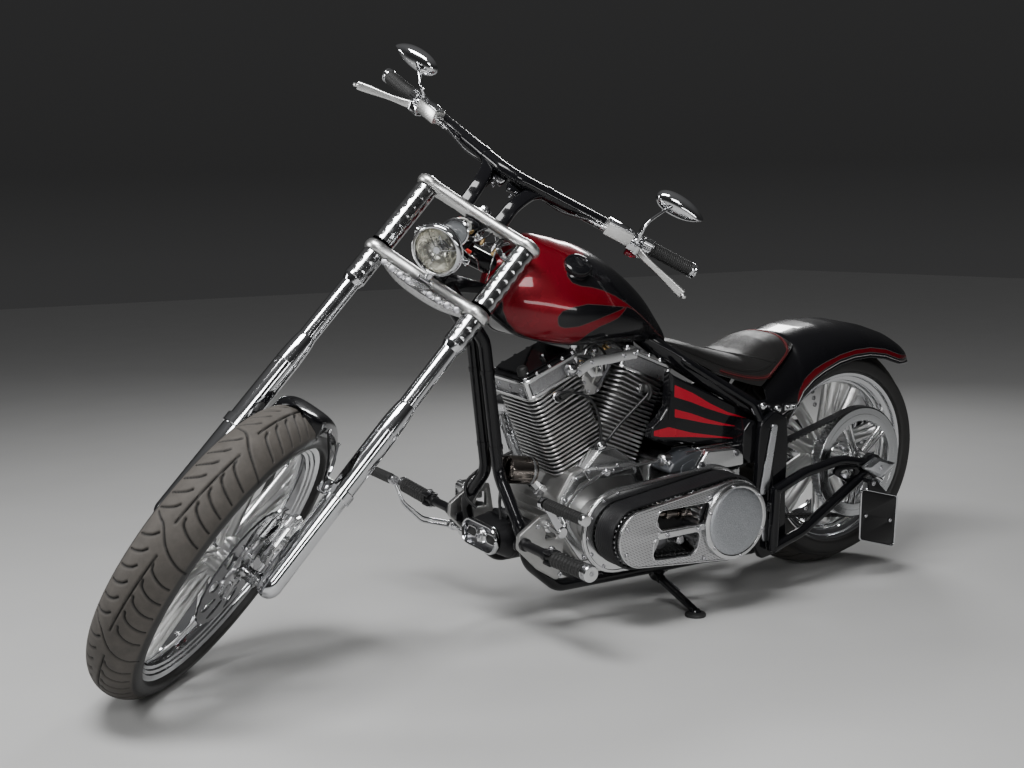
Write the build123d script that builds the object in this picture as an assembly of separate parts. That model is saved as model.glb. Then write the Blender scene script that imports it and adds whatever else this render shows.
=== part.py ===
from build123d import *
import math
import os

os.makedirs("parts", exist_ok=True)

# Long low custom motorcycle with a raked fork, parked on its side stand.
# Upright working frame: x forward from the rear axle, y to the rider's left,
# z up from the ground. Everything is then steered, pitched and leaned.

# ---- driving dimensions, millimetres and degrees ----
WHEELBASE_X = 1870.0        # upright distance between the axles, steering straight
REAR_R, REAR_W, REAR_CROWN, REAR_RIM_R = 332.0, 250.0, 150.0, 245.0
FRONT_R, FRONT_W, FRONT_CROWN, FRONT_RIM_R = 367.0, 128.0, 68.0, 306.0
RAKE, LEG_TILT, AXIS_OFFSET = 41.5, 5.5, 113.0
LEG_HALF = 141.0            # half spacing of the fork legs
LOWER_TREE_S, UPPER_TREE_S = 776.0, 986.0
STEER_REST = 49.5           # the bars rest on the left stop
LEAN = 4.1                  # degrees to the left
SLIDER_R, TUBE_R, COVER_R = 27.5, 21.5, 26.0
FRAME_R = 16.0
SHIFT_X, SHIFT_Y = -910.265, -17.706      # puts the origin under the middle of the box

# ---- placement ----
SIN_R, COS_R = math.sin(math.radians(RAKE)), math.cos(math.radians(RAKE))
U = Vector(-SIN_R, 0, COS_R)                    # steering axis, pointing up
PERP = Vector(COS_R, 0, SIN_R)
REAR_AXLE = Vector(0, 0, REAR_R)
FRONT_AXLE = Vector(WHEELBASE_X, 0, FRONT_R)
S0 = FRONT_AXLE - PERP * AXIS_OFFSET
LEG_A = math.radians(RAKE + LEG_TILT)
LEG_DIR = Vector(-math.sin(LEG_A), 0, math.cos(LEG_A))
LEG_FWD = Vector(math.cos(LEG_A), 0, math.sin(LEG_A))
STEER_AXIS = Axis((S0.X, S0.Y, S0.Z), (U.X, U.Y, U.Z))


def spin(v, a_deg, k):
    a = math.radians(a_deg)
    return v * math.cos(a) + k.cross(v) * math.sin(a) + k * (k.dot(v) * (1 - math.cos(a)))


def steered(v, a_deg=STEER_REST):
    return S0 + spin(v - S0, a_deg, U)


def leaned(v, pitch):
    return spin(spin(v, pitch, Vector(0, 1, 0)), -LEAN, Vector(1, 0, 0))


def lowest(centre, axle_dir, radius, crown, pitch):
    c = leaned(centre, pitch)
    d = leaned(axle_dir, pitch)
    return c.Z - (radius - crown) * math.sqrt(max(0.0, 1 - d.Z ** 2)) - crown


PITCH = 0.0
for _ in range(12):
    zr = lowest(REAR_AXLE, Vector(0, 1, 0), REAR_R, REAR_CROWN, PITCH)
    zf = lowest(steered(FRONT_AXLE), spin(Vector(0, 1, 0), STEER_REST, U), FRONT_R, FRONT_CROWN, PITCH)
    PITCH += math.degrees((zf - zr) / WHEELBASE_X)
Z0 = lowest(REAR_AXLE, Vector(0, 1, 0), REAR_R, REAR_CROWN, PITCH)


def to_row(v, turn=False):
    return leaned(steered(v) if turn else v, PITCH) + Vector(SHIFT_X, SHIFT_Y, -Z0)


def to_row_dir(v, turn=False):
    return leaned(spin(v, STEER_REST, U) if turn else v, PITCH)


def put(shape, name, turn=False):
    if turn:
        shape = shape.rotate(STEER_AXIS, STEER_REST)
    shape = shape.rotate(Axis.Y, PITCH).rotate(Axis.X, -LEAN)
    shape = shape.moved(Location((SHIFT_X, SHIFT_Y, -Z0)))
    shape.label = name
    export_step(shape, "parts/" + name + ".step")


# ---- shape helpers ----
def rod(a, b, r):
    a, b = Vector(*a) if isinstance(a, tuple) else a, Vector(*b) if isinstance(b, tuple) else b
    return Plane(origin=a, z_dir=b - a) * Cylinder(r, (b - a).length, align=(Align.CENTER, Align.CENTER, Align.MIN))


def cone(a, b, ra, rb):
    a, b = Vector(*a) if isinstance(a, tuple) else a, Vector(*b) if isinstance(b, tuple) else b
    return Plane(origin=a, z_dir=b - a) * Cone(ra, rb, (b - a).length, align=(Align.CENTER, Align.CENTER, Align.MIN))


def tube(points, r, bend):
    """Round tube along straight runs joined by arcs; bend is one radius or one for each corner."""
    path = FilletPolyline(*points, radius=bend)
    return sweep(Plane(origin=path @ 0, z_dir=path % 0) * Circle(r), path=path)


def side_plane(y):
    return Plane(origin=(0, y, 0), x_dir=(1, 0, 0), z_dir=(0, -1, 0))


def slab(points, y0, y1, corner=0.0):
    f = Polygon(*points, align=None)
    if corner:
        f = fillet(f.vertices(), corner)
    return extrude(side_plane(y0) * f, amount=y1 - y0, dir=(0, 1, 0))


def disc(x, z, y0, y1, r):
    return extrude(side_plane(y0) * (Pos(x, z) * Circle(r)), amount=y1 - y0, dir=(0, 1, 0))


def stadium(x0, z0, r0, x1, z1, r1, y0, y1):
    """Hull of two circles in side view."""
    d = math.hypot(x1 - x0, z1 - z0)
    b = math.atan2(z1 - z0, x1 - x0)
    g = math.acos((r0 - r1) / d)

    def at(cx, cz, r, ang):
        return (cx + r * math.cos(ang), cz + r * math.sin(ang))

    with BuildSketch() as sk:
        with BuildLine():
            Line(at(x0, z0, r0, b + g), at(x1, z1, r1, b + g))
            ThreePointArc(at(x1, z1, r1, b + g), at(x1, z1, r1, b), at(x1, z1, r1, b - g))
            Line(at(x1, z1, r1, b - g), at(x0, z0, r0, b - g))
            ThreePointArc(at(x0, z0, r0, b - g), at(x0, z0, r0, b + math.pi), at(x0, z0, r0, b + g))
        make_face()
    return extrude(side_plane(y0) * sk.sketch, amount=y1 - y0, dir=(0, 1, 0))


def mirror_y(s):
    return mirror(s, Plane.XZ)


def both(s):
    return Compound(children=[s, mirror_y(s)])


def ring(centre, y0, y1, r_in, r_out):
    a = disc(centre.X, centre.Z, y0, y1, r_out)
    return a - disc(centre.X, centre.Z, y0 - 1, y1 + 1, r_in)


def revolve_at(centre, profile_pts):
    """Profile points (y, r) turned about the y axis through centre."""
    pl = Plane(origin=(centre.X, 0, centre.Z), x_dir=(0, 1, 0), z_dir=(-1, 0, 0))
    f = pl * Polygon(*profile_pts, align=None)
    return revolve(f, axis=Axis((centre.X, 0, centre.Z), (0, 1, 0)), revolution_arc=360)


def tyre(centre, radius, width, crown, bead_r, bead_half):
    h = width / 2
    shoulder = radius - crown + math.sqrt(crown ** 2 - (h - 2) ** 2)
    pl = Plane(origin=(centre.X, 0, centre.Z), x_dir=(0, 1, 0), z_dir=(-1, 0, 0))
    with BuildSketch(pl) as sk:
        with BuildLine():
            ThreePointArc((-(h - 2), shoulder), (0, radius), (h - 2, shoulder))
            ThreePointArc((h - 2, shoulder), (h, shoulder - 22), (bead_half, bead_r))
            Line((bead_half, bead_r), (bead_half - 10, bead_r - 1))
            Line((bead_half - 10, bead_r - 1), (-(bead_half - 10), bead_r - 1))
            Line((-(bead_half - 10), bead_r - 1), (-bead_half, bead_r))
            ThreePointArc((-bead_half, bead_r), (-h, shoulder - 22), (-(h - 2), shoulder))
        make_face()
    return revolve(sk.sketch, axis=Axis((centre.X, 0, centre.Z), (0, 1, 0)), revolution_arc=360)


# ================= wheels =================
AXLE_R, HUB_BORE = 12.0, 12.06
front_tyre = tyre(FRONT_AXLE, FRONT_R, FRONT_W, FRONT_CROWN, FRONT_RIM_R - 6, 46)
put(front_tyre, "front_tyre", True)


def spoked_rim(centre, rim_r, half, hub_r, hub_half, spokes, twist, web_half, bore, lip):
    barrel = revolve_at(centre, [(-half, rim_r - 7.2), (half, rim_r - 7.2), (half, rim_r - lip),
                                 (half - 14, rim_r - lip - 8), (-(half - 14), rim_r - lip - 8), (-half, rim_r - lip)])
    hub = ring(centre, -hub_half, hub_half, bore, hub_r)
    body = barrel + hub
    for i in range(spokes):
        a = i * 2 * math.pi / spokes
        p = []
        for (r, t, w) in ((hub_r - 8, 0.0, 26), (rim_r - lip - 2, twist, 15)):
            c = Vector(centre.X + r * math.cos(a + t), 0, centre.Z + r * math.sin(a + t))
            n = Vector(-math.sin(a + t), 0, math.cos(a + t))
            p.append((c + n * w / 2, c - n * w / 2))
        blade = Polygon((p[0][0].X, p[0][0].Z), (p[1][0].X, p[1][0].Z), (p[1][1].X, p[1][1].Z), (p[0][1].X, p[0][1].Z), align=None)
        body = body + extrude(side_plane(-web_half) * blade, amount=2 * web_half, dir=(0, 1, 0))
    return body


front_rim = spoked_rim(FRONT_AXLE, FRONT_RIM_R, 46, 46, 62, 10, 0.22, 15, HUB_BORE, 24)
put(front_rim, "front_rim", True)
DISC_R, DISC_Y = 146.0, 64.6
front_disc = ring(FRONT_AXLE, DISC_Y - 2.5, DISC_Y + 2.5, 26, DISC_R)
put(front_disc, "front_brake_disc", True)

rear_tyre = tyre(REAR_AXLE, REAR_R, REAR_W, REAR_CROWN, REAR_RIM_R - 6, 112)
put(rear_tyre, "rear_tyre")
REAR_BORE = 15.06
rear_rim = spoked_rim(REAR_AXLE, REAR_RIM_R, 112, 55, 118, 10, 0.2, 60, REAR_BORE, 26)
put(rear_rim, "rear_rim")
PULLEY_Y0, PULLEY_Y1, PULLEY_R = 154.0, 190.0, 152.0
rear_pulley = ring(REAR_AXLE, PULLEY_Y0, PULLEY_Y1, 118, PULLEY_R) + ring(REAR_AXLE, 118.5, PULLEY_Y1, REAR_BORE + 0.5, 44)
for i in range(5):
    a = i * 2 * math.pi / 5 + 0.3
    rear_pulley = rear_pulley + (Pos(0, 0, REAR_R) * Rot(0, math.degrees(-a), 0) * Box(124, 20, 24, align=(Align.MIN, Align.CENTER, Align.CENTER))).moved(Location((0, 172, 0))).cut(disc(0, REAR_R, 100, 250, 36))
put(rear_pulley, "rear_pulley")
RDISC_Y = -160.0
rear_disc = ring(REAR_AXLE, RDISC_Y - 3, RDISC_Y + 3, 60, 142) + ring(REAR_AXLE, RDISC_Y - 3, -118.5, REAR_BORE + 0.5, 62)
put(rear_disc, "rear_brake_disc")

# ================= fork and steering =================
def leg(s, side=0.0, fwd=0.0):
    return FRONT_AXLE + LEG_DIR * s + LEG_FWD * fwd + Vector(0, side, 0)


AXLE_END = LEG_HALF + 12     # the axle ends inside the legs
sliders = []
tubes = []
for sy in (1, -1):
    y = sy * LEG_HALF
    s1 = rod(leg(4, y), leg(428, y), SLIDER_R) + Pos(*leg(4, y)) * Sphere(SLIDER_R)
    for (sa, sb, ra, rb) in ((428, 462, SLIDER_R, 26.4), (462, 490, 26.4, 24.2), (490, 506, 24.2, 22.2)):
        s1 = s1 + cone(leg(sa, y), leg(sb, y), ra, rb)
    sliders.append(s1 - rod(FRONT_AXLE + Vector(0, -AXLE_END, 0), FRONT_AXLE + Vector(0, AXLE_END, 0), AXLE_R))
    tubes.append(rod(leg(506, y), leg(UPPER_TREE_S - 14, y), TUBE_R) + rod(leg(640, y), leg(UPPER_TREE_S - 14, y), COVER_R))
put(Compound(children=sliders), "fork_sliders", True)

t_low = (leg(LOWER_TREE_S) - S0).dot(U)
t_up = (leg(UPPER_TREE_S) - S0).dot(U)
STEM_LOW, STEM_UP = S0 + U * t_low, S0 + U * t_up
TREE_T = 26.0


def tree(s, t_mid, thick, name):
    pl = Plane(origin=S0 + U * (t_mid - thick / 2), x_dir=(0, 1, 0), z_dir=U)
    # local x is +y, local y = U cross y, which points backwards
    off = -((leg(s) - S0).dot(PERP))
    f = (Pos(0, off) * Rectangle(2 * LEG_HALF, 44)) + Pos(LEG_HALF, off) * Circle(36) + Pos(-LEG_HALF, off) * Circle(36) + Circle(36) + Pos(0, off / 2) * Rectangle(72, abs(off) + 30)
    b = extrude(pl * f, amount=thick)
    for y in (LEG_HALF, -LEG_HALF):
        b = b - rod(leg(s - 90, y), leg(s + (90 if name == "lower_fork_tree" else 13.5), y), COVER_R)
    return b


lower = tree(LOWER_TREE_S, t_low, 30, "lower_fork_tree")
STEM_R = 14.0
lower = lower + rod(S0 + U * (t_low - 10), S0 + U * (t_up - TREE_T / 2), STEM_R)
upper = tree(UPPER_TREE_S, t_up, TREE_T, "upper_fork_tree")
put(lower, "lower_fork_tree", True)
put(upper, "upper_fork_tree", True)
put(Compound(children=tubes), "fork_tubes", True)

axle_front = rod(FRONT_AXLE + Vector(0, -AXLE_END, 0), FRONT_AXLE + Vector(0, AXLE_END, 0), AXLE_R)
for sy in (1, -1):
    a = FRONT_AXLE + Vector(0, sy * (72.5 if sy > 0 else 67.5), 0)
    axle_front = axle_front + rod(a, FRONT_AXLE + Vector(0, sy * (LEG_HALF - SLIDER_R), 0), 19)
put(axle_front, "front_axle", True)

# headlight between the trees
LAMP = Vector(1345, 0, 1007)
LAMP_DIR = Vector(1, 0, -0.06).normalized()
lamp = rod(LAMP - LAMP_DIR * 52, LAMP, 57) + cone(LAMP - LAMP_DIR * 92, LAMP - LAMP_DIR * 52, 26, 57)
lamp = lamp + rod((1296, 0, 960), (1306, 0, 904), 11) - lower
put(lamp, "headlight", True)

# handlebar: pulled back drag bar on two risers
BAR_MID = Vector(1054, 0, 1133)
BAR_R = 17.0
GRIP_END = Vector(817, 464, 1085)
bar_dir = (GRIP_END - BAR_MID).normalized()
bar_parts = []
half = rod(BAR_MID, BAR_MID + bar_dir * 372, BAR_R) + rod(BAR_MID + bar_dir * 372, BAR_MID + bar_dir * 528, 11)
bar = half + mirror_y(half) + Pos(*BAR_MID) * Sphere(BAR_R)
top_face = S0 + U * (t_up + TREE_T / 2)
for sy in (1, -1):
    base = top_face + Vector(0, sy * 48, 0) + PERP * 0
    bar = bar + tube([tuple(base), tuple(base + U * 55), tuple(BAR_MID + Vector(0, 0, 0) + Vector(bar_dir.X, sy * bar_dir.Y, bar_dir.Z) * 70)], 15.5, 40)
put(bar, "handlebar", True)


def on_bar(d, sy):
    return BAR_MID + Vector(bar_dir.X, sy * bar_dir.Y, bar_dir.Z) * d


MIRROR_FACE = {1: Vector(836, 372, 1215), -1: Vector(876, -402, 1192)}
grips = []
controls = []
mirrors = []
for sy in (1, -1):
    grips.append(rod(on_bar(404, sy), on_bar(530, sy), 17.5) + rod(on_bar(530, sy), on_bar(540, sy), 16) - rod(on_bar(390, sy), on_bar(528, sy), 11.02))
    fwd = Vector(bar_dir.Y, -sy * bar_dir.X, 0).normalized()
    fwd = fwd if fwd.X > 0 else fwd * -1
    perch = rod(on_bar(374, sy), on_bar(402, sy), 17) - rod(on_bar(360, sy), on_bar(410, sy), 11.02)
    cyl = rod(on_bar(330, sy) + fwd * 38, on_bar(402, sy) + fwd * 38, 15)
    arm = rod(on_bar(388, sy) + fwd * 14, on_bar(388, sy) + fwd * 30, 11)
    lever = tube([tuple(on_bar(396, sy) + fwd * 44), tuple(on_bar(440, sy) + fwd * 62 + Vector(0, 0, -4)), tuple(Vector(934, sy * 491, 1065))], 6.5, 25)
    tank_box = Plane(origin=on_bar(352, sy) + fwd * 44 + Vector(0, 0, 22), x_dir=Vector(bar_dir.X, sy * bar_dir.Y, 0).normalized(), z_dir=(0, 0, 1)) * Box(66, 34, 26)
    controls.append(perch + arm + cyl + lever + tank_box)
    root_pt = on_bar(388, sy) + fwd * 34 + Vector(0, 0, 8)
    face = MIRROR_FACE[sy]
    stem_end = face + Vector(8, -sy * 12, -16)
    m = tube([tuple(root_pt + Vector(0, 0, 6)), tuple(root_pt * 0.5 + stem_end * 0.5 + Vector(26, -sy * 10, 4)), tuple(stem_end)], 6, 30)
    head = Plane(origin=face, x_dir=(0, 1, 0), z_dir=(-1, -sy * 0.12, 0.1))
    oval = extrude(head * Ellipse(56, 32), amount=12) + extrude(head * Ellipse(42, 22), amount=-14)
    mirrors.append(m + oval - (cyl + arm + tank_box))
put(Compound(children=grips), "grips", True)
put(Compound(children=controls), "hand_controls", True)
put(Compound(children=mirrors), "mirrors", True)

# front fender: hugs the rear quarter of the tyre
FEND_R0, FEND_R1, FEND_HALF = FRONT_R + 9, FRONT_R + 12.5, 61.0


def arc_shell(centre, r0, r1, half, a0, a1, side_r):
    """Rounded channel turned about the y axis from angle a0 to a1 (0 = forward, 90 = up)."""
    out = revolve_at(centre, [(-half, side_r), (-half, r1 - 26), (-half + 22, r1), (half - 22, r1), (half, r1 - 26), (half, side_r)])
    inn = revolve_at(centre, [(-half + 4, side_r - 5), (-half + 4, r0 - 26), (-half + 25, r0), (half - 25, r0), (half - 4, r0 - 26), (half - 4, side_r - 5)])
    s = out - inn
    big = 900
    am = math.radians((a0 + a1) / 2)
    pts = [(centre.X, centre.Z)] + [(centre.X + big * math.cos(math.radians(a0 + (a1 - a0) * k / 6)), centre.Z + big * math.sin(math.radians(a0 + (a1 - a0) * k / 6))) for k in range(7)]
    return s & slab(pts, -half - 20, half + 20)


ff = arc_shell(FRONT_AXLE, FEND_R0, FEND_R1, FEND_HALF, 104, 158, FRONT_R - 20)
for sy in (1, -1):
    clamp = leg(252, sy * (LEG_HALF - SLIDER_R - 9), -4)
    lug = Plane(origin=clamp, x_dir=LEG_DIR, z_dir=(0, 1, 0)) * Box(34, 24, 22)
    a = math.radians(146)
    tip = FRONT_AXLE + Vector(math.cos(a), 0, math.sin(a)) * (FRONT_R - 4) + Vector(0, sy * (FEND_HALF - 1), 0)
    ff = ff + (lug + rod(clamp, tip, 6.5) - rod(leg(0, sy * LEG_HALF), leg(420, sy * LEG_HALF), SLIDER_R + 0.05))
put(ff, "front_fender", True)

# front caliper on the left leg, behind the slider
CAL_S, CAL_F = 108.0, -64.0
cal_c = leg(CAL_S, DISC_Y + 9, CAL_F)
cal = Plane(origin=cal_c, x_dir=LEG_DIR, z_dir=(0, 1, 0)) * Box(132, 62, 58)
cal = cal - ring(FRONT_AXLE, DISC_Y - 8, DISC_Y + 8, 5, DISC_R + 8)
cal_mount = rod(leg(CAL_S, LEG_HALF - 12, -8), leg(CAL_S, DISC_Y + 30, CAL_F + 18), 15)
cal = cal + (cal_mount - ring(FRONT_AXLE, DISC_Y - 8, DISC_Y + 8, 5, DISC_R + 8) - rod(leg(0, LEG_HALF), leg(400, LEG_HALF), SLIDER_R))
put(cal, "front_brake_caliper", True)

# ================= frame =================
HEAD_LOW, HEAD_UP = S0 + U * (t_low + 18), S0 + U * (t_up - TREE_T / 2 - 3)
head_tube = rod(HEAD_LOW, HEAD_UP, 29) - rod(S0 + U * (t_low - 30), S0 + U * (t_up + 30), STEM_R + 0.06)
BACK_A = S0 + U * (t_low + 0.6 * (t_up - t_low)) - PERP * 20
BACK_B = Vector(700, 0, 722)
backbone = rod(BACK_A, BACK_B, 24)
backbone = backbone - rod(S0 + U * (t_low - 30), S0 + U * (t_up + 30), 28.5)
put(head_tube + backbone, "frame_backbone")

down = []
for sy in (1, -1):
    down.append(tube([(1232, sy * 27, 874), (1133, sy * 28, 735), (1088, sy * 30, 400), (1090, sy * 126, 296), (1070, sy * 140, 200), (985, sy * 140, 128), (352, sy * 150, 128)], FRAME_R, [60, 75, 55, 60, 55]) - rod(S0 + U * (t_low - 30), S0 + U * (t_up + 30), 29.5) - rod(S0 + U * (t_low - 60), S0 + U * (t_low + 18), 42))
ST_PIN = Vector(657, 122, 96)
ST_PIN_DIR = Vector(-0.1805, 0.5222, 0.8336).normalized()
down[0] = down[0] + rod(ST_PIN + ST_PIN_DIR * 18.2, ST_PIN + ST_PIN_DIR * 37, 16)
put(Compound(children=down), "frame_cradle")

PIVOT = Vector(352, 0, 262)
UPRIGHT_R = 13.0
rear_frame = []
for sy in (1, -1):
    up = tube([(656, sy * 30, 724), (575, sy * 118, 650), (400, sy * 180, 536), (356, sy * 204, 440), (352, sy * 204, 150)], UPRIGHT_R, 36)
    foot = rod((352, sy * 166.5, 128), (352, sy * 204, 150), UPRIGHT_R - 0.5)
    rear_frame.append(up + foot + Pos(352, sy * 204, 150) * Sphere(UPRIGHT_R) - down[0 if sy > 0 else 1])
put(Compound(children=rear_frame), "frame_rear_uprights")

# swingarm: two triangulated arms
ARM_Y = 232.0
for nm, sy in (("swingarm_left", 1), ("swingarm_right", -1)):
    y = sy * ARM_Y
    arm_s = tube([(352, y, 306), (250, y, 344), (120, y, 362), (0, y, 336)], 14.6, 120) + tube([(352, y, 150), (250, y, 180), (0, y, 328)], 14.6, 120)
    arm_s = arm_s + rod((352, y, 141), (352, y, 315), 14.4) + rod((352, sy * 217.3, PIVOT.Z), (352, y, PIVOT.Z), 11)
    eye = slab([(-50, 332), (-4, 366), (44, 332), (-4, 298)], min(y - 18, y + 18), max(y - 18, y + 18), 8)
    arm_s = arm_s + eye - disc(0, REAR_R, min(y - 40, y + 40), max(y - 40, y + 40), 15.0)
    put(arm_s, nm)
rear_axle = rod((0, -262, REAR_R), (0, 262, REAR_R), 15) + rod((0, 197.5, REAR_R), (0, ARM_Y - 18, REAR_R), 24) + rod((0, -(ARM_Y - 18), REAR_R), (0, -165, REAR_R), 24)
for sy in (1, -1):
    rear_axle = rear_axle + slab([(-34, 332), (-4, 358), (28, 332), (-4, 306)], min(sy * 250.5, sy * 268), max(sy * 250.5, sy * 268), 5)
put(rear_axle, "rear_axle")

# ================= tank, seat, fender, oil tank =================
tank_rows = [  # x, z_low, z_wide, z_top, half_width, half_bottom
    (1114, 800, 832, 905, 36, 16),
    (1062, 752, 818, 962, 84, 46),
    (1010, 735, 808, 989, 112, 68),
    (960, 726, 802, 983, 134, 84),
    (870, 722, 796, 960, 148, 96),
    (750, 718, 774, 896, 126, 78),
    (660, 704, 742, 822, 80, 50),
    (592, 684, 700, 738, 44, 30),
]


def tank_section(x, z_low, z_wide, z_top, w, wb):
    up, dn = z_top - z_wide, z_wide - z_low
    with BuildSketch(Plane(origin=(x, 0, 0), x_dir=(0, 1, 0), z_dir=(1, 0, 0))) as sk:
        with BuildLine():
            ThreePointArc((-w, z_wide), (-0.74 * w, z_wide + 0.58 * up), (0, z_top))
            ThreePointArc((0, z_top), (0.74 * w, z_wide + 0.58 * up), (w, z_wide))
            ThreePointArc((w, z_wide), (0.5 * (w + wb) + 0.1 * w, z_wide - 0.55 * dn), (wb, z_low))
            Line((wb, z_low), (-wb, z_low))
            ThreePointArc((-wb, z_low), (-0.5 * (w + wb) - 0.1 * w, z_wide - 0.55 * dn), (-w, z_wide))
        make_face()
    return sk.sketch


secs = [tank_section(*r) for r in tank_rows]
tank = loft(Sketch() + secs)
tank = tank - rod(BACK_A, BACK_B - (BACK_A - BACK_B).normalized() * 60, 24)
for s in rear_frame:
    tank = tank - s
tank = max(tank.solids(), key=lambda v: v.volume)
put(tank, "fuel_tank")
CAP = Vector(915, 96, 908)
CAP_N = Vector(0.12, 0.66, 0.74).normalized()
cap = rod(CAP - CAP_N * 10, CAP + CAP_N * 22, 34) - tank
put(cap, "fuel_cap")

seat_rows = [(586, 686, 701, 50, 5), (500, 634, 684, 88, 20), (400, 588, 658, 118, 30), (300, 566, 676, 134, 50), (190, 600, 690, 116, 40)]
secs = [Plane(origin=(x, 0, (zl + zt) / 2), x_dir=(0, 1, 0), z_dir=(-1, 0, 0)) * RectangleRounded(2 * w, zt - zl, c) for x, zl, zt, w, c in seat_rows]
seat = loft(Sketch() + secs)

RF_C = Vector(0, 0, 270)
RF_R = 441.0
rf = arc_shell(RF_C, RF_R - 4, RF_R, 148, 38, 141, 300)
under = slab([(330, 400), (330, 455), (198, 504), (182, 545), (110, 589), (-3, 619), (-123, 612), (-207, 592), (-349, 548), (-600, 500), (-600, 0), (330, 0)], -200, 200)
rf = rf - under
tail = [(420, 150), (-180, 150), (-220, 136), (-260, 110), (-300, 77), (-335, 38), (-352, 10)]
plan = make_face(Polyline(*[(x, w) for x, w in tail], *[(x, -w) for x, w in reversed(tail)], close=True).edges())
rf = rf & extrude(plan, amount=900)
seat = seat - disc(RF_C.X, RF_C.Z, -200, 200, RF_R + 2)
put(seat, "seat")
put(rf, "rear_fender")

ot = slab([(576, 606), (520, 560), (405, 505), (392, 440), (640, 440), (650, 452)], -128, 128, 8)
for sy in (1, -1):
    y0, y1 = sorted((sy * 128, sy * 152))
    ot = ot + slab([(664, 632), (520, 566), (410, 512), (330, 470), (330, 440), (640, 436), (668, 462)], y0, y1, 8)
ot = ot - disc(0, REAR_R, -200, 200, REAR_R + 14)
for s in rear_frame:
    ot = ot - s
put(ot, "oil_tank")

# ================= engine =================
CRANK = Vector(822, 0, 300)
CYL_A = 22.5
case = slab([(960, 250), (968, 340), (930, 400), (856, 420), (790, 420), (716, 400), (690, 340), (690, 190), (740, 165), (900, 165)], -112, 112, 22)
put(case, "crankcase")
cyl_tab = [("front_cylinder", 1), ("rear_cylinder", -1)]
heads = []
cylinders = []
for nm, sg in cyl_tab:
    a = math.radians(CYL_A * sg)
    ax = Vector(math.sin(a), 0, math.cos(a))
    sd = Vector(math.cos(a), 0, -math.sin(a))
    base = CRANK + ax * 124
    pl = Plane(origin=base, x_dir=sd, z_dir=ax)
    body = None
    blk = extrude(pl * RectangleRounded(166, 166, 26), amount=222)
    keep = slab([(CRANK.X + sg * 1.0, 0), (CRANK.X + sg * 900, 0), (CRANK.X + sg * 900, 1200), (CRANK.X + sg * 1.0, 1200)], -200, 200)
    blk = (blk & keep) - case
    put(blk, nm)
    cylinders.append(blk)
    rb = extrude(Plane(origin=base + ax * 222.5, x_dir=sd, z_dir=ax) * RectangleRounded(176, 172, 20), amount=52)
    rb = rb + extrude(Plane(origin=base + ax * 274, x_dir=sd, z_dir=ax) * RectangleRounded(140, 140, 16), amount=12)
    heads.append((rb & keep) - tank)
put(Compound(children=heads), "rocker_boxes")

intake = rod((822, 0, 560), (822, -142, 560), 30) + rod((822, -142, 560), (822, -192, 560), 88)
intake = intake - (extrude(Plane(origin=CRANK, x_dir=Vector(math.cos(math.radians(22.5)), 0, -math.sin(math.radians(22.5))), z_dir=Vector(math.sin(math.radians(22.5)), 0, math.cos(math.radians(22.5)))) * RectangleRounded(167, 167, 26), amount=363))
intake = intake - (extrude(Plane(origin=CRANK, x_dir=Vector(math.cos(math.radians(-22.5)), 0, -math.sin(math.radians(-22.5))), z_dir=Vector(math.sin(math.radians(-22.5)), 0, math.cos(math.radians(-22.5)))) * RectangleRounded(167, 167, 26), amount=363))
intake = max(intake.solids(), key=lambda s: s.volume)
put(intake, "air_cleaner")

cam = slab([(930, 250), (940, 360), (880, 398), (770, 398), (720, 340), (730, 230), (800, 190), (880, 190)], -150, -112.2, 24)
for (x0, x1) in ((868, 940), (844, 902), (800, 742), (776, 704)):
    cam = cam + rod((x0, -128, 390), (x1, -122, 590), 8.5)
put(cam, "cam_cover")

pipes = []
pipes.append(tube([(966, -60, 545), (968, -172, 535), (910, -208, 430), (830, -250, 275), (640, -288, 205), (60, -288, 205)], 24, [40, 50, 60, 120]) - cylinders[0])
pipes.append(tube([(698, -60, 505), (698, -200, 500), (662, -236, 400), (540, -288, 275), (130, -288, 275)], 24, [40, 50, 60]) - cylinders[1])
put(Compound(children=pipes), "exhaust_pipes")

oil_filter = rod((992, 30, 398), (1072, 30, 412), 36) + rod((1005, 30, 384), (950, 30, 326), 14)
oil_filter = oil_filter - case - cylinders[0]
put(oil_filter, "oil_filter")
can_pl = Plane(origin=(1112, 0, 240), x_dir=(0, 1, 0), z_dir=(1, 0, 0.1))
canister = extrude(can_pl * SlotOverall(158, 64), amount=-20)
canister = canister + loft(Sketch() + [can_pl.offset(-19.5) * SlotOverall(158, 64), can_pl.offset(-50) * SlotOverall(176, 96), can_pl.offset(-112) * SlotOverall(160, 88)])
put(canister, "front_canister")

trans = slab([(689, 190), (689, 400), (600, 428), (420, 428), (376, 380), (376, 230), (420, 182)], -118, 118, 14)
trans = trans - disc(0, REAR_R, -200, 200, REAR_R + 14)
TR_P = Vector(492, 0, 300)
trans = trans + disc(TR_P.X, TR_P.Z, 117, 190, 55.5)
put(trans, "transmission")
starter = slab([(652, 396), (630, 434), (440, 434), (436, 396)], 118.2, 200, 10)
put(starter, "starter_cover")

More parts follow.
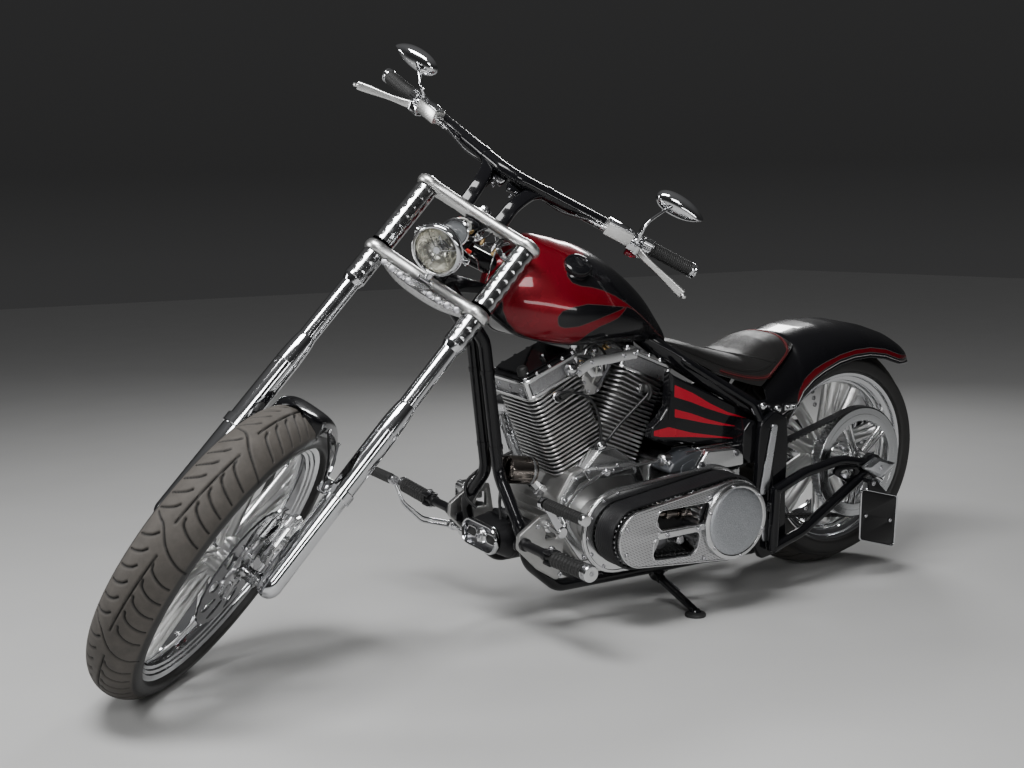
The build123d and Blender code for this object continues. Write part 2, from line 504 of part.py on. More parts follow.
# primary drive
PF, PC = Vector(850, 0, 268), Vector(558, 0, 275)
backp = stadium(PF.X, PF.Z, 108, PC.X, PC.Z, 122, 200, 212)
backp = backp + rod((PF.X, 112.2, PF.Z), (PF.X, 200, PF.Z), 60) + rod((624, 118.2, 236), (624, 200, 236), 22)
put(backp, "primary_back_plate")
belt = stadium(PF.X, PF.Z, 80, PC.X, PC.Z, 112, 218, 286)
belt = belt + disc(PF.X, PF.Z, 212.2, 218, 40) + disc(PC.X, PC.Z, 212.2, 218, 40)
put(belt, "primary_belt")
outer = stadium(PF.X - 6, PF.Z, 72, PC.X, PC.Z, 104, 292, 302)
for window in ([(796, 320), (636, 320), (651, 279), (806, 281)], [(808, 259), (662, 262), (676, 216), (812, 214)]):
    outer = outer - slab(window, 280, 310, 8)
outer = outer + disc(PF.X, PF.Z, 286.2, 292, 20)
put(outer, "primary_outer_plate")
clutch = disc(PC.X, PC.Z, 302.2, 316, 101) + disc(PC.X, PC.Z, 316, 321, 84)
put(clutch, "clutch_cover")

drive = stadium(TR_P.X, TR_P.Z, 62, REAR_AXLE.X, REAR_AXLE.Z, PULLEY_R + 6, 158, 188) - stadium(TR_P.X, TR_P.Z, 56, REAR_AXLE.X, REAR_AXLE.Z, PULLEY_R + 0.3, 150, 200)
put(drive, "drive_belt")

# foot controls
fc = []
for sy in (1, -1):
    y0, y1 = sorted((sy * 158, sy * 172))
    pl = slab([(1000, 150), (1062, 190), (1120, 250), (1118, 284), (1060, 322), (1000, 326), (986, 250)], y0, y1, 12)
    arm1 = rod((1104, sy * 172, 262), (1104, sy * 300, 262), 12) + rod((1104, sy * 300, 262), (1104, sy * 450, 268), 20)
    if sy > 0:
        toe = rod((1040, 172, 300), (1040, 236, 300), 10) + rod((1040, 232, 300), (1100, 250, 382), 8) + rod((1100, 246, 382), (1100, 420, 382), 14)
    else:
        toe = rod((1060, -172, 196), (1060, -250, 196), 10)
        toe = toe + tube([(1060, -246, 196), (1150, -252, 222), (1200, -262, 270), (1219, -282, 333)], 8, 30) + rod((1221, -276, 334), (1204, -440, 322), 14)
    fc.append(pl + arm1 + toe)
put(Compound(children=fc), "foot_controls")

# rear caliper on the right arm
rc = slab([(128, 300), (150, 372), (104, 400), (70, 330)], -196, -140, 8) - ring(REAR_AXLE, RDISC_Y - 9, RDISC_Y + 9, 5, 150)
rc = rc + rod((110, -196, 350), (110, -ARM_Y + 17, 352), 12)
put(rc, "rear_brake_caliper")

# number plate and bracket, left side
PL_Y = 283.0
plate = slab([(90, 291), (-54, 251), (-54, 104), (86, 146)], PL_Y, PL_Y + 4, 10)
pb = slab([(60, 306), (30, 306), (-20, 262), (20, 200), (50, 240)], PL_Y - 6, PL_Y + 1, 5) + rod((40, 249.5, 300), (40, PL_Y - 3, 300), 6)
PLATE_C = Vector(17, 287, 198)
for k in (50, -50):
    hx, hz = PLATE_C.X + 0.9634 * k, PLATE_C.Z + 0.2681 * k
    plate = plate - disc(hx, hz, 270, 300, 3.5)
    pb = pb - disc(hx, hz, 270, 300, 3.5)
put(plate + pb, "number_plate")

# side stand (foot lies flat on the ground in the leaned pose)
ST_P = Vector(657, 122, 96)
ST_F = Vector(640, 266, 22)
stand_dir = (ST_F - ST_P)
FOLDED = Vector(-0.985, -0.05, -0.06).normalized()
ST_BETA = 8.0     # leans the hinge pin so that the load pushes the leg against its open stop
ST_LEG = stand_dir.normalized()
ST_AX = ST_LEG.cross(FOLDED).normalized() * math.cos(math.radians(ST_BETA)) + (ST_LEG + FOLDED).normalized() * math.sin(math.radians(ST_BETA))
P0 = to_row(Vector(657, 122, 96))
F0 = to_row(ST_F)
foot_row = Vector(F0.X, F0.Y, 0)
AXR = to_row_dir(ST_AX)
st = rod(P0, Vector(F0.X, F0.Y, 12), 11) + Plane(origin=P0, z_dir=AXR) * Cylinder(17, 20)
st = st + Pos(F0.X, F0.Y, 0) * Cylinder(27, 12, align=(Align.CENTER, Align.CENTER, Align.MIN))
st = st & (Pos(F0.X, F0.Y, 300) * Box(900, 900, 600))
st.label = "side_stand"
export_step(st, "parts/side_stand.step")

put(starter, "starter_cover")

print("pitch", PITCH, "z0", Z0, "axis p", to_row(S0), "axis d", to_row_dir(U), "rear axle", to_row(REAR_AXLE), to_row_dir(Vector(0, 1, 0)),
      "front axle", to_row(FRONT_AXLE, True), to_row_dir(Vector(0, 1, 0), True), "stand", P0, AXR, "foot", F0, "stem", to_row(STEM_LOW))
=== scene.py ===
import bpy, bmesh, math
import numpy as np
from mathutils import Matrix, Vector


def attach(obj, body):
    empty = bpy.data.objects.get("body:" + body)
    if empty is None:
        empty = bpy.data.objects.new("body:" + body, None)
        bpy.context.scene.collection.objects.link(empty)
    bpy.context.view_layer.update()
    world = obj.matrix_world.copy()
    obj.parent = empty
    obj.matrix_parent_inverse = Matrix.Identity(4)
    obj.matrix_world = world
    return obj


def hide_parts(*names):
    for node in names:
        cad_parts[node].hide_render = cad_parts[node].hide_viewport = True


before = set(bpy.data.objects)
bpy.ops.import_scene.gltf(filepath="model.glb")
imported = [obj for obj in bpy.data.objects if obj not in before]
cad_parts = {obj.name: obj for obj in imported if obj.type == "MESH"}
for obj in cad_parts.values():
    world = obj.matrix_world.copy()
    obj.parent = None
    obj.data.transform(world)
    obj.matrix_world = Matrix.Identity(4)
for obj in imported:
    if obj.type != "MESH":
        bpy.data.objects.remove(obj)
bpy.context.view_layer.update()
scene = bpy.context.scene

# ------------------------------------------------------------------ numbers
# Upright working frame in millimetres: x forward from the rear axle, y left, z up.
RAKE, LEG_TILT, AXIS_OFFSET = 41.5, 5.5, 113.0
STEER_REST, LEAN, PITCH = 49.5, 4.1, 0.4770552140652045
SHIFT = np.array([-910.265, -17.706, 0.3953610495487965])
LEG_HALF, LOWER_TREE_S, UPPER_TREE_S = 141.0, 776.0, 986.0
REAR_R, REAR_W, REAR_CROWN, REAR_RIM_R = 332.0, 250.0, 150.0, 245.0
FRONT_R, FRONT_W, FRONT_CROWN, FRONT_RIM_R = 367.0, 128.0, 68.0, 306.0
SLIDER_R, TUBE_R, COVER_R = 27.5, 21.5, 26.0


def A(*v):
    return np.array(v, float)


def unit(v):
    v = np.asarray(v, float)
    return v / np.linalg.norm(v)


def rot(axis, deg):
    a, k = math.radians(deg), unit(axis)
    K = np.array([[0, -k[2], k[1]], [k[2], 0, -k[0]], [-k[1], k[0], 0]])
    return np.eye(3) + math.sin(a) * K + (1 - math.cos(a)) * K @ K


SIN_R, COS_R = math.sin(math.radians(RAKE)), math.cos(math.radians(RAKE))
U, PERP = A(-SIN_R, 0, COS_R), A(COS_R, 0, SIN_R)
REAR_AXLE, FRONT_AXLE = A(0, 0, REAR_R), A(1870, 0, FRONT_R)
S0 = FRONT_AXLE - PERP * AXIS_OFFSET
LEG_A = math.radians(RAKE + LEG_TILT)
LEG_DIR, LEG_FWD = A(-math.sin(LEG_A), 0, math.cos(LEG_A)), A(math.cos(LEG_A), 0, math.sin(LEG_A))
R_ROW = rot((1, 0, 0), -LEAN) @ rot((0, 1, 0), PITCH)
R_ST = rot(U, STEER_REST)
YAX = A(0, 1, 0)


def leg(s, side=0.0, fwd=0.0):
    return FRONT_AXLE + LEG_DIR * s + LEG_FWD * fwd + A(0, side, 0)


t_low, t_up = float((leg(LOWER_TREE_S) - S0) @ U), float((leg(UPPER_TREE_S) - S0) @ U)


def to_row(P, turn=False):
    P = np.atleast_2d(np.asarray(P, float))
    if turn:
        P = S0 + (P - S0) @ R_ST.T
    return (P @ R_ROW.T + SHIFT) / 1000.0


# ------------------------------------------------------------------ geometry kit
class Geo:
    def __init__(self):
        self.v, self.f, self.m, self.n, self.attr = [], [], [], 0, {}

    def add(self, vf, mat, **attrs):
        V, F = vf
        V = np.asarray(V, float).reshape(-1, 3)
        if not len(V):
            return self
        for k in set(self.attr) | set(attrs):
            self.attr.setdefault(k, [np.zeros(self.n)] if self.n else [])
            val = attrs.get(k, 0.0)
            self.attr[k].append(np.broadcast_to(np.asarray(val, float), (len(V),)))
        self.v.append(V)
        n = self.n
        self.f += [tuple(int(i) + n for i in f) for f in F]
        self.m += [mat] * len(F)
        self.n += len(V)
        return self

    def both(self, vf, mat, **attrs):
        self.add(vf, mat, **attrs)
        V, F = vf
        V = np.asarray(V, float).reshape(-1, 3) * A(1, -1, 1)
        return self.add((V, [tuple(reversed(f)) for f in F]), mat, **attrs)


def flip_y(vf):
    V, F = vf
    return np.asarray(V, float).reshape(-1, 3) * A(1, -1, 1), [tuple(reversed(f)) for f in F]


def merge(*parts):
    V, F, n = [], [], 0
    for v, f in parts:
        v = np.asarray(v, float).reshape(-1, 3)
        V.append(v)
        F += [tuple(int(i) + n for i in q) for q in f]
        n += len(v)
    return np.vstack(V), F


def moved(vf, d):
    return np.asarray(vf[0], float).reshape(-1, 3) + np.asarray(d, float), vf[1]


def turned(vf, R, about=(0, 0, 0)):
    c = np.asarray(about, float)
    return (np.asarray(vf[0], float).reshape(-1, 3) - c) @ np.asarray(R).T + c, vf[1]


def basis(ax, ref=None):
    z = unit(ax)
    if ref is None:
        ref = A(0, 1, 0) if abs(z[1]) < 0.9 else A(1, 0, 0)
    x = np.asarray(ref, float) - z * (np.asarray(ref, float) @ z)
    x = unit(x)
    return x, np.cross(z, x), z


def grid(P, wrap_u=False, wrap_v=False):
    n, m = P.shape[:2]
    idx = np.arange(n * m).reshape(n, m)
    iu = np.arange(n if wrap_u else n - 1)
    iv = np.arange(m if wrap_v else m - 1)
    a = idx[np.ix_(iu, iv)]
    b = idx[np.ix_((iu + 1) % n, iv)]
    c = idx[np.ix_((iu + 1) % n, (iv + 1) % m)]
    d = idx[np.ix_(iu, (iv + 1) % m)]
    F = np.stack([a, b, c, d], -1).reshape(-1, 4)
    return P.reshape(-1, 3), [tuple(q) for q in F.tolist()]


def lathe(prof, o, ax, segs=48, ref=None, closed=False, a0=0.0, a1=360.0):
    """Profile of (along, radius) turned about ax through o."""
    o = np.asarray(o, float)
    e1, e2, e3 = basis(ax, ref)
    full = abs(a1 - a0) >= 359.9
    k = segs if full else segs + 1
    ang = np.radians(a0 + (a1 - a0) * np.arange(k) / segs)
    V, rings = [], []
    n = 0
    for (a, r) in prof:
        if r < 1e-6:
            V.append((o + e3 * a)[None]); rings.append([n]); n += 1
        else:
            V.append(o + e3 * a + np.outer(np.cos(ang) * r, e1) + np.outer(np.sin(ang) * r, e2))
            rings.append(list(range(n, n + k))); n += k
    F = []
    pairs = list(zip(rings[:-1], rings[1:])) + ([(rings[-1], rings[0])] if closed else [])
    for p, q in pairs:
        for i in range(k if full else k - 1):
            j = (i + 1) % k
            if len(p) == 1 and len(q) == 1:
                continue
            if len(p) == 1:
                F.append((p[0], q[j], q[i]))
            elif len(q) == 1:
                F.append((p[i], p[j], q[0]))
            else:
                F.append((p[i], p[j], q[j], q[i]))
    return np.vstack(V), F


def knurl(prof, o, ax, segs, bumps, depth, lo, hi, ref=None):
    """Lathe whose radius is waved around between lo and hi along the axis."""
    V, F = lathe(prof, o, ax, segs, ref)
    e1, e2, e3 = basis(ax, ref)
    o = np.asarray(o, float)
    rel = V - o
    a = rel @ e3
    ang = np.arctan2(rel @ e2, rel @ e1)
    k = 1 - depth * (0.5 - 0.5 * np.cos(ang * bumps)) * ((a > lo) & (a < hi))
    return o + np.outer(a, e3) + (rel - np.outer(a, e3)) * k[:, None], F


def fillet_path(pts, radius, n=8):
    """Straight runs joined by tangent arcs, as points."""
    pts = [np.asarray(p, float) for p in pts]
    rad = list(radius) if hasattr(radius, "__len__") else [radius] * (len(pts) - 2)
    out = [pts[0]]
    for i in range(1, len(pts) - 1):
        a, b, c = pts[i - 1], pts[i], pts[i + 1]
        u, v = unit(a - b), unit(c - b)
        th = math.acos(max(-1, min(1, float(u @ v))))
        turn = math.pi - th
        if turn < 1e-3:
            out.append(b); continue
        tl = rad[i - 1] * math.tan(turn / 2)
        p0, p1 = b + u * tl, b + v * tl
        cen = b + unit(u + v) * (rad[i - 1] / math.cos(turn / 2))
        e0 = p0 - cen
        nrm = unit(np.cross(p0 - cen, p1 - cen))
        for k in range(n + 1):
            out.append(cen + rot(nrm, math.degrees(turn) * k / n) @ e0)
    out.append(pts[-1])
    return np.array(out)


def smooth_path(pts, n=8, closed=False):
    """Catmull-Rom through the points."""
    P = np.asarray(pts, float)
    if closed:
        Q = np.vstack([P[-1:], P, P[:2]])
        segs = len(P)
    else:
        Q = np.vstack([2 * P[0] - P[1], P, 2 * P[-1] - P[-2]])
        segs = len(P) - 1
    out = []
    for i in range(segs):
        p0, p1, p2, p3 = Q[i:i + 4]
        for t in np.arange(n) / n:
            out.append(0.5 * ((2 * p1) + (-p0 + p2) * t + (2 * p0 - 5 * p1 + 4 * p2 - p3) * t ** 2 + (-p0 + 3 * p1 - 3 * p2 + p3) * t ** 3))
    if not closed:
        out.append(P[-1])
    return np.array(out)


def sweep(path, rad, segs=16, caps=True, section=None, up=None, closed=False, dome=0.0):
    """Tube, or a 2-D section (k,2), carried along a path without twist."""
    P = np.asarray(path, float)
    n = len(P)
    if closed:
        T = np.roll(P, -1, 0) - np.roll(P, 1, 0)
    else:
        T = np.gradient(P, axis=0)
    T = T / np.linalg.norm(T, axis=1)[:, None]
    x, y, _ = basis(T[0], up)
    X, Y = [x], [y]
    for i in range(1, n):
        v = X[-1] - T[i] * (X[-1] @ T[i])
        x = unit(v); X.append(x); Y.append(np.cross(T[i], x))
    X, Y = np.array(X), np.array(Y)
    if section is None:
        ang = np.arange(segs) * 2 * np.pi / segs
        sec = np.stack([np.cos(ang), np.sin(ang)], 1)
    else:
        sec = np.asarray(section, float)
    r = np.broadcast_to(np.asarray(rad, float), (n,))
    G = P[:, None, :] + r[:, None, None] * (sec[None, :, 0, None] * X[:, None, :] + sec[None, :, 1, None] * Y[:, None, :])
    V, F = grid(G, wrap_u=closed, wrap_v=True)
    k = len(sec)
    if caps and not closed:
        F = list(F)
        if dome:
            c0, c1 = P[0] - T[0] * dome, P[-1] + T[-1] * dome
            V = np.vstack([V, c0, c1]); m = len(V)
            for i in range(k):
                j = (i + 1) % k
                F.append((m - 2, i, j)); F.append((m - 1, (n - 1) * k + j, (n - 1) * k + i))
        else:
            F.append(tuple(range(k))); F.append(tuple((n - 1) * k + i for i in reversed(range(k))))
    return V, F


def bent(pts, radius, r, segs=16, n=8, **kw):
    return sweep(fillet_path(pts, radius, n), r, segs, **kw)


def bm_out(bm):
    bm.verts.index_update()
    V = np.array([v.co[:] for v in bm.verts], float).reshape(-1, 3)
    F = [tuple(v.index for v in f.verts) for f in bm.faces]
    bm.free()
    return V, F


def rbox(c, size, bevel=1.5, seg=2, R=None):
    bm = bmesh.new()
    bmesh.ops.create_cube(bm, size=1.0)
    for v in bm.verts:
        v.co = Vector((v.co.x * size[0], v.co.y * size[1], v.co.z * size[2]))
    if bevel:
        bmesh.ops.bevel(bm, geom=bm.edges[:], offset=bevel, segments=seg, profile=0.5, affect="EDGES")
    V, F = bm_out(bm)
    if R is not None:
        V = V @ np.asarray(R).T
    return V + np.asarray(c, float), F


def cols(x, y, z):
    return np.stack([unit(x), unit(y), unit(z)], 1)


def chamfer(vf, width, seg=2, angle=30):
    bm = bmesh.new()
    vs = [bm.verts.new(p) for p in vf[0]]
    for f in vf[1]:
        try:
            bm.faces.new([vs[i] for i in f])
        except ValueError:
            pass
    bmesh.ops.remove_doubles(bm, verts=bm.verts[:], dist=1e-4)
    bmesh.ops.recalc_face_normals(bm, faces=bm.faces[:])
    es = [e for e in bm.edges if len(e.link_faces) == 2 and e.calc_face_angle(0) > math.radians(angle)]
    bmesh.ops.bevel(bm, geom=es, offset=width, segments=seg, profile=0.5, affect="EDGES", clamp_overlap=True)
    return bm_out(bm)


def circle2(cx, cy, r, n=32, a0=0.0):
    a = a0 + np.arange(n) * 2 * np.pi / n
    return np.stack([cx + r * np.cos(a), cy + r * np.sin(a)], 1)


def ellipse2(cx, cy, rx, ry, n=40, turn=0.0):
    a = np.arange(n) * 2 * np.pi / n
    x, y = rx * np.cos(a), ry * np.sin(a)
    c, s = math.cos(math.radians(turn)), math.sin(math.radians(turn))
    return np.stack([cx + c * x - s * y, cy + s * x + c * y], 1)


def round2(pts, radius, n=6):
    """Closed 2-D outline with its corners rounded."""
    P = [np.asarray(p, float) for p in pts]
    rad = list(radius) if hasattr(radius, "__len__") else [radius] * len(P)
    out = []
    for i in range(len(P)):
        a, b, c = P[i - 1], P[i], P[(i + 1) % len(P)]
        u, v = (a - b), (c - b)
        lu, lv = np.linalg.norm(u), np.linalg.norm(v)
        u, v = u / lu, v / lv
        th = math.acos(max(-1, min(1, float(u @ v))))
        turn = math.pi - th
        if turn < 0.02 or rad[i] <= 0:
            out.append(b); continue
        tl = min(rad[i] * math.tan(turn / 2), 0.48 * lu, 0.48 * lv)
        r = tl / math.tan(turn / 2)
        cen = b + (u + v) / np.linalg.norm(u + v) * (r / math.cos(turn / 2))
        p0, p1 = b + u * tl - cen, b + v * tl - cen
        a0 = math.atan2(p0[1], p0[0]); da = math.atan2(p1[1], p1[0]) - a0
        da = (da + math.pi) % (2 * math.pi) - math.pi
        for k in range(n + 1):
            t = a0 + da * k / n
            out.append(cen + r * A(math.cos(t), math.sin(t)))
    return np.array(out)


def hull2(x0, z0, r0, x1, z1, r1, n=20):
    d, b = math.hypot(x1 - x0, z1 - z0), math.atan2(z1 - z0, x1 - x0)
    g = math.acos((r0 - r1) / d)
    t1 = np.linspace(b + g, b - g, n)
    t0 = np.linspace(b - g, b + g - 2 * math.pi, n)
    return np.vstack([np.stack([x1 + r1 * np.cos(t1), z1 + r1 * np.sin(t1)], 1), np.stack([x0 + r0 * np.cos(t0), z0 + r0 * np.sin(t0)], 1)])


def plate(outlines, depth, bevel=1.0, res=2):
    """Flat plate with bevelled edges and holes; local z from 0 to depth."""
    cu = bpy.data.curves.new("tmp", "CURVE")
    cu.dimensions = "2D"
    cu.fill_mode = "BOTH"
    bevel = min(bevel, depth * 0.49)
    cu.extrude = depth / 2 - bevel
    cu.bevel_depth = bevel
    cu.bevel_resolution = res - 1
    cu.offset = -bevel
    for o in outlines:
        sp = cu.splines.new("POLY")
        sp.points.add(len(o) - 1)
        for i, p in enumerate(o):
            sp.points[i].co = (float(p[0]), float(p[1]), 0, 1)
        sp.use_cyclic_u = True
    ob = bpy.data.objects.new("tmp", cu)
    scene.collection.objects.link(ob)
    dg = bpy.context.evaluated_depsgraph_get()
    me = bpy.data.meshes.new_from_object(ob.evaluated_get(dg))
    bm = bmesh.new()
    bm.from_mesh(me)
    bmesh.ops.remove_doubles(bm, verts=bm.verts[:], dist=1e-3)
    V, F = bm_out(bm)
    V = V + A(0, 0, depth / 2)
    bpy.data.meshes.remove(me)
    bpy.data.objects.remove(ob)
    bpy.data.curves.remove(cu)
    return V, F


def place(vf, o, xdir, ydir):
    x, y = unit(xdir), unit(ydir)
    z = np.cross(x, y)
    V = np.asarray(vf[0], float)
    return np.asarray(o, float) + V[:, :1] * x + V[:, 1:2] * y + V[:, 2:] * z, vf[1]


def side(outlines, y0, y1, bevel=1.0, res=2):
    """Plate parallel to the wheel plane between y0 and y1; outline in (x, z)."""
    V, F = plate(outlines, abs(y1 - y0), bevel, res)
    V = np.stack([V[:, 0], max(y0, y1) - V[:, 2], V[:, 1]], 1)
    return V, F


def bolt(p, d, r=5.0, h=5.0, hexa=True, dome=False):
    """Socket cap screw head, hexagon head or acorn standing on p along d."""
    if dome:
        prof = [(0, r), (h * 0.35, r), (h * 0.62, r * 0.86), (h * 0.85, r * 0.5), (h, 0)]
        return lathe(prof, p, d, 14)
    body = lathe([(0, r), (h * 0.8, r), (h, r * 0.86), (h, r * 0.56)], p, d, 16)
    sock = lathe([(h, r * 0.56), (h * 0.45, r * 0.52), (h * 0.4, 0)], p, d, 6) if hexa else lathe([(h, r * 0.56), (h, 0)], p, d, 16)
    return merge(body, sock)


def hexnut(p, d, r, h, washer=True):
    parts = [chamfer(lathe([(0, 0), (0, r), (h, r), (h, 0)], p, d, 6), min(0.8, r * 0.12), 1, 20)]
    if washer:
        parts.append(lathe([(-0.2, 0), (-0.2, r * 1.25), (1.2, r * 1.25), (1.2, r * 0.5)], p, d, 20))
    return merge(*parts)


MATS = {}


def piece(name, g, body, turn=False, replaces=(), angle=32.0, clean=True):
    V = to_row(np.vstack(g.v), turn)
    me = bpy.data.meshes.new(name)
    me.from_pydata(V.tolist(), [], g.f)
    used = []
    for m in g.m:
        if m not in used:
            used.append(m)
    for m in used:
        me.materials.append(MATS[m])
    lut = {m: i for i, m in enumerate(used)}
    me.polygons.foreach_set("material_index", [lut[m] for m in g.m])
    for k, parts in g.attr.items():
        at = me.attributes.new(k, "FLOAT", "POINT")
        at.data.foreach_set("value", np.concatenate(parts).astype(np.float32))
    if clean:
        bm = bmesh.new()
        bm.from_mesh(me)
        bmesh.ops.remove_doubles(bm, verts=bm.verts[:], dist=2e-6)
        bmesh.ops.dissolve_degenerate(bm, edges=bm.edges[:], dist=1e-7)
        bmesh.ops.recalc_face_normals(bm, faces=bm.faces[:])
        bm.to_mesh(me)
        bm.free()
    me.polygons.foreach_set("use_smooth", [True] * len(me.polygons))
    me.set_sharp_from_angle(angle=math.radians(angle))
    ob = bpy.data.objects.new(name, me)
    scene.collection.objects.link(ob)
    if body:
        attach(ob, body)
    if replaces:
        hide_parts(*((replaces,) if isinstance(replaces, str) else replaces))
    return ob


# ------------------------------------------------------------------ materials
class NT:
    def __init__(self, name):
        self.m = bpy.data.materials.new(name)
        self.m.use_nodes = True
        self.t = self.m.node_tree
        self.t.nodes.clear()
        self.out = self.t.nodes.new("ShaderNodeOutputMaterial")
        self.b = self.t.nodes.new("ShaderNodeBsdfPrincipled")
        self.t.links.new(self.b.outputs[0], self.out.inputs[0])
        MATS[name] = self.m
        self.tc = None

    def node(self, kind, **kw):
        n = self.t.nodes.new(kind)
        for k, v in kw.items():
            if k.startswith("_"):
                setattr(n, k[1:], v)
            else:
                self.put(n.inputs[k.replace("__", " ")], v)
        return n

    def put(self, sock, v):
        if isinstance(v, bpy.types.NodeSocket):
            self.t.links.new(v, sock)
        elif isinstance(v, (tuple, list)) and len(v) == 3 and sock.type == "RGBA":
            sock.default_value = (*v, 1.0)
        else:
            sock.default_value = v

    def coord(self, scale=None, kind="Object"):
        if self.tc is None:
            self.tc = self.t.nodes.new("ShaderNodeTexCoord")
        o = self.tc.outputs[kind]
        if scale is None:
            return o
        mp = self.t.nodes.new("ShaderNodeMapping")
        self.t.links.new(o, mp.inputs[0])
        mp.inputs["Scale"].default_value = scale if hasattr(scale, "__len__") else (scale,) * 3
        return mp.outputs[0]

    def noise(self, scale, detail=4.0, rough=0.55, vec=None, distortion=0.0):
        n = self.node("ShaderNodeTexNoise", Vector=vec if vec is not None else self.coord(), Scale=scale, Detail=detail, Roughness=rough, Distortion=distortion)
        return n.outputs[0]

    def voro(self, scale, feature="F1", vec=None, out="Distance", rnd=1.0):
        n = self.t.nodes.new("ShaderNodeTexVoronoi")
        n.feature = feature
        self.t.links.new(vec if vec is not None else self.coord(), n.inputs["Vector"])
        n.inputs["Scale"].default_value = scale
        if "Randomness" in n.inputs:
            n.inputs["Randomness"].default_value = rnd
        return n.outputs[out]

    def ramp(self, fac, stops):
        n = self.t.nodes.new("ShaderNodeValToRGB")
        self.t.links.new(fac, n.inputs[0])
        el = n.color_ramp.elements
        while len(el) < len(stops):
            el.new(0.5)
        for e, (p, c) in zip(el, stops):
            e.position = p
            e.color = (*c, 1.0) if hasattr(c, "__len__") else (c, c, c, 1.0)
        return n.outputs[0]

    def math(self, op, a, b=0.0, c=0.0, clamp=False):
        n = self.t.nodes.new("ShaderNodeMath")
        n.operation = op
        n.use_clamp = clamp
        for i, v in enumerate((a, b, c)):
            self.put(n.inputs[i], v)
        return n.outputs[0]

    def map(self, v, a, b, c, d):
        n = self.t.nodes.new("ShaderNodeMapRange")
        for i, x in enumerate((v, a, b, c, d)):
            self.put(n.inputs[i], x)
        return n.outputs[0]

    def mix(self, fac, a, b):
        n = self.t.nodes.new("ShaderNodeMix")
        n.data_type = "RGBA"
        self.put(n.inputs[0], fac)
        self.put(n.inputs[6], a)
        self.put(n.inputs[7], b)
        return n.outputs[2]

    def mixf(self, fac, a, b):
        n = self.t.nodes.new("ShaderNodeMix")
        n.data_type = "FLOAT"
        self.put(n.inputs[0], fac)
        self.put(n.inputs[2], a)
        self.put(n.inputs[3], b)
        return n.outputs[0]

    def attr(self, name):
        n = self.t.nodes.new("ShaderNodeAttribute")
        n.attribute_name = name
        return n.outputs["Fac"]

    def bump(self, h, strength=0.2, dist=0.0005, normal=None):
        n = self.node("ShaderNodeBump", Strength=strength, Distance=dist)
        self.put(n.inputs["Height"], h)
        if normal is not None:
            self.put(n.inputs["Normal"], normal)
        return n.outputs[0]

    def set(self, **kw):
        names = {"color": "Base Color", "metal": "Metallic", "rough": "Roughness", "coat": "Coat Weight", "coat_rough": "Coat Roughness", "ior": "IOR",
                 "spec": "Specular IOR Level", "trans": "Transmission Weight", "normal": "Normal", "aniso": "Anisotropic", "sheen": "Sheen Weight",
                 "emit": "Emission Color", "emit_str": "Emission Strength", "alpha": "Alpha", "coat_normal": "Coat Normal", "sheen_rough": "Sheen Roughness"}
        for k, v in kw.items():
            self.put(self.b.inputs[names[k]], v)
        return self


def metal(name, color, rough, var=0.06, scratch=0.15, coat=0.0, tint=0.0, bump_scale=900.0, bump_str=0.03, smear=26.0):
    t = NT(name)
    cloud = t.noise(smear, 5.0, 0.6)
    fine = t.noise(bump_scale, 3.0, 0.5)
    streak = t.noise(60.0, 6.0, 0.7, vec=t.coord((9.0, 9.0, 90.0)))
    r = t.math("ADD", t.map(cloud, 0.35, 0.7, rough, rough + var), t.math("MULTIPLY", streak, scratch * 0.2))
    c = t.mix(t.map(cloud, 0.3, 0.75, 0.0, 1.0), tuple(color), tuple(x * (1 - tint) for x in color))
    t.set(color=c, metal=1.0, rough=r, normal=t.bump(fine, bump_str, 0.0004), coat=coat)
    return t


def plastic(name, color, rough, coat=0.0, dust=0.0, bump_scale=500.0, bump_str=0.04, spec=0.5, dist=0.0004):
    t = NT(name)
    cloud = t.noise(14.0, 5.0, 0.6)
    fine = t.noise(bump_scale, 3.0, 0.6)
    speck = t.map(t.noise(1400.0, 2.0, 0.5), 0.68, 0.78, 0.0, dust)
    c = t.mix(t.math("MULTIPLY", speck, cloud), tuple(color), (0.30, 0.29, 0.27))
    t.set(color=c, metal=0.0, rough=t.map(cloud, 0.3, 0.75, rough * 0.85, rough * 1.25 + 0.01), normal=t.bump(fine, bump_str, dist), coat=coat, coat_rough=0.03, spec=spec)
    return t


metal("chrome", (0.68, 0.685, 0.70), 0.045, 0.05, 0.12, tint=0.05, bump_str=0.012)
metal("chrome_dim", (0.50, 0.505, 0.51), 0.10, 0.08, 0.2, tint=0.12, bump_str=0.02)
metal("polished", (0.74, 0.745, 0.75), 0.12, 0.10, 0.35, tint=0.10, bump_str=0.035)
metal("steel", (0.50, 0.50, 0.51), 0.20, 0.12, 0.4, tint=0.18, bump_str=0.05)
metal("dark_steel", (0.20, 0.20, 0.21), 0.22, 0.12, 0.4, tint=0.25, bump_str=0.05)
metal("bolt_steel", (0.58, 0.58, 0.60), 0.16, 0.10, 0.3, tint=0.15, bump_str=0.04)
metal("brass", (0.72, 0.50, 0.24), 0.20, 0.12, 0.3, tint=0.2, bump_str=0.05)
metal("bronze_chrome", (0.30, 0.265, 0.24), 0.10, 0.10, 0.3, tint=0.25, bump_str=0.03)
metal("fin", (0.66, 0.66, 0.66), 0.24, 0.12, 0.4, tint=0.2, bump_str=0.10, bump_scale=1500.0)
# darker metal for the barrel between the fins: painted shade in the gaps
metal("fin_dark", (0.20, 0.195, 0.19), 0.48, 0.15, 0.4, tint=0.35, bump_str=0.18, bump_scale=900.0)

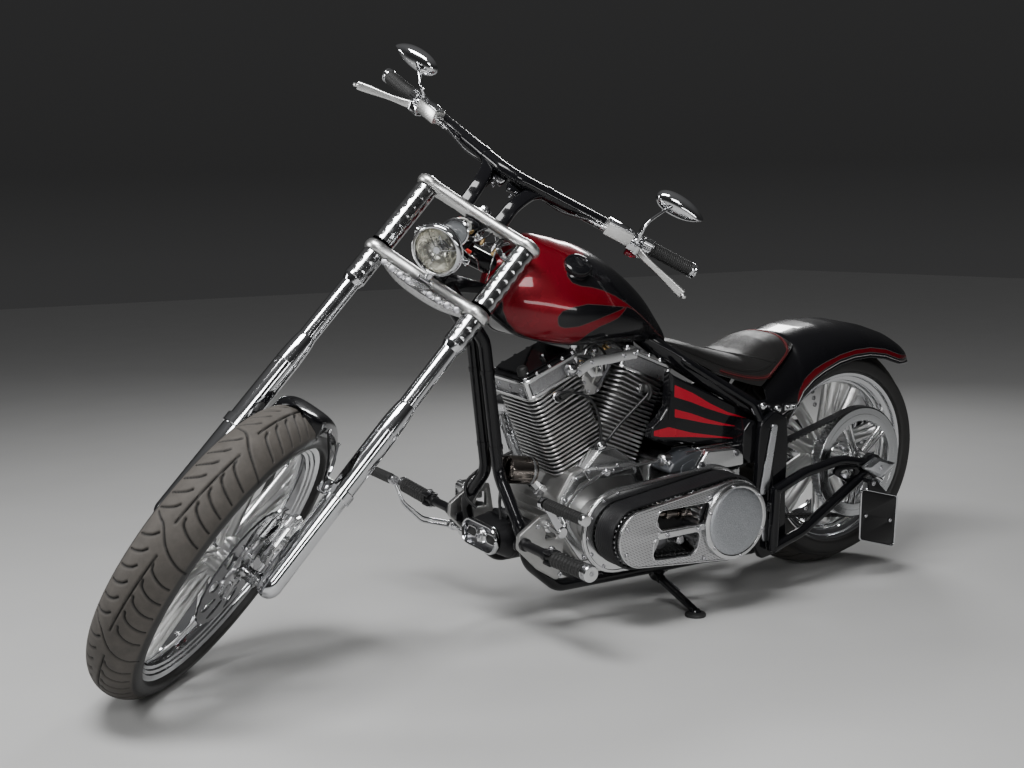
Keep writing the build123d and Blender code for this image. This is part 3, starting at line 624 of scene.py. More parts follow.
t = NT("brushed")
line = t.noise(1.0, 5.0, 0.65, vec=t.coord((60.0, 1500.0, 1500.0)))
cl = t.noise(18.0, 4.0, 0.55)
t.set(color=t.mix(line, (0.50, 0.51, 0.53), (0.72, 0.73, 0.75)), metal=1.0, rough=t.map(cl, 0.3, 0.7, 0.22, 0.34), normal=t.bump(line, 0.12, 0.0003))

# turned faces: rings follow the ra attribute (mm from the spin axis)
t = NT("turned")
ra = t.attr("ra")
wob = t.math("ADD", t.math("MULTIPLY", ra, 0.9), t.math("MULTIPLY", t.noise(30.0, 3.0, 0.5), 1.5))
comb = t.node("ShaderNodeCombineXYZ", X=wob, Y=0.0, Z=0.0)
line = t.noise(2.2, 6.0, 0.7, vec=comb.outputs[0])
t.set(color=t.mix(line, (0.44, 0.45, 0.46), (0.70, 0.71, 0.72)), metal=1.0, rough=t.map(line, 0.3, 0.7, 0.16, 0.30), normal=t.bump(line, 0.10, 0.0003))

t = NT("disc_face")
ra = t.attr("ra")
comb = t.node("ShaderNodeCombineXYZ", X=ra, Y=0.0, Z=0.0)
line = t.noise(2.6, 6.0, 0.7, vec=comb.outputs[0])
t.set(color=t.mix(line, (0.085, 0.085, 0.09), (0.20, 0.20, 0.21)), metal=1.0, rough=t.map(line, 0.3, 0.7, 0.12, 0.24), normal=t.bump(line, 0.10, 0.0003))

t = NT("cast")
v1 = t.noise(900.0, 4.0, 0.6)
v2 = t.noise(22.0, 5.0, 0.6)
pit = t.voro(700.0)
t.set(color=t.mix(v2, (0.34, 0.335, 0.33), (0.55, 0.55, 0.54)), metal=1.0, rough=t.map(v2, 0.3, 0.7, 0.34, 0.46), normal=t.bump(t.math("ADD", v1, pit), 0.16, 0.0006))

t = NT("cast_bright")
v1 = t.noise(700.0, 4.0, 0.6)
v2 = t.noise(16.0, 5.0, 0.6)
t.set(color=t.mix(v2, (0.58, 0.585, 0.59), (0.74, 0.745, 0.75)), metal=1.0, rough=t.map(v2, 0.3, 0.7, 0.16, 0.28), normal=t.bump(v1, 0.10, 0.0006))

t = NT("hammered")
cell = t.voro(230.0, "SMOOTH_F1")
v2 = t.noise(20.0, 4.0, 0.6)
h = t.map(cell, 0.0, 0.55, 0.0, 1.0)
t.set(color=t.mix(h, (0.40, 0.40, 0.40), (0.66, 0.66, 0.665)), metal=1.0, rough=t.map(v2, 0.3, 0.7, 0.16, 0.28), normal=t.bump(h, 0.55, 0.0016))

t = NT("stipple")
cell = t.voro(520.0, "SMOOTH_F1")
v2 = t.noise(20.0, 4.0, 0.6)
h = t.map(cell, 0.0, 0.6, 0.0, 1.0)
t.set(color=t.mix(h, (0.16, 0.16, 0.165), (0.42, 0.42, 0.43)), metal=1.0, rough=t.map(v2, 0.3, 0.7, 0.26, 0.38), normal=t.bump(h, 0.7, 0.0010))

# paints
t = NT("gloss_black")
peel = t.noise(170.0, 2.0, 0.4)
cloud = t.noise(9.0, 4.0, 0.6)
speck = t.map(t.noise(1600.0, 2.0, 0.5), 0.70, 0.80, 0.0, 0.35)
t.set(color=t.mix(t.math("MULTIPLY", speck, cloud), (0.0045, 0.0045, 0.0055), (0.16, 0.16, 0.16)), rough=t.map(cloud, 0.3, 0.7, 0.14, 0.26), spec=0.12, coat=0.50, coat_rough=t.map(cloud, 0.3, 0.7, 0.015, 0.05), normal=t.bump(peel, 0.02, 0.0005), coat_normal=t.bump(peel, 0.012, 0.0005))
plastic("frame_black", (0.005, 0.005, 0.006), 0.20, 0.35, 0.2, 260.0, 0.03, spec=0.15)
plastic("satin_black", (0.008, 0.008, 0.009), 0.32, 0.0, 0.15, 700.0, 0.08, spec=0.3)
plastic("matt_black", (0.009, 0.009, 0.009), 0.55, 0.0, 0.2, 900.0, 0.12, spec=0.3)
plastic("rubber", (0.016, 0.016, 0.016), 0.50, 0.0, 0.35, 1200.0, 0.15)
plastic("wire_black", (0.010, 0.010, 0.011), 0.33, 0.0, 0.2, 900.0, 0.06)
plastic("wire_red", (0.45, 0.012, 0.008), 0.32, 0.0, 0.1, 900.0, 0.05)
plastic("white_tube", (0.55, 0.55, 0.52), 0.30, 0.2, 0.1, 900.0, 0.04)
plastic("amber", (0.75, 0.30, 0.05), 0.22, 0.3, 0.1, 900.0, 0.04)
plastic("gauge_face", (0.10, 0.105, 0.11), 0.40, 0.4, 0.1, 900.0, 0.04)
plastic("plate_black", (0.004, 0.004, 0.0045), 0.16, 0.25, 0.3, 300.0, 0.03, spec=0.15)
plastic("belt_black", (0.010, 0.010, 0.011), 0.40, 0.0, 0.2, 1300.0, 0.15, spec=0.3)
# near-black filler placed where only shade is seen: painted shade
plastic("dark_void", (0.006, 0.006, 0.006), 0.6, 0.0, 0.1, 500.0, 0.05)


def paint_nodes(t, mask_attr, col_a, col_b, line=None, lo=-0.25, hi=0.25):
    """Two colours split where the attribute crosses zero, with a thin line beside it."""
    a = t.attr(mask_attr)
    m = t.map(a, lo, hi, 0.0, 1.0)
    c = t.mix(m, col_a, col_b)
    if line:
        w0, w1, lc = line
        k = t.math("MULTIPLY", t.math("GREATER_THAN", a, w0), t.math("LESS_THAN", a, w1))
        c = t.mix(k, c, lc)
    return c


def candy(name, mask, line=None, lo=(0.070, 0.0004, 0.0035), hi=(0.125, 0.0007, 0.0060), spark=(0.36, 0.006, 0.020)):
    t = NT(name)
    flake = t.voro(2600.0, out="Color")
    fl = t.node("ShaderNodeSeparateColor", Color=flake).outputs[0]
    deep = t.noise(5.0, 3.0, 0.5)
    redc = t.mix(t.math("MULTIPLY", fl, 0.35), t.mix(deep, lo, hi), spark)
    peel = t.noise(150.0, 2.0, 0.4)
    blackc = (0.0045, 0.0045, 0.0055)
    a = t.attr(mask)
    m = t.map(a, -0.3, 0.3, 0.0, 1.0)
    c = t.mix(m, blackc, redc)
    met = t.math("MULTIPLY", m, 0.35)
    if line:
        for (w0, w1, lc) in line:
            k = t.math("MULTIPLY", t.math("GREATER_THAN", a, w0), t.math("LESS_THAN", a, w1))
            c = t.mix(k, c, lc)
            met = t.math("MULTIPLY", met, t.math("SUBTRACT", 1.0, k))
    cloud = t.noise(9.0, 4.0, 0.6)
    t.set(color=c, metal=met, rough=t.map(cloud, 0.3, 0.7, 0.20, 0.30), spec=0.12, coat=0.50, coat_rough=t.map(cloud, 0.3, 0.7, 0.012, 0.04), normal=t.bump(peel, 0.02, 0.0005), coat_normal=t.bump(peel, 0.010, 0.0005))
    return t


candy("tank_paint", "sd", line=[(-1.5, -0.5, (0.085, 0.035, 0.035))])
candy("panel_paint", "sd", lo=(0.36, 0.0014, 0.013), hi=(0.50, 0.0020, 0.020), spark=(0.75, 0.02, 0.06))
candy("fender_paint", "sd", line=[(-1.5, -0.7, (0.12, 0.11, 0.11))], lo=(0.075, 0.0006, 0.0035), hi=(0.12, 0.0008, 0.005), spark=(0.25, 0.005, 0.015))
candy("red_paint", "one")

# tyre: g = 1 in the grooves, w = 1 on the tread band
t = NT("tyre")
g, w = t.attr("g"), t.attr("w")
dust = t.noise(38.0, 6.0, 0.65)
fine = t.noise(900.0, 4.0, 0.6)
streak = t.noise(1.0, 4.0, 0.6, vec=t.coord((70.0, 70.0, 70.0)))
dusty = t.mix(dust, (0.040, 0.036, 0.032), (0.100, 0.090, 0.080))
side_c = t.mix(streak, (0.012, 0.012, 0.012), (0.026, 0.025, 0.024))
c = t.mix(w, side_c, dusty)
# grooves coloured darker than the bare sidewall rubber: painted shade in the grooves
c = t.mix(g, c, (0.006, 0.006, 0.006))
t.set(color=c, rough=t.mixf(w, 0.46, 0.72), normal=t.bump(fine, 0.22, 0.0005), spec=0.4)

# leather: fine pebbled grain and broad creases
t = NT("leather")
grain = t.voro(620.0, "SMOOTH_F1")
grain2 = t.voro(1500.0)
cre = t.noise(26.0, 6.0, 0.65, distortion=0.6)
h = t.math("ADD", t.math("MULTIPLY", grain, 0.8), t.math("ADD", t.math("MULTIPLY", grain2, 0.25), t.math("MULTIPLY", cre, 1.1)))
t.set(color=t.mix(grain, (0.015, 0.0142, 0.0138), (0.006, 0.006, 0.006)), rough=t.map(cre, 0.3, 0.7, 0.38, 0.54), normal=t.bump(h, 0.34, 0.0010), spec=0.28, sheen=0.02)
t = NT("piping_red")
grain = t.voro(900.0, "SMOOTH_F1")
t.set(color=t.mix(grain, (0.10, 0.006, 0.008), (0.055, 0.004, 0.005)), rough=0.42, normal=t.bump(grain, 0.3, 0.0006))
t = NT("stitch")
tw = t.noise(1800.0, 2.0, 0.5)
t.set(color=t.mix(tw, (0.10, 0.008, 0.010), (0.19, 0.02, 0.02)), rough=0.6, normal=t.bump(tw, 0.4, 0.0003))

# lamp glass with a faint ribbing and dust
t = NT("lens")
rib = t.noise(180.0, 2.0, 0.4)
t.set(color=(0.93, 0.95, 0.97), rough=t.map(t.noise(30.0, 4.0, 0.6), 0.3, 0.7, 0.0, 0.03), trans=1.0, ior=1.45, normal=t.bump(rib, 0.05, 0.0008))
t = NT("bulb_glass")
t.set(color=t.mix(t.noise(200.0), (0.90, 0.90, 0.88), (0.97, 0.97, 0.96)), rough=0.03, trans=0.9, ior=1.4)
t = NT("red_lens")
rib = t.noise(250.0, 2.0, 0.4)
t.set(color=t.mix(rib, (0.16, 0.003, 0.012), (0.24, 0.006, 0.02)), rough=0.08, trans=0.35, ior=1.45, normal=t.bump(rib, 0.15, 0.0006))

# engraved dashes: darker and rougher where the d attribute is 1
t = NT("engraved")
d = t.attr("d")
line = t.noise(1.0, 5.0, 0.65, vec=t.coord((1500.0, 60.0, 1500.0)))
t.set(color=t.mix(d, t.mix(line, (0.46, 0.47, 0.48), (0.64, 0.65, 0.66)), (0.10, 0.10, 0.10)), metal=1.0, rough=t.mixf(d, 0.20, 0.5), normal=t.bump(line, 0.08, 0.0003))
metal("mirror_glass", (0.80, 0.81, 0.83), 0.012, 0.01, 0.02, tint=0.02, bump_str=0.0)
plastic("cap_line", (0.30, 0.28, 0.28), 0.25, 0.8, 0.1, 500.0, 0.03)

# brushed outer plate with rows of short engraved dashes, running aslant
t = NT("outer_face")
co = t.node("ShaderNodeSeparateXYZ", Vector=t.coord())
sx, sy_, sz = co.outputs
along = t.math("ADD", t.math("MULTIPLY", sx, 160.0), t.math("MULTIPLY", sz, 92.0))
across = t.math("SUBTRACT", t.math("MULTIPLY", sz, 160.0), t.math("MULTIPLY", sx, 92.0))
row = t.math("FLOOR", across, 0.0)
fa = t.math("FRACT", across, 0.0)
fb = t.math("FRACT", t.math("ADD", t.math("MULTIPLY", along, 0.42), t.math("MULTIPLY", row, 0.5)), 0.0)
dash = t.math("MULTIPLY", t.math("LESS_THAN", t.math("ABSOLUTE", t.math("SUBTRACT", fa, 0.5)), 0.13), t.math("LESS_THAN", t.math("ABSOLUTE", t.math("SUBTRACT", fb, 0.5)), 0.30))
brush = t.noise(1.0, 5.0, 0.65, vec=t.coord((90.0, 900.0, 1500.0)))
base = t.mix(brush, (0.50, 0.50, 0.51), (0.66, 0.66, 0.67))
t.set(color=t.mix(dash, base, (0.20, 0.20, 0.205)), metal=1.0, rough=t.mixf(dash, 0.30, 0.5), normal=t.bump(t.math("SUBTRACT", t.math("MULTIPLY", brush, 0.2), dash), 0.35, 0.0004))

t = NT("clutch_face")
cell = t.voro(430.0, "SMOOTH_F1")
v2 = t.noise(20.0, 4.0, 0.6)
h = t.map(cell, 0.0, 0.6, 0.0, 1.0)
t.set(color=t.mix(h, (0.30, 0.315, 0.335), (0.50, 0.515, 0.54)), metal=1.0, rough=t.map(v2, 0.3, 0.7, 0.30, 0.42), normal=t.bump(h, 0.6, 0.0010))
t = NT("stitch_black")
tw = t.noise(1800.0, 2.0, 0.5)
t.set(color=t.mix(tw, (0.012, 0.012, 0.012), (0.035, 0.034, 0.033)), rough=0.55, normal=t.bump(tw, 0.4, 0.0003))

metal("reflector", (0.84, 0.82, 0.74), 0.20, 0.10, 0.2, tint=0.10, bump_str=0.02)
metal("satin_alu", (0.80, 0.80, 0.79), 0.26, 0.10, 0.3, tint=0.08, bump_str=0.08, bump_scale=700.0)
plastic("cover_dark", (0.035, 0.038, 0.043), 0.30, 0.15, 0.2, 500.0, 0.10)


# ------------------------------------------------------------------ tyres
def seg_dist(U_, S_, pts):
    """Distance from every grid point to a polyline (u, s)."""
    d = np.full(U_.shape, 1e9)
    for (a, b) in zip(pts[:-1], pts[1:]):
        a, b = A(*a), A(*b)
        ab = b - a
        t = np.clip(((U_ - a[0]) * ab[0] + (S_ - a[1]) * ab[1]) / (ab @ ab), 0, 1)
        d = np.minimum(d, np.hypot(U_ - a[0] - t * ab[0], S_ - a[1] - t * ab[1]))
    return d


def tyre_mesh(centre, R, W, crown, bead_r, bead_half, n_rep, per_rep, tread_half, n_tread, grooves, depth, edge_r):
    """Tread as real grooves; sidewall carried round to the bead."""
    half = W / 2
    cr = crown
    s = np.linspace(-tread_half, tread_half, n_tread)
    y_t = cr * np.sin(np.clip(s / cr, -1.45, 1.45))
    r_t = R - cr + cr * np.cos(np.clip(s / cr, -1.45, 1.45))
    y0, r0 = y_t[-1], r_t[-1]
    # sidewall: smooth curve from the shoulder over the widest point to the bead
    widest = (half, (r0 + bead_r) / 2 + 0.06 * (r0 - bead_r))
    side = smooth_path([(y0, r0, 0), (0.5 * (y0 + half) + 0.35 * (half - y0), r0 * 0.62 + widest[1] * 0.38, 0), (widest[0], widest[1], 0), (0.6 * half + 0.4 * bead_half + 0.25 * (half - bead_half), bead_r * 0.72 + widest[1] * 0.28, 0), (bead_half + 2.0, bead_r + 1.5, 0), (bead_half - 3, bead_r - 3.0, 0)], 5)[1:, :2]
    k = len(side)
    prof_y = np.concatenate([-side[::-1, 0], y_t, side[:, 0]])
    prof_r = np.concatenate([side[::-1, 1], r_t, side[:, 1]])
    n_tot = n_rep * per_rep
    L = 2 * np.pi * R / n_rep
    u = np.arange(per_rep) * L / per_rep
    Ug, Sg = np.meshgrid(u, s, indexing="ij")
    d = np.full(Ug.shape, 1e9)
    for wid, line in grooves:
        pl = smooth_path([(a, b, 0) for a, b in line], 5)[:, :2] if len(line) > 2 else np.array(line, float)
        for off in (-L, 0, L):
            if pl[:, 0].max() + off < -20 or pl[:, 0].min() + off > L + 20:
                continue
            d = np.minimum(d, seg_dist(Ug, Sg, pl + A(off, 0)) - wid / 2)
    cell = max(L / per_rep, (s[1] - s[0])) * 0.55
    gr = np.clip(0.5 - d / (2 * cell), 0, 1)
    G = np.zeros((per_rep, len(prof_y)))
    G[:, k:k + n_tread] = gr
    Wt = np.zeros(len(prof_y))
    Wt[k:k + n_tread] = np.clip((tread_half - 8.0 - np.abs(s)) / 3.0, 0, 1)
    G, Wg = np.tile(G, (n_rep, 1)), np.tile(Wt, (n_tot, 1))
    rad = prof_r[None, :] - depth * G
    th = -np.arange(n_tot) * 2 * np.pi / n_tot
    P = np.stack([centre[0] + rad * np.cos(th)[:, None], np.broadcast_to(centre[1] + prof_y, rad.shape), centre[2] + rad * np.sin(th)[:, None]], -1)
    V, F = grid(P, wrap_u=True)
    return (V, F), G.reshape(-1), Wg.reshape(-1)


# one S across both shoulders, a long centre groove, and short curved side grooves
fr = [(4.2, [(-10, -56), (-2, -38), (6, -20), (34, 6), (50, 28), (60, 52), (64, 74)]), (3.6, [(60, 5), (246, -3)])]
for u0 in (76, 114, 152, 190, 228):
    fr.append((4.4, [(u0, 8), (u0 + 13, 13), (u0 + 24, 28), (u0 + 31, 46), (u0 + 34, 62)]))
for u0 in (22, 60, 98, 136, 174, 212):
    fr.append((4.2, [(u0, -18), (u0 + 10, -26), (u0 + 19, -42), (u0 + 24, -60)]))
vf, g_, w_ = tyre_mesh(FRONT_AXLE, FRONT_R, FRONT_W, FRONT_CROWN, FRONT_RIM_R - 4, 45, 9, 94, 80.0, 68, fr, 5.0, 0)
g = Geo()
g.add(vf, "tyre", g=g_, w=w_)
piece("front_tyre_skin", g, "front_wheel", turn=True, replaces="front_tyre", angle=60, clean=False)

rr_ = []
for u0 in (0, 58, 116, 174):
    sg = 1 if (u0 // 58) % 2 == 0 else -1
    rr_.append((6.0, [(u0, sg * 14), (u0 + 16, sg * 26), (u0 + 34, sg * 62), (u0 + 44, sg * 104)]))
    rr_.append((5.0, [(u0 + 29, -sg * 24), (u0 + 48, -sg * 50), (u0 + 60, -sg * 88)]))
rr_.append((6.5, [(0, 0), (58, 4), (116, 0), (174, -4), (232, 0)]))
vf, g_, w_ = tyre_mesh(REAR_AXLE, REAR_R, REAR_W, REAR_CROWN, REAR_RIM_R - 4, 110, 9, 56, 118.0, 58, rr_, 5.5, 0)
g = Geo()
g.add(vf, "tyre", g=g_, w=w_ * 0.55)
piece("rear_tyre_skin", g, "rear_wheel", replaces="rear_tyre", angle=60, clean=False)


# ------------------------------------------------------------------ rims
def wheel_pt(c, r, a, y):
    return c + A(r * math.cos(a), y, r * math.sin(a))


def blade(c, a0, a1, r0, r1, w0, w1, y0, y1, t0, t1, ridge=2.5, n=12, bow=0.0):
    """Slender spoke with a raised ridge, from the hub at angle a0 to the rim at a1."""
    P = []
    q0, q1 = A(r0 * math.cos(a0), r0 * math.sin(a0)), A(r1 * math.cos(a1), r1 * math.sin(a1))
    d = (q1 - q0) / np.linalg.norm(q1 - q0)
    nrm = A(-d[1], d[0])
    for i in range(n + 1):
        t = i / n
        q = q0 + (q1 - q0) * t + nrm * bow * math.sin(math.pi * t)
        flare = (1 - t) ** 3 * 0.6 + t ** 6 * 0.8
        w = (w0 + (w1 - w0) * t) * (1 + flare * 0.5) / 2
        th = (t0 + (t1 - t0) * t) / 2
        y = y0 + (y1 - y0) * t
        sec = [(-w, 0.35 * th), (-0.72 * w, th), (-0.12 * w, th + ridge), (0.12 * w, th + ridge), (0.72 * w, th), (w, 0.35 * th),
               (w, -0.35 * th), (0.72 * w, -th), (0.12 * w, -th - ridge), (-0.12 * w, -th - ridge), (-0.72 * w, -th), (-w, -0.35 * th)]
        P.append([A(c[0] + q[0] + nrm[0] * s_, c[1] + y + v_, c[2] + q[1] + nrm[1] * s_) for s_, v_ in sec])
    return grid(np.array(P), wrap_v=True)


def rim_profile(R, half, lip, well, steps=3):
    """(along axis, radius) of a stepped show rim: bands from the outer lip down to the well."""
    out = [(-half, R - 2.5), (-half - 2.5, R + 1.5), (-half - 1.0, R + 5.5), (-half + 3.0, R + 6.5), (-half + 6.0, R + 3.0), (-half + 8, R - 6)]
    inner = [(-half + 16, well + 4), (0, well), (half - 16, well + 4)]
    outer = [(-x, r) for x, r in reversed(out)]
    back = []
    r, x = R - 2.5, half
    dr = lip / steps
    dx = (half * 0.42) / steps
    pts = [(half, R - 2.5)]
    for k in range(steps):
        pts += [(x - 1.5, r - dr * 0.55), (x - dx * 0.35, r - dr * 0.80), (x - dx * 0.9, r - dr * 0.95)]
        x -= dx
        r -= dr
        pts += [(x, r)]
    pts += [(x - 3, r - 1.5), (half * 0.22, R - lip - 7)]
    rev = [(-a, b) for a, b in reversed(pts)]
    return out + inner + outer + pts[1:] + rev[:-1]


# front rim
g = Geo()
FC = FRONT_AXLE
g.add(lathe(rim_profile(FRONT_RIM_R - 6, 46, 24, 282), FC, YAX, 144, ref=(1, 0, 0), closed=True), "chrome")
for i in range(5):
    a = math.radians(i * 72 + 20)
    for sg in (-1, 1):
        g.add(blade(FC, a + sg * 0.30, a + sg * 0.135, 42, 276, 19, 12, sg * 6, 0, 20, 13, 3.4), "satin_alu")
        g.add(blade(FC, a + sg * 0.62, a + sg * 0.30, 40, 277, 12, 9, -sg * 10, 0, 13, 10, 2.4), "satin_alu")
hubp = [(-64, 16), (-64, 30), (-60, 33), (-50, 33), (-46, 30), (-42, 30), (-38, 38), (-30, 46), (-14, 48), (0, 44), (14, 48), (30, 46), (38, 38), (42, 30), (46, 30), (50, 36), (58, 36), (62, 33), (63, 16)]
g.add(knurl([(y_, r_ * (1.12 if r_ > 37 else 1.0)) for y_, r_ in hubp], FC, YAX, 120, 10, 0.13, -36, 36, ref=(1, 0, 0)), "satin_alu")
for i in range(5):
    a = math.radians(i * 72 + 56)
    p = wheel_pt(FC, 46, a, 0)
    g.add(lathe([(-8, 0), (-8, 13), (-4, 16), (4, 16), (8, 13), (8, 0)], p, p - FC, 24), "chrome")
# valve stem
a = math.radians(126)
g.add(lathe([(0, 4.4), (16, 4.4), (18, 3.2), (30, 3.0), (32, 4.2), (40, 4.2), (42, 0)], wheel_pt(FC, 272, a, 10), -A(math.cos(a), -0.25, math.sin(a)), 14), "chrome")
piece("front_rim_skin", g, "front_wheel", turn=True, replaces="front_rim", angle=34)

# front disc, slotted, on a spider with five arms
g = Geo()
holes = []
n = 10
for i in range(n):
    a = i * 2 * math.pi / n
    hp = []
    for (r, da) in ((84, 0.00), (92, 0.13), (108, 0.22), (128, 0.26), (131, 0.17), (122, 0.05), (104, -0.06), (88, -0.09)):
        hp.append((r * math.cos(a + da), r * math.sin(a + da)))
    holes.append(smooth_path([(x, y, 0) for x, y in hp], 4, closed=True)[:, :2])
outer = []
for k in range(180):
    a = k * 2 * math.pi / 180
    outer.append((145.5 + 1.2 * math.cos(a * 30) - 1.0, a))
outer = np.array([(r * math.cos(a), r * math.sin(a)) for r, a in outer])
vf = side([outer, circle2(0, 0, 72, 60)] + holes, 62.2, 67.0, 0.6, 1)
V = vf[0] + FC
ra = np.hypot(V[:, 0] - FC[0], V[:, 2] - FC[2])
g.add((V, vf[1]), "disc_face", ra=ra)
spi = []
for k in range(100):
    a = k * 2 * math.pi / 100
    c5 = 0.5 + 0.5 * math.cos(5 * a)
    spi.append(((44 + 40 * c5 ** 1.5) * math.cos(a), (44 + 40 * c5 ** 1.5) * math.sin(a)))
vf = side([np.array(spi), circle2(0, 0, 26.5, 40)], 63.0, 71.0, 1.2, 2)
g.add((vf[0] + FC, vf[1]), "steel")
for i in range(5):
    a = i * 2 * math.pi / 5
    g.add(bolt(wheel_pt(FC, 77, a, 71), YAX, 5.5, 4), "chrome")
    g.add(bolt(wheel_pt(FC, 38, a + 0.6, 71), YAX, 5.0, 4.5), "chrome")
piece("front_disc_skin", g, "front_wheel", turn=True, replaces="front_brake_disc", angle=30)

# rear rim with ten broad sculpted blades
g = Geo()
RC = REAR_AXLE
prof = rim_profile(REAR_RIM_R - 6, 112, 30, 215, 4)
g.add(lathe(prof, RC, YAX, 144, ref=(1, 0, 0), closed=True), "chrome")
for i in range(5):
    a = math.radians(i * 72 + 38)
    for sg in (-1, 1):
        g.add(blade(RC, a + sg * 0.26, a + sg * 0.21, 48, 208, 34, 26, 46, 54, 22, 16, 5.0, bow=sg * 3), "satin_alu")
        g.add(blade(RC, a + sg * 0.60, a + sg * 0.34, 48, 208, 18, 13, 38, 44, 16, 12, 3.2), "satin_alu")
    # web between the pair near the rim
    g.add(blade(RC, a, a, 120, 208, 10, 26, 50, 52, 8, 12, 1.5), "satin_alu")
    for k in range(3):
        p = wheel_pt(RC, 150 + 20 * k, a + 0.62, 48)
        g.add(lathe([(0, 6.5), (3, 6.5), (4.5, 4.5), (4.5, 3), (1, 2.4), (1, 0)], p, YAX, 14), "steel")
hubp = [(-118, 16), (-118, 40), (-112, 44), (-60, 46), (-40, 52), (20, 54), (34, 58), (62, 58), (70, 50), (84, 44), (112, 44), (118, 40), (118, 16)]
g.add(knurl(hubp, RC, YAX, 120, 10, 0.08, 22, 80, ref=(1, 0, 0)), "polished")
a = math.radians(200)
g.add(lathe([(0, 4.4), (16, 4.4), (18, 3.2), (30, 3.0), (32, 4.2), (40, 4.2), (42, 0)], wheel_pt(RC, 206, a, 60), -A(math.cos(a), -0.4, math.sin(a)), 14), "chrome")
piece("rear_rim_skin", g, "rear_wheel", replaces="rear_rim", angle=34)

# rear pulley: toothed drum, brushed face ring, five pairs of bars
g = Geo()
teeth = 70
n = teeth * 6
pr = [0, 0, 1, 1, 1, 0]
rad = np.array([149.0 + 3.0 * pr[k % 6] for k in range(n)])
ang = np.arange(n) * 2 * np.pi / n
rows = []
for y in (155.0, 156.0, 184.0, 185.0):
    rr = rad - (0.8 if y in (155.0, 185.0) else 0)
    rows.append(np.stack([RC[0] + rr * np.cos(ang), np.full(n, y), RC[2] + rr * np.sin(ang)], 1))
inn = []
for y in (185.0, 155.0):
    inn.append(np.stack([RC[0] + 138 * np.cos(ang), np.full(n, y), RC[2] + 138 * np.sin(ang)], 1))
g.add(grid(np.array(rows + inn), wrap_u=True, wrap_v=True), "steel")
face = lathe([(185.2, 136), (189.2, 137), (190, 138), (190, 153.5), (189, 155), (185.2, 155)], RC - A(0, RC[1], 0), YAX, 120, ref=(1, 0, 0), closed=True)
ra = np.hypot(face[0][:, 0] - RC[0], face[0][:, 2] - RC[2])
g.add(face, "turned", ra=ra)
face = lathe([(178, 116), (186, 117), (189.5, 120), (190, 122), (190, 137), (182, 137.5), (178, 137)], RC - A(0, RC[1], 0), YAX, 120, ref=(1, 0, 0), closed=True)
ra = np.hypot(face[0][:, 0] - RC[0], face[0][:, 2] - RC[2])
g.add(face, "turned", ra=ra)
for i in range(5):
    a = math.radians(i * 72 + 64)
    for sg in (-1, 1):
        g.add(blade(RC, a + sg * 0.22, a + sg * 0.095, 34, 119, 9.5, 9.5, 180, 184, 10, 9, 1.6, bow=0), "polished")
g.add(lathe([(118.6, 16), (118.6, 42), (150, 44), (172, 40), (176, 34), (188, 32), (190, 30), (190, 16)], RC - A(0, RC[1], 0), YAX, 64, ref=(1, 0, 0), closed=True), "polished")
for i in range(5):
    a = math.radians(i * 72 + 28)
    g.add(bolt(wheel_pt(RC, 38, a, 170), YAX, 6, 8), "chrome")
piece("rear_pulley_skin", g, "rear_wheel", replaces="rear_pulley", angle=30)

g = Geo()
holes = [ellipse2(105 * math.cos(k * 2 * math.pi / 12), 105 * math.sin(k * 2 * math.pi / 12), 20, 7, 20, math.degrees(k * 2 * math.pi / 12) + 35) for k in range(12)]
vf = side([circle2(0, 0, 141.5, 120), circle2(0, 0, 70, 60)] + holes, -163, -157, 0.6, 1)
V = vf[0] + RC
g.add((V, vf[1]), "disc_face", ra=np.hypot(V[:, 0] - RC[0], V[:, 2] - RC[2]))
vf = side([np.array([((50 + 32 * (0.5 + 0.5 * math.cos(5 * a)) ** 1.5) * math.cos(a), (50 + 32 * (0.5 + 0.5 * math.cos(5 * a)) ** 1.5) * math.sin(a)) for a in np.arange(100) * 2 * math.pi / 100]), circle2(0, 0, 26, 40)], -157, -149, 1.2, 2)
g.add((vf[0] + RC, vf[1]), "steel")
g.add(lathe([(-119, 16), (-119, 50), (-146, 48), (-150, 40), (-162, 38), (-163, 16)], RC, YAX, 48, ref=(1, 0, 0), closed=True), "polished")
for i in range(5):
    g.add(bolt(wheel_pt(RC, 77, i * 2 * math.pi / 5, -157 + 8) - A(0, 16, 0) + A(0, 0, 0), -YAX, 5.5, 4), "chrome")
piece("rear_disc_skin", g, "rear_wheel", replaces="rear_brake_disc", angle=30)


# ------------------------------------------------------------------ fork
def leg_lathe(prof, y, segs=48):
    """Profile of (s along the leg, radius)."""
    return lathe(prof, leg(0, y), LEG_DIR, segs, ref=LEG_FWD)


g = Geo()
for sy in (1, -1):
    y = sy * LEG_HALF
    prof = [(-23.3, 0), (-22.6, 5), (-20, 12), (-14.5, 19), (-6, 24.6), (4, 27.4), (14, 27.5)] + [(s_, 27.5) for s_ in (120, 240, 340, 396)] + [
        (424, 27.5), (425.2, 26.6), (427.4, 26.6), (428.6, 27.6), (436, 27.4), (448, 26.9), (462, 26.4), (476, 25.5), (490, 24.2), (499, 23.0), (504, 22.2), (506, 21.6), (506, 20.5)]
    g.add(leg_lathe(prof, y, 64), "chrome")
    for k in (-1, 1):
        p = leg(414, y + sy * 0.0, 27.2 * 0.78) + A(0, k * 27.2 * 0.6, 0)
        d = unit(p - leg(414, y))
        g.add(bolt(leg(414, y) + d * 26.8, d, 3.0, 2.4), "bolt_steel")
    # axle pinch at the bottom of the slider
    g.add(rbox(leg(2, y - sy * 6, -26), (30, 26, 26), 4, 3, cols(LEG_DIR, YAX, np.cross(LEG_DIR, YAX))), "chrome")
    g.add(bolt(leg(2, y - sy * 6, -39), -LEG_FWD, 5.5, 5), "bolt_steel")
piece("fork_sliders_skin", g, "steering", turn=True, replaces="fork_sliders", angle=30)

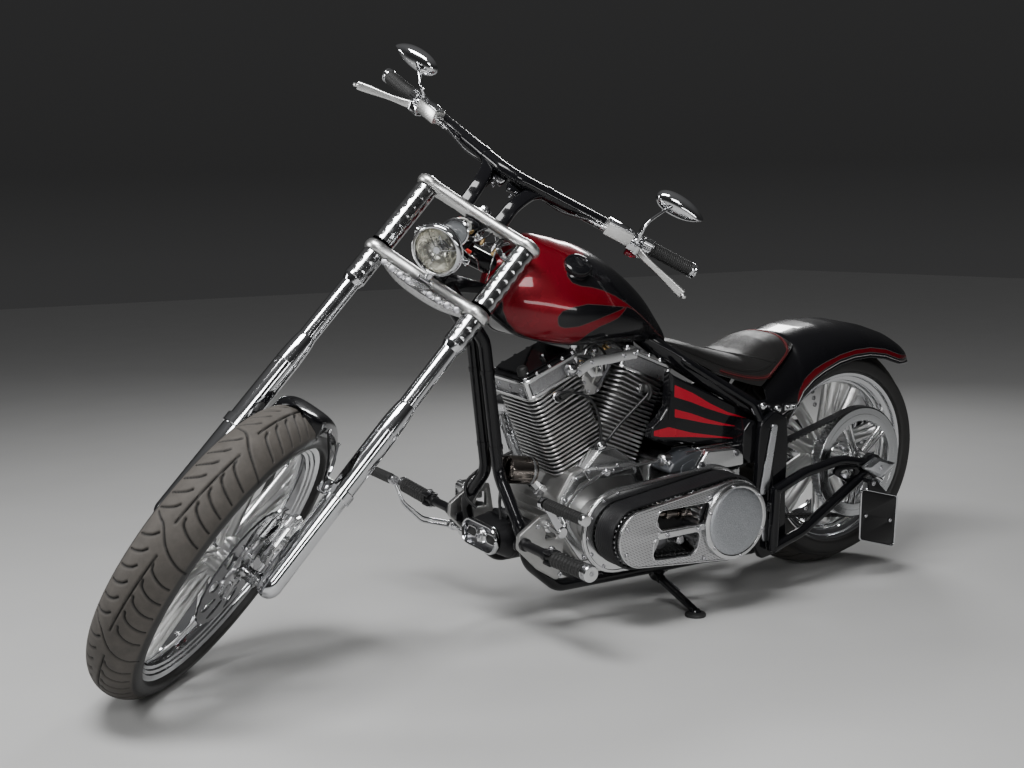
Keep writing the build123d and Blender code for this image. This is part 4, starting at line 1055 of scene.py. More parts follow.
g = Geo()
for sy in (1, -1):
    y = sy * LEG_HALF
    g.add(leg_lathe([(500, 21.5), (560, 21.5), (640, 21.5), (668, 21.5)], y, 48), "chrome")
    # covers with staggered shallow scallops, between the trees and a short way below
    for lo_, hi_ in ((796, 968), (690, 758)):
        rows = []
        for s_ in np.linspace(lo_, hi_, int((hi_ - lo_) / 2.2)):
            ang = np.arange(84) * 2 * np.pi / 84
            e = min(1.0, (s_ - lo_) / 10, (hi_ - s_) / 10)
            col = np.floor(ang / (2 * np.pi / 7)) % 2
            fi = 0.5 + 0.5 * np.cos(7 * ang - np.pi)
            ph = 0.5 + 0.5 * np.cos(2 * np.pi * s_ / 29.0 + np.pi * col)
            d_ = np.clip(fi * 1.25, 0, 1) * ph
            r = 27.6 - 0.95 * e * np.clip((d_ - 0.45) / 0.16, 0, 1)
            c = leg(s_, y)
            rows.append(c + np.outer(np.cos(ang) * r, LEG_FWD) + np.outer(np.sin(ang) * r, np.cross(LEG_DIR, LEG_FWD)))
        g.add(grid(np.array(rows), wrap_v=True), "chrome_dim")
    for s_ in (688,):
        g.add(leg_lathe([(s_ - 20, 20.3), (s_ - 14, 23.4), (s_ - 5, 26.0), (s_ - 3.5, 27.6), (s_ + 3.5, 27.8), (s_ + 5, 26.2), (s_ + 5, 24)], y, 48), "chrome")
    # top cap
    g.add(leg_lathe([(968, 21), (1000, 20), (1000, 0)], y, 40), "chrome")
piece("fork_tubes_skin", g, "steering", turn=True, replaces="fork_tubes", angle=30)


def tree_plate(s, t_mid, thick):
    """Outline of a fork tree in its own plane: local x = left, local y = back."""
    off = -float((leg(s) - S0) @ PERP)
    H = LEG_HALF
    o = []
    o += [(H + 33 * math.cos(a), off + 33 * math.sin(a)) for a in np.linspace(-2.2, 1.9, 20)]
    o += [(H - 44, off + 25), (86, off + 27), (60, off / 2 + 14)]
    o += [(37 * math.cos(a), 37 * math.sin(a)) for a in np.linspace(0.25, math.pi - 0.25, 16)]
    o += [(-60, off / 2 + 14), (-86, off + 27), (-H + 44, off + 25)]
    o += [(-H + 33 * math.cos(a), off + 33 * math.sin(a)) for a in np.linspace(math.pi - 1.9, math.pi + 2.2, 20)]
    o += [(-H + 40, off - 24), (-60, off - 21), (0, off - 19), (60, off - 21), (H - 40, off - 24)]
    vf = plate([np.array(o)], thick, thick * 0.485, 9)
    return place(vf, S0 + U * (t_mid - thick / 2), YAX, -PERP), off


g = Geo()
vf, off = tree_plate(LOWER_TREE_S, t_low, 34)
g.add(vf, "satin_alu")
base = S0 + U * t_low


def tr(x, y, z=0.0, t=t_low):
    return S0 + U * (t + z) + YAX * x - PERP * y


# dropped convex web under the lower tree
rows = []
for x in np.linspace(-112, 112, 41):
    e = max(0.0, 1 - (abs(x) / 118) ** 2.6)
    d = 24 * e
    sec = [(off - 21, -15), (off - 25 - 3 * e, -17 - 0.35 * d), (off - 22 - 2 * e, -17 - 0.8 * d), (off - 8, -17 - d), (off + 12, -17 - d), (off + 24, -17 - 0.75 * d), (off + 27, -15)]
    rows.append([tr(x, yy, zz) for yy, zz in sec])
g.add(grid(np.array(rows)), "hammered")
for sy in (1, -1):
    y = sy * LEG_HALF
    for k in range(4):
        xk = sy * (18 + 24 * k)
        e_ = 1 - (abs(xk) / 118) ** 2.6
        g.add(bolt(tr(xk, off - 25 - 3 * e_, -17 - 0.55 * 24 * e_), PERP, 4.6, 3.5), "bolt_steel")
        g.add(lathe([(0, 7.5), (1.2, 8), (1.6, 6.5), (1.6, 0)], tr(xk + sy * 12, off - 24 - 3 * e_, -17 - 0.5 * 24 * e_), PERP, 20), "dark_steel")
g.add(lathe([(-12, 14), (-12, 30), (-8, 34), (8, 34), (12, 30), (18, 20), (18, 14)], base, U, 48), "cast_bright")
g.add(lathe([(-22, 0), (-22, 10), (-18, 14), (-12, 14)], base, U, 32), "bolt_steel")
# stem inside the head
g.add(lathe([(18, 13.8), (t_up - t_low - 14, 13.8)], base, U, 32), "steel")
piece("lower_tree_skin", g, "steering", turn=True, replaces="lower_fork_tree", angle=35)

g = Geo()
vf, off_u = tree_plate(UPPER_TREE_S, t_up, 28)
g.add(vf, "satin_alu")
stem = S0 + U * (t_up + 14)
g.add(lathe([(-1, 26), (3, 26), (5, 24), (5, 16)], stem, U, 40), "polished")
g.add(chamfer(lathe([(0, 0), (4, 17), (17, 17), (17, 0)], stem, U, 6), 1.5, 2, 20), "chrome")
g.add(lathe([(17, 11), (21, 9), (23, 4), (23, 0)], stem, U, 24), "chrome")
piece("upper_tree_skin", g, "steering", turn=True, replaces="upper_fork_tree", angle=35)

# axle with scalloped spacers
g = Geo()
AX_END = LEG_HALF + 12
g.add(lathe([(-AX_END + 6, 0), (-AX_END + 6, 10), (-AX_END + 8, 11.8), (AX_END - 8, 11.8), (AX_END - 6, 10), (AX_END - 6, 0)], FRONT_AXLE, YAX, 32), "polished")
for sy, s0_ in ((1, 72.5), (-1, 67.5)):
    e = LEG_HALF - SLIDER_R + 0.5
    prof = [(s0_, 12), (s0_, 17), (s0_ + 2, 19), (s0_ + 7, 19), (s0_ + 9, 16.5), (s0_ + 15, 15.5), (e - 15, 15.5), (e - 9, 17), (e - 6, 19.3), (e - 1, 19.3), (e, 17), (e, 12)]
    g.add(lathe([(sy * a, r) for a, r in prof], FRONT_AXLE, YAX, 40), "chrome_dim")
piece("front_axle_skin", g, "steering", turn=True, replaces="front_axle", angle=34)

# headlight: deep chrome bowl, thick rim, clear lens, reflector, shielded bulb
g = Geo()
LAMP, LD = A(1345, -2, 998), unit((1, 0, -0.06))
shell = [(a_ * (0.62 if a_ < 0 else 1.0), r_ * 1.06) for a_, r_ in [(-92, 0), (-91, 12), (-87, 22), (-78, 33), (-66, 43), (-50, 50.5), (-34, 54), (-20, 55.4), (-14, 55.4), (-13, 57), (-10, 58.8), (-3, 58.8), (1.5, 57.2), (3.5, 54.2), (3.0, 51.2), (0.5, 49.6), (-2.5, 49.4)]]
g.add(lathe(shell, LAMP, LD, 96), "chrome")
refl = [(-4, 49), (-9, 47.5), (-18, 43), (-30, 34), (-38, 25), (-42, 15), (-43, 9), (-43, 0)]
V, F = lathe(refl, LAMP, LD, 96)
e1, e2, e3 = basis(LD)
rel = V - LAMP
ang = np.arctan2(rel @ e2, rel @ e1)
rr_ = np.hypot(rel @ e1, rel @ e2)
V = V + np.outer(0.35 * np.cos(ang * 14) * np.clip(rr_ / 49, 0, 1), e3)
V = LAMP + (V - LAMP) * np.array([1, 1.05, 1.05])
g.add((V, F), "reflector")
g.add(lathe([(-43, 10), (-36, 10), (-34, 8), (-34, 0)], LAMP, LD, 24), "dark_steel")
g.add(lathe([(-34, 6), (-20, 6.5), (-15, 5), (-13, 0)], LAMP, LD, 24), "bulb_glass")
g.add(lathe([(-22, 9.5), (-10, 9.5), (-8, 8), (-8, 0)], LAMP, LD, 32), "chrome")
for k in range(3):
    a = 2 * math.pi * k / 3 + 0.5
    p0 = LAMP + LD * -12 + (e1 * math.cos(a) + e2 * math.sin(a)) * 9
    p1 = LAMP + LD * -20 + (e1 * math.cos(a) + e2 * math.sin(a)) * 43
    g.add(sweep(np.array([p0, p1]), 1.2, 8), "chrome")
# visor lip
g.add(sweep(np.array([LAMP + LD * -11 + (e1 * math.cos(t_) + e2 * math.sin(t_)) * 62.6 for t_ in np.arange(96) * 2 * math.pi / 96]), 1.7, 8, closed=True), "chrome")
# bracket down to the lower tree and side ears
g.add(bent([A(1296, 0, 962), A(1303, 0, 930), A(1306, 0, 902)], 12, 10.5, 20), "chrome")
g.add(rbox(A(1304, 0, 905), (36, 44, 12), 3, 3), "chrome")
for sy in (1, -1):
    g.add(lathe([(0, 9), (8, 9), (10, 7), (16, 7), (17, 9.5), (22, 9.5), (23.5, 6), (23.5, 0)], LAMP + LD * -34 + YAX * sy * 50, YAX * sy, 24), "chrome")
V, F = lathe([(-2.6, 52.2), (-0.6, 47), (0.9, 36), (2.0, 21), (2.6, 8), (2.8, 0)], LAMP, LD, 96)
g.add((V, F), "lens")
piece("headlight_skin", g, "steering", turn=True, replaces="headlight", angle=34)

# second round instrument beside the lamp, with the connector bundle behind it
g = Geo()
gc = A(1298, 7, 1041)
GD = unit((0.95, 0.06, 0.22))
g.add(lathe([(-34, 0), (-33, 16), (-26, 26), (-10, 29), (-4, 29.5), (-3, 32), (0, 33.5), (4, 33), (5.5, 30), (4.5, 28), (1.5, 27.5)], gc, GD, 64), "chrome")
g.add(lathe([(1.4, 27.6), (1.2, 18), (1.3, 8), (2.6, 6.5), (2.6, 0)], gc, GD, 48), "gauge_face")
# connector bundle under the upper tree: plugs, sleeves, brass nipples and a white loop
rng = np.random.RandomState(3)
for k in range(15):
    yk = 6 + 7.2 * k + rng.uniform(-3, 3)
    c0 = A(1196 + rng.uniform(-8, 10) - 0.05 * k, yk, 1012 + rng.uniform(-9, 9))
    d = unit((rng.uniform(0.2, 1), rng.uniform(-0.7, 0.7), rng.uniform(-0.9, 0.3)))
    r0 = rng.uniform(4.0, 7.0)
    m_ = ("bolt_steel", "brass", "polished", "satin_black", "steel")[k % 5]
    g.add(lathe([(-9, 0), (-9, r0 * 0.7), (-4, r0 * 0.7), (-4, r0), (4, r0), (4, r0 * 0.8), (10, r0 * 0.8), (12, r0 * 0.4), (12, 0)], c0, d, 6 if k % 3 == 0 else 18), m_)
    g.add(sweep(smooth_path([c0 - d * 8, c0 - d * 18 + A(-6, 4, 4), c0 + A(-30, 6, 18)], 6), 1.9, 8), "wire_black")
g.add(sweep(smooth_path([(1206, -26, 1000), (1222, -34, 1018), (1226, -26, 1036), (1214, -10, 1044), (1200, 4, 1034), (1194, 10, 1018)], 8), 2.5, 10), "white_tube")
g.add(sweep(smooth_path([(1262, 30, 1000), (1240, 46, 985), (1212, 60, 972), (1186, 70, 940)], 8), 1.8, 8), "polished")
g.add(sweep(smooth_path([(1200, 88, 1010), (1214, 96, 985), (1206, 100, 955), (1180, 96, 920)], 8), 1.8, 8), "polished")
g.add(rbox(A(1240, 40, 992), (10, 14, 7), 2, 2), "wire_red")
g.add(rbox(A(1206, -22, 1034), (8, 8, 8), 2, 2), "wire_red")
g.add(sweep(smooth_path([(1262, -8, 1030), (1226, 10, 1014), (1190, 30, 1000), (1160, 40, 985)], 8), 5.0, 12), "wire_black")
piece("gauge_skin", g, "steering", turn=True, angle=34)

# front fender: thin rolled channel on the tyre's rear quarter
g = Geo()
rows = []
a0, a1 = 106.0, 157.5
HF, R1 = 58.0, FRONT_R + 8
n = 64
for k in range(n + 1):
    t = k / n
    a = math.radians(a0 + (a1 - a0) * t)
    cut = 1 - 0.5 * max(0, 1 - t / 0.10) ** 2 - 0.5 * max(0, (t - 0.90) / 0.10) ** 2
    hw = HF * (0.35 + 0.65 * math.sqrt(max(0.0, min(1.0, min(t, 1 - t) / 0.09 * 1.0))) if min(t, 1 - t) < 0.09 else 1.0)
    prof = [(-hw, R1 - 42 * (hw / HF) ** 2), (-hw * 0.995, R1 - 26 * (hw / HF)), (-hw * 0.93, R1 - 13), (-hw * 0.78, R1 - 5), (-hw * 0.5, R1 - 1), (0, R1), (hw * 0.5, R1 - 1), (hw * 0.78, R1 - 5), (hw * 0.93, R1 - 13), (hw * 0.995, R1 - 26 * (hw / HF)), (hw, R1 - 42 * (hw / HF) ** 2)]
    pp = smooth_path([(x, y, 0) for x, y in prof], 3)[:, :2]
    rows.append([FRONT_AXLE + A(r * math.cos(a), x, r * math.sin(a)) for x, r in pp])
P = np.array(rows)
cen = np.array([[FRONT_AXLE + A((FRONT_R - 25) * math.cos(math.radians(a0 + (a1 - a0) * k / n)), 0, (FRONT_R - 25) * math.sin(math.radians(a0 + (a1 - a0) * k / n)))] for k in range(n + 1)])
inw = cen - P
inw = inw / np.linalg.norm(inw, axis=2)[..., None]
g.add(grid(P), "gloss_black")
g.add(grid(P + inw * 2.6), "satin_black")
edge = np.concatenate([P[:, 0], P[-1, 1:], P[::-1, -1][1:], P[0, ::-1][1:-1]])
edge_in = edge + np.concatenate([inw[:, 0], inw[-1, 1:], inw[::-1, -1][1:], inw[0, ::-1][1:-1]]) * 1.3
g.add(sweep(edge_in, 2.1, 10, closed=True), "gloss_black")
for sy in (1, -1):
    clamp = leg(252, sy * (LEG_HALF - SLIDER_R - 9), -4)
    fr_ = cols(LEG_DIR, YAX, np.cross(LEG_DIR, YAX))
    g.add(rbox(clamp, (36, 24, 26), 3, 3, fr_), "chrome")
    g.add(leg_lathe([(240, 27.7), (240, 30.5), (242, 32), (262, 32), (264, 30.5), (264, 27.7)], sy * LEG_HALF, 48), "chrome")
    for q in (-10, 10):
        g.add(bolt(clamp + LEG_DIR * q - LEG_FWD * 13, -LEG_FWD, 4.4, 4.5), "bolt_steel")
    am = math.radians(143)
    tip = FRONT_AXLE + A(math.cos(am), 0, math.sin(am)) * (FRONT_R - 14) + A(0, sy * 62.5, 0)
    up = FRONT_AXLE + A(math.cos(math.radians(118)), 0, math.sin(math.radians(118))) * (FRONT_R - 16) + A(0, sy * 62.5, 0)
    mid = (clamp + tip) / 2 + A(0, -sy * 2, 0)
    path = smooth_path([clamp - LEG_DIR * 2 + A(0, -sy * 6, 0), clamp * 0.65 + tip * 0.35 + A(0, -sy * 1, 10), tip], 8)
    sec = np.array([(-6.5, -2.2), (-6.5, 2.2), (-5.5, 3.0), (5.5, 3.0), (6.5, 2.2), (6.5, -2.2), (5.5, -3.0), (-5.5, -3.0)])
    g.add(sweep(path, 1.0, section=sec, up=A(0.7, 0, 0.7)), "chrome")
    path = smooth_path([clamp + A(0, -sy * 6, 0), clamp * 0.5 + up * 0.5 + A(0, sy * 3, 4), up], 8)
    g.add(sweep(path, 1.0, section=sec * 0.9, up=A(0.7, 0, 0.7)), "gloss_black")
    for p in (tip, up):
        g.add(bolt(p + A(0, sy * 1.5, 0), YAX * sy, 5.2, 4.0, dome=True), "chrome")
piece("front_fender_skin", g, "steering", turn=True, replaces="front_fender", angle=36)

# front caliper: six-piston body and a chrome cover
g = Geo()
CC = leg(108.0, 64.6 + 9, -64.0)
fr_ = cols(LEG_DIR, LEG_FWD, np.cross(LEG_DIR, LEG_FWD))
o = round2([(-64, -28), (-46, -32), (46, -32), (64, -26), (66, 4), (52, 26), (24, 30), (-24, 30), (-52, 26), (-66, 4)], 9)


def cal_place(vf, y0):
    V, F = vf
    return CC + V[:, :1] * LEG_DIR + V[:, 1:2] * LEG_FWD + A(0, 1, 0) * (V[:, 2:] + y0 - CC[1]), F


g.add(cal_place(plate([o], 20, 4, 3), 75.5), "polished")
g.add(cal_place(plate([o * 0.97], 15, 3, 2), 45.0), "polished")
g.add(rbox(CC + LEG_FWD * -24 + A(0, -6, 0), (118, 16, 48), 4, 3, fr_), "polished")
for k in (-36, 0, 36):
    c0 = CC + LEG_DIR * k + LEG_FWD * -1 + A(0, 95.5 - CC[1], 0)
    g.add(lathe([(-1, 16), (1.5, 16), (3, 14.5), (3, 12), (1.5, 11), (1.5, 0)], c0, YAX, 32), "chrome")
for k in (-56, 56):
    g.add(bolt(CC + LEG_DIR * k + LEG_FWD * -12 + A(0, 95.5 - CC[1], 0), YAX, 6, 6), "bolt_steel")
m0, m1 = leg(108, LEG_HALF - 12, -10), CC + LEG_FWD * 14 + A(0, 24, 0)
g.add(sweep(smooth_path([m0, (m0 + m1) / 2 + A(0, 4, 0), m1], 6), [15, 14, 13, 12, 12, 11, 11, 11, 11, 11, 11, 11, 11][:13], 20), "polished")
piece("front_caliper_skin", g, "steering", turn=True, replaces="front_brake_caliper", angle=34)


# ------------------------------------------------------------------ handlebar and hand controls
BAR_MID, BAR_R, GRIP_END = A(1054, 0, 1133), 17.0, A(817, 464, 1085)
bar_dir = unit(GRIP_END - BAR_MID)


def bdir(sy):
    return A(bar_dir[0], sy * bar_dir[1], bar_dir[2])


def on_bar(d, sy, fwd=0.0, up=0.0):
    b = bdir(sy)
    f = unit(A(bar_dir[1], -sy * bar_dir[0], 0))
    f = f if f[0] > 0 else -f
    return BAR_MID + b * d + f * fwd + A(0, 0, up)


def bar_frame(sy):
    """Columns: along the bar, forward, up."""
    b = bdir(sy)
    f = unit(A(bar_dir[1], -sy * bar_dir[0], 0))
    f = f if f[0] > 0 else -f
    u_ = unit(np.cross(b, f))
    if u_[2] < 0:
        u_ = -u_
    return b, f, u_


g = Geo()
pts = [on_bar(322, -1), on_bar(30, -1), on_bar(30, 1), on_bar(322, 1)]
g.add(sweep(fillet_path(pts, [60, 60], 14), BAR_R, 40), "gloss_black")
for sy in (1, -1):
    g.add(lathe([(318, 17.0), (320, 16), (322, 12.5), (404, 12.5), (406, 11), (528, 11), (528, 0)], BAR_MID, bdir(sy), 32), "steel")
    # flat curved riser with a heart-shaped gusset against the bar
    base = S0 + U * (t_up + 13) + A(0, sy * 48, 0)
    b, f, u_ = bar_frame(sy)
    p3 = on_bar(92, sy, -1, -2)
    path = smooth_path([base, base + U * 26 + A(0, sy * 1, 0), base + U * 62 + A(0, sy * 3, 0), (base + U * 62) * 0.40 + p3 * 0.60 + A(0, -sy * 6, 4), p3], 8)
    sec = round2([(-17, -9), (17, -9), (17, 9), (-17, 9)], 6, 4)
    taper = np.linspace(1.08, 0.92, len(path))
    g.add(sweep(path, taper, section=sec, up=YAX), "gloss_black")
    g.add(lathe([(-1, 24), (3, 24), (5, 22), (6, 17)], base, U, 40), "gloss_black")
    # web between riser and bar
    q = [on_bar(3, sy, 0, -10), on_bar(88, sy, 0, -12), base * 0.40 + on_bar(80, sy) * 0.60 + A(0, sy * 1, -2), base * 0.56 + on_bar(52, sy) * 0.44 + A(0, -sy * 4, 0), on_bar(30, sy, 0, -44), on_bar(3, sy, 0, -54)]
    q = np.array(q)
    c = q.mean(0)
    nrm = unit(np.cross(q[1] - q[0], q[3] - q[0]))
    ex = unit(q[1] - q[0]); ey = np.cross(nrm, ex)
    o = round2([((p - c) @ ex, (p - c) @ ey) for p in q], 10, 5)
    vf = place(plate([o], 9, 2.5, 2), c - nrm * 4.5, ex, ey)
    g.add(vf, "gloss_black")
    for k in range(6):
        p = c + ex * (-24 + 9.5 * k) + ey * (7 if k % 2 else -5)
        for sd in (1, -1):
            g.add(bolt(p + nrm * sd * 4.3, nrm * sd, 3.2, 2.4), "bolt_steel")
    # clamp collar, and on the outer half thin polished strips laid on the bar: painted highlights standing for the
    # reflection lines on the gloss black bar
    g.add(lathe([(96, 17), (97, 18.6), (112, 18.8), (113, 17)], BAR_MID, bdir(sy), 40), "gloss_black")
    for (fw, up) in ((15.8, 6.6), (16.2, -6.0)):
        pts = [on_bar(t_, sy, fw, up) for t_ in (186, 230, 270, 312)]
        g.add(sweep(np.array(pts), 1.3, 8), "polished")
piece("handlebar_skin", g, "steering", turn=True, replaces="handlebar", angle=34)

g = Geo()
for sy in (1, -1):
    b, f, u_ = bar_frame(sy)
    prof = [(404, 12), (404, 18.6), (407, 19.2), (410, 18.0)]
    x = 412
    while x < 520:
        prof += [(x, 17.4), (x + 0.8, 18.2), (x + 3.6, 18.2), (x + 4.4, 17.4)]
        x += 5.4
    prof += [(520, 17.6), (524, 17.6)]
    g.add(lathe(prof, BAR_MID, b, 48), "rubber")
    g.add(knurl([(523, 12), (523, 18.2), (525, 19.4), (528, 19.4), (529.5, 17.8), (531.5, 17.8), (533, 19.2), (537, 19.0), (539, 17), (540, 12), (540, 0)], BAR_MID, b, 60, 20, 0.0, 0, 1), "chrome")
piece("grips_skin", g, "steering", turn=True, replaces="grips", angle=38)

g = Geo()
for sy in (1, -1):
    b, f, u_ = bar_frame(sy)
    fr_ = cols(b, f, u_)
    # clamp round the bar, master cylinder block with bevelled faces and a lid
    g.add(lathe([(318, 17.3), (318, 20.5), (320, 21.5), (345, 21.5), (347, 20.5), (347, 12)], BAR_MID, b, 48), "chrome")
    g.add(rbox(on_bar(332, sy, 20, 0), (28, 26, 28), 3, 3, fr_), "chrome")
    for k in (-8, 8):
        g.add(bolt(on_bar(332 + k, sy, -20.5, 0), -f, 4, 3.5), "bolt_steel")
    g.add(rbox(on_bar(296, sy, 40, 14), (74, 34, 34), 3.4, 2, fr_), "satin_alu")
    g.add(rbox(on_bar(296, sy, 40, 32.5), (67, 29, 4), 1.4, 2, fr_), "chrome")
    for kx in (-26, 26):
        g.add(bolt(on_bar(296 + kx, sy, 40, 34.5), u_, 3.0, 1.8), "bolt_steel")
    g.add(lathe([(333, 0), (333, 12), (352, 12), (355, 10), (358, 6), (358, 0)], on_bar(0, sy, 38, 4), b, 32), "chrome")
    # hose fitting pointing inwards
    g.add(lathe([(0, 0), (0, 7.5), (8, 7.5), (10, 5.5), (18, 5.5), (20, 7), (28, 7), (30, 4.2), (44, 4.0)], on_bar(260, sy, 38, 6), -b, 20), "chrome")
    g.add(sweep(smooth_path([on_bar(218, sy, 38, 6), on_bar(190, sy, 30, -4), on_bar(150, sy, 18, -16), on_bar(104, sy, 2, -19)], 8), 3.4, 12), "wire_black")
    # pivot boss, long gently curved lever blade with a hooked tip
    pv = on_bar(356, sy, 46, 0)
    g.add(lathe([(-13, 0), (-13, 10), (-11, 12), (11, 12), (13, 10), (13, 0)], pv, u_, 28), "chrome")
    g.add(bolt(pv + u_ * 13, u_, 5, 3.5), "bolt_steel")
    g.add(rbox((pv + on_bar(332, sy, 44, 0)) / 2, (34, 24, 18), 3, 3, fr_), "chrome")
    tip = A(934, sy * 491, 1065)
    ctl = [pv, pv * 0.84 + tip * 0.16 + f * 7, pv * 0.62 + tip * 0.38 + f * 5, pv * 0.36 + tip * 0.64 + f * 1, pv * 0.12 + tip * 0.88 + f * 0, tip]
    path = smooth_path(ctl, 8)
    tt = np.linspace(0, 1, len(path))
    wid = 10.5 - 3.0 * np.sin(np.clip(tt * 1.25, 0, 1) * math.pi) ** 2 + 0.8 * tt
    sec = round2([(-1.0, -0.48), (1.0, -0.48), (1.0, 0.48), (-1.0, 0.48)], 0.42, 4)
    g.add(sweep(path, wid, section=sec, up=u_, dome=3.0), "satin_alu")
    dt = unit(tip - ctl[-2])
    g.add(sweep(smooth_path([tip - dt * 6, tip + dt * 2 + f * 3, tip + dt * 5 + f * 9], 5), 5.2, 12, dome=3.0), "satin_alu")
    # switch and throttle housing beside the grip, knurled wheel
    g.add(lathe([(362, 12), (362, 19), (364, 20.5), (378, 20.5), (380, 18.5), (384, 18.5), (386, 20.5), (400, 20.5), (402, 19), (402, 12)], BAR_MID, b, 48), "chrome")
    g.add(knurl([(-14, 0), (-14, 12), (-12, 15), (12, 15), (14, 12), (14, 6), (20, 6), (20, 0)], on_bar(382, sy, 22, 16), b, 60, 15, 0.10, -12, 12), "chrome")
    g.add(rbox(on_bar(380, sy, 6, -24), (34, 22, 18), 4, 3, fr_), "chrome")
    for k in (-8, 0, 8):
        g.add(lathe([(0, 3.4), (3, 3.4), (4, 2.4), (4, 0)], on_bar(380 + k, sy, -5, -26), -f, 14), "satin_black")
# red element at the left lever's root
b, f, u_ = bar_frame(1)
g.add(chamfer(lathe([(0, 0), (0, 8), (22, 8), (22, 0)], on_bar(334, 1, 46, -20), b, 8), 1.6, 2, 20), "red_lens")
g.add(lathe([(22, 0), (22, 5), (30, 4), (30, 0)], on_bar(334, 1, 46, -20), b, 16), "red_lens")
piece("hand_controls_skin", g, "steering", turn=True, replaces="hand_controls", angle=34)

# oval mirrors on curved blade stems
g = Geo()
FACE = {1: A(838, 366, 1213), -1: A(876, -402, 1186)}
for sy in (1, -1):
    face = FACE[sy]
    n_ = unit(A(-1, -sy * 0.12, 0.1))
    ex = unit(YAX - n_ * (YAX @ n_))
    ey = np.cross(n_, ex)
    if ey[2] < 0:
        ey = -ey
    rows = []
    m = 60
    for (d, sx, sz) in ((11.6, 0.0, 0.0), (11.4, 0.55, 0.55), (10.8, 0.90, 0.88), (11.8, 0.93, 0.91), (12.0, 0.97, 0.96), (10.5, 1.0, 1.0), (6, 1.0, 1.0), (0, 0.985, 0.97), (-6, 0.93, 0.88), (-11, 0.82, 0.72), (-15, 0.6, 0.5), (-17.5, 0.32, 0.26), (-18, 0.0, 0.0)):
        ang = np.arange(m) * 2 * np.pi / m
        # teardrop: blunt at the inner end, drawn out at the outer end
        px_ = 66 * np.cos(ang) * sx
        out_ = np.cos(ang) * sy
        pz_ = 27 * np.sign(np.sin(ang)) * np.abs(np.sin(ang)) ** (1 + 0.55 * np.clip(out_, 0, 1)) * sz * (1.0 - 0.22 * out_)
        rows.append(face + np.outer(px_, ex) + np.outer(pz_, ey) + n_ * d)
    V, F = grid(np.array(rows), wrap_v=True)
    k0 = [i for i, f_ in enumerate(F) if max(f_) < 3 * m]
    glass = [F[i] for i in k0]
    rest = [f_ for i, f_ in enumerate(F) if max(f_) >= 3 * m]
    g.add((V, rest), "chrome")
    g.add((V, glass), "mirror_glass")
    root = on_bar(352, sy, 34, 14)
    end = face - n_ * 12 + ex * (-sy * 20) - ey * 4
    # rises almost straight, then bows over to the mirror's back
    path = smooth_path([root, root + A(4, -sy * 2, 26), root * 0.62 + end * 0.38 + A(20, -sy * 10, 16), root * 0.25 + end * 0.75 + A(14, -sy * 4, 12), end], 8)
    tt = np.linspace(0, 1, len(path))
    sec = round2([(-1.0, -0.36), (1.0, -0.36), (1.0, 0.36), (-1.0, 0.36)], 0.3, 4)
    g.add(sweep(path, 12.5 - 4.5 * tt + 2.5 * np.exp(-((tt - 1) / 0.08) ** 2), section=sec, up=f), "chrome")
    g.add(lathe([(-6, 0), (-6, 9), (-4, 10.5), (4, 10.5), (6, 9), (6, 0)], root, u_, 24), "chrome")
    g.add(lathe([(0, 0), (0, 8), (3, 9.5), (10, 9.5), (12, 7), (12, 0)], end - n_ * 2, n_, 24), "chrome")
piece("mirrors_skin", g, "steering", turn=True, replaces="mirrors", angle=34)


# ------------------------------------------------------------------ tank
TANK = np.array([  # x, z_low, z_wide, z_top, half_width, half_bottom
    (1122, 822, 842, 868, 14, 6), (1114, 800, 832, 905, 36, 16), (1095, 780, 825, 939, 58, 28), (1062, 752, 818, 962, 84, 46), (1010, 735, 808, 989, 112, 68),
    (960, 726, 802, 983, 134, 84), (915, 722, 799, 972, 144, 93), (870, 722, 796, 960, 148, 96), (810, 720, 789, 934, 140, 90), (750, 718, 774, 896, 126, 78),
    (700, 712, 757, 858, 104, 64), (660, 704, 742, 822, 80, 50), (625, 695, 721, 782, 60, 39), (592, 684, 700, 738, 44, 30), (584, 684, 697, 722, 24, 18)], float)


def tank_row(x):
    xs = TANK[::-1, 0]
    return [float(np.interp(x, xs, TANK[::-1, k])) for k in range(1, 6)]


def tank_smooth(n):
    out = []
    for k in range(6):
        col = smooth_path(np.stack([TANK[:, 0], TANK[:, k], np.zeros(len(TANK))], 1), n)
        out.append(col)
    return np.stack([out[0][:, 0]] + [o[:, 1] for o in out[1:]], 1)


def tank_pt(row, v):
    """v 0 at the bottom centre line, 1 at the crest; left side."""
    x, zl, zw, zt, w, wb = row
    if v < 0.18:
        return A(x, wb * v / 0.18, zl)
    if v < 0.45:
        p = (v - 0.18) / 0.27 * math.pi / 2
        return A(x, wb + (w - wb) * math.sin(p) ** (2 / 2.1), zw - (zw - zl) * math.cos(p) ** (2 / 2.1))
    p = (v - 0.45) / 0.55 * math.pi / 2
    return A(x, w * max(0.0, math.cos(p)) ** (2 / 1.72), zw + (zt - zw) * math.sin(p) ** (2 / 1.72))


def poly_sd(P, poly):
    """Signed distance of points (n,2) to a closed polygon, positive inside."""
    poly = np.asarray(poly, float)
    d = np.full(len(P), 1e9)
    inside = np.zeros(len(P), bool)
    for i in range(len(poly)):
        a, b = poly[i], poly[(i + 1) % len(poly)]
        ab = b - a
        t = np.clip(((P - a) @ ab) / (ab @ ab), 0, 1)
        d = np.minimum(d, np.linalg.norm(P - a - t[:, None] * ab, axis=1))
        c = ((a[1] > P[:, 1]) != (b[1] > P[:, 1]))
        with np.errstate(divide="ignore", invalid="ignore"):
            xi = a[0] + (P[:, 1] - a[1]) / (b[1] - a[1] if b[1] != a[1] else 1e-9) * ab[0]
        inside ^= c & (P[:, 0] < xi)
    return np.where(inside, d, -d)


def smooth2(pts, n=6):
    return smooth_path([(x, y, 0) for x, y in pts], n, closed=True)[:, :2]


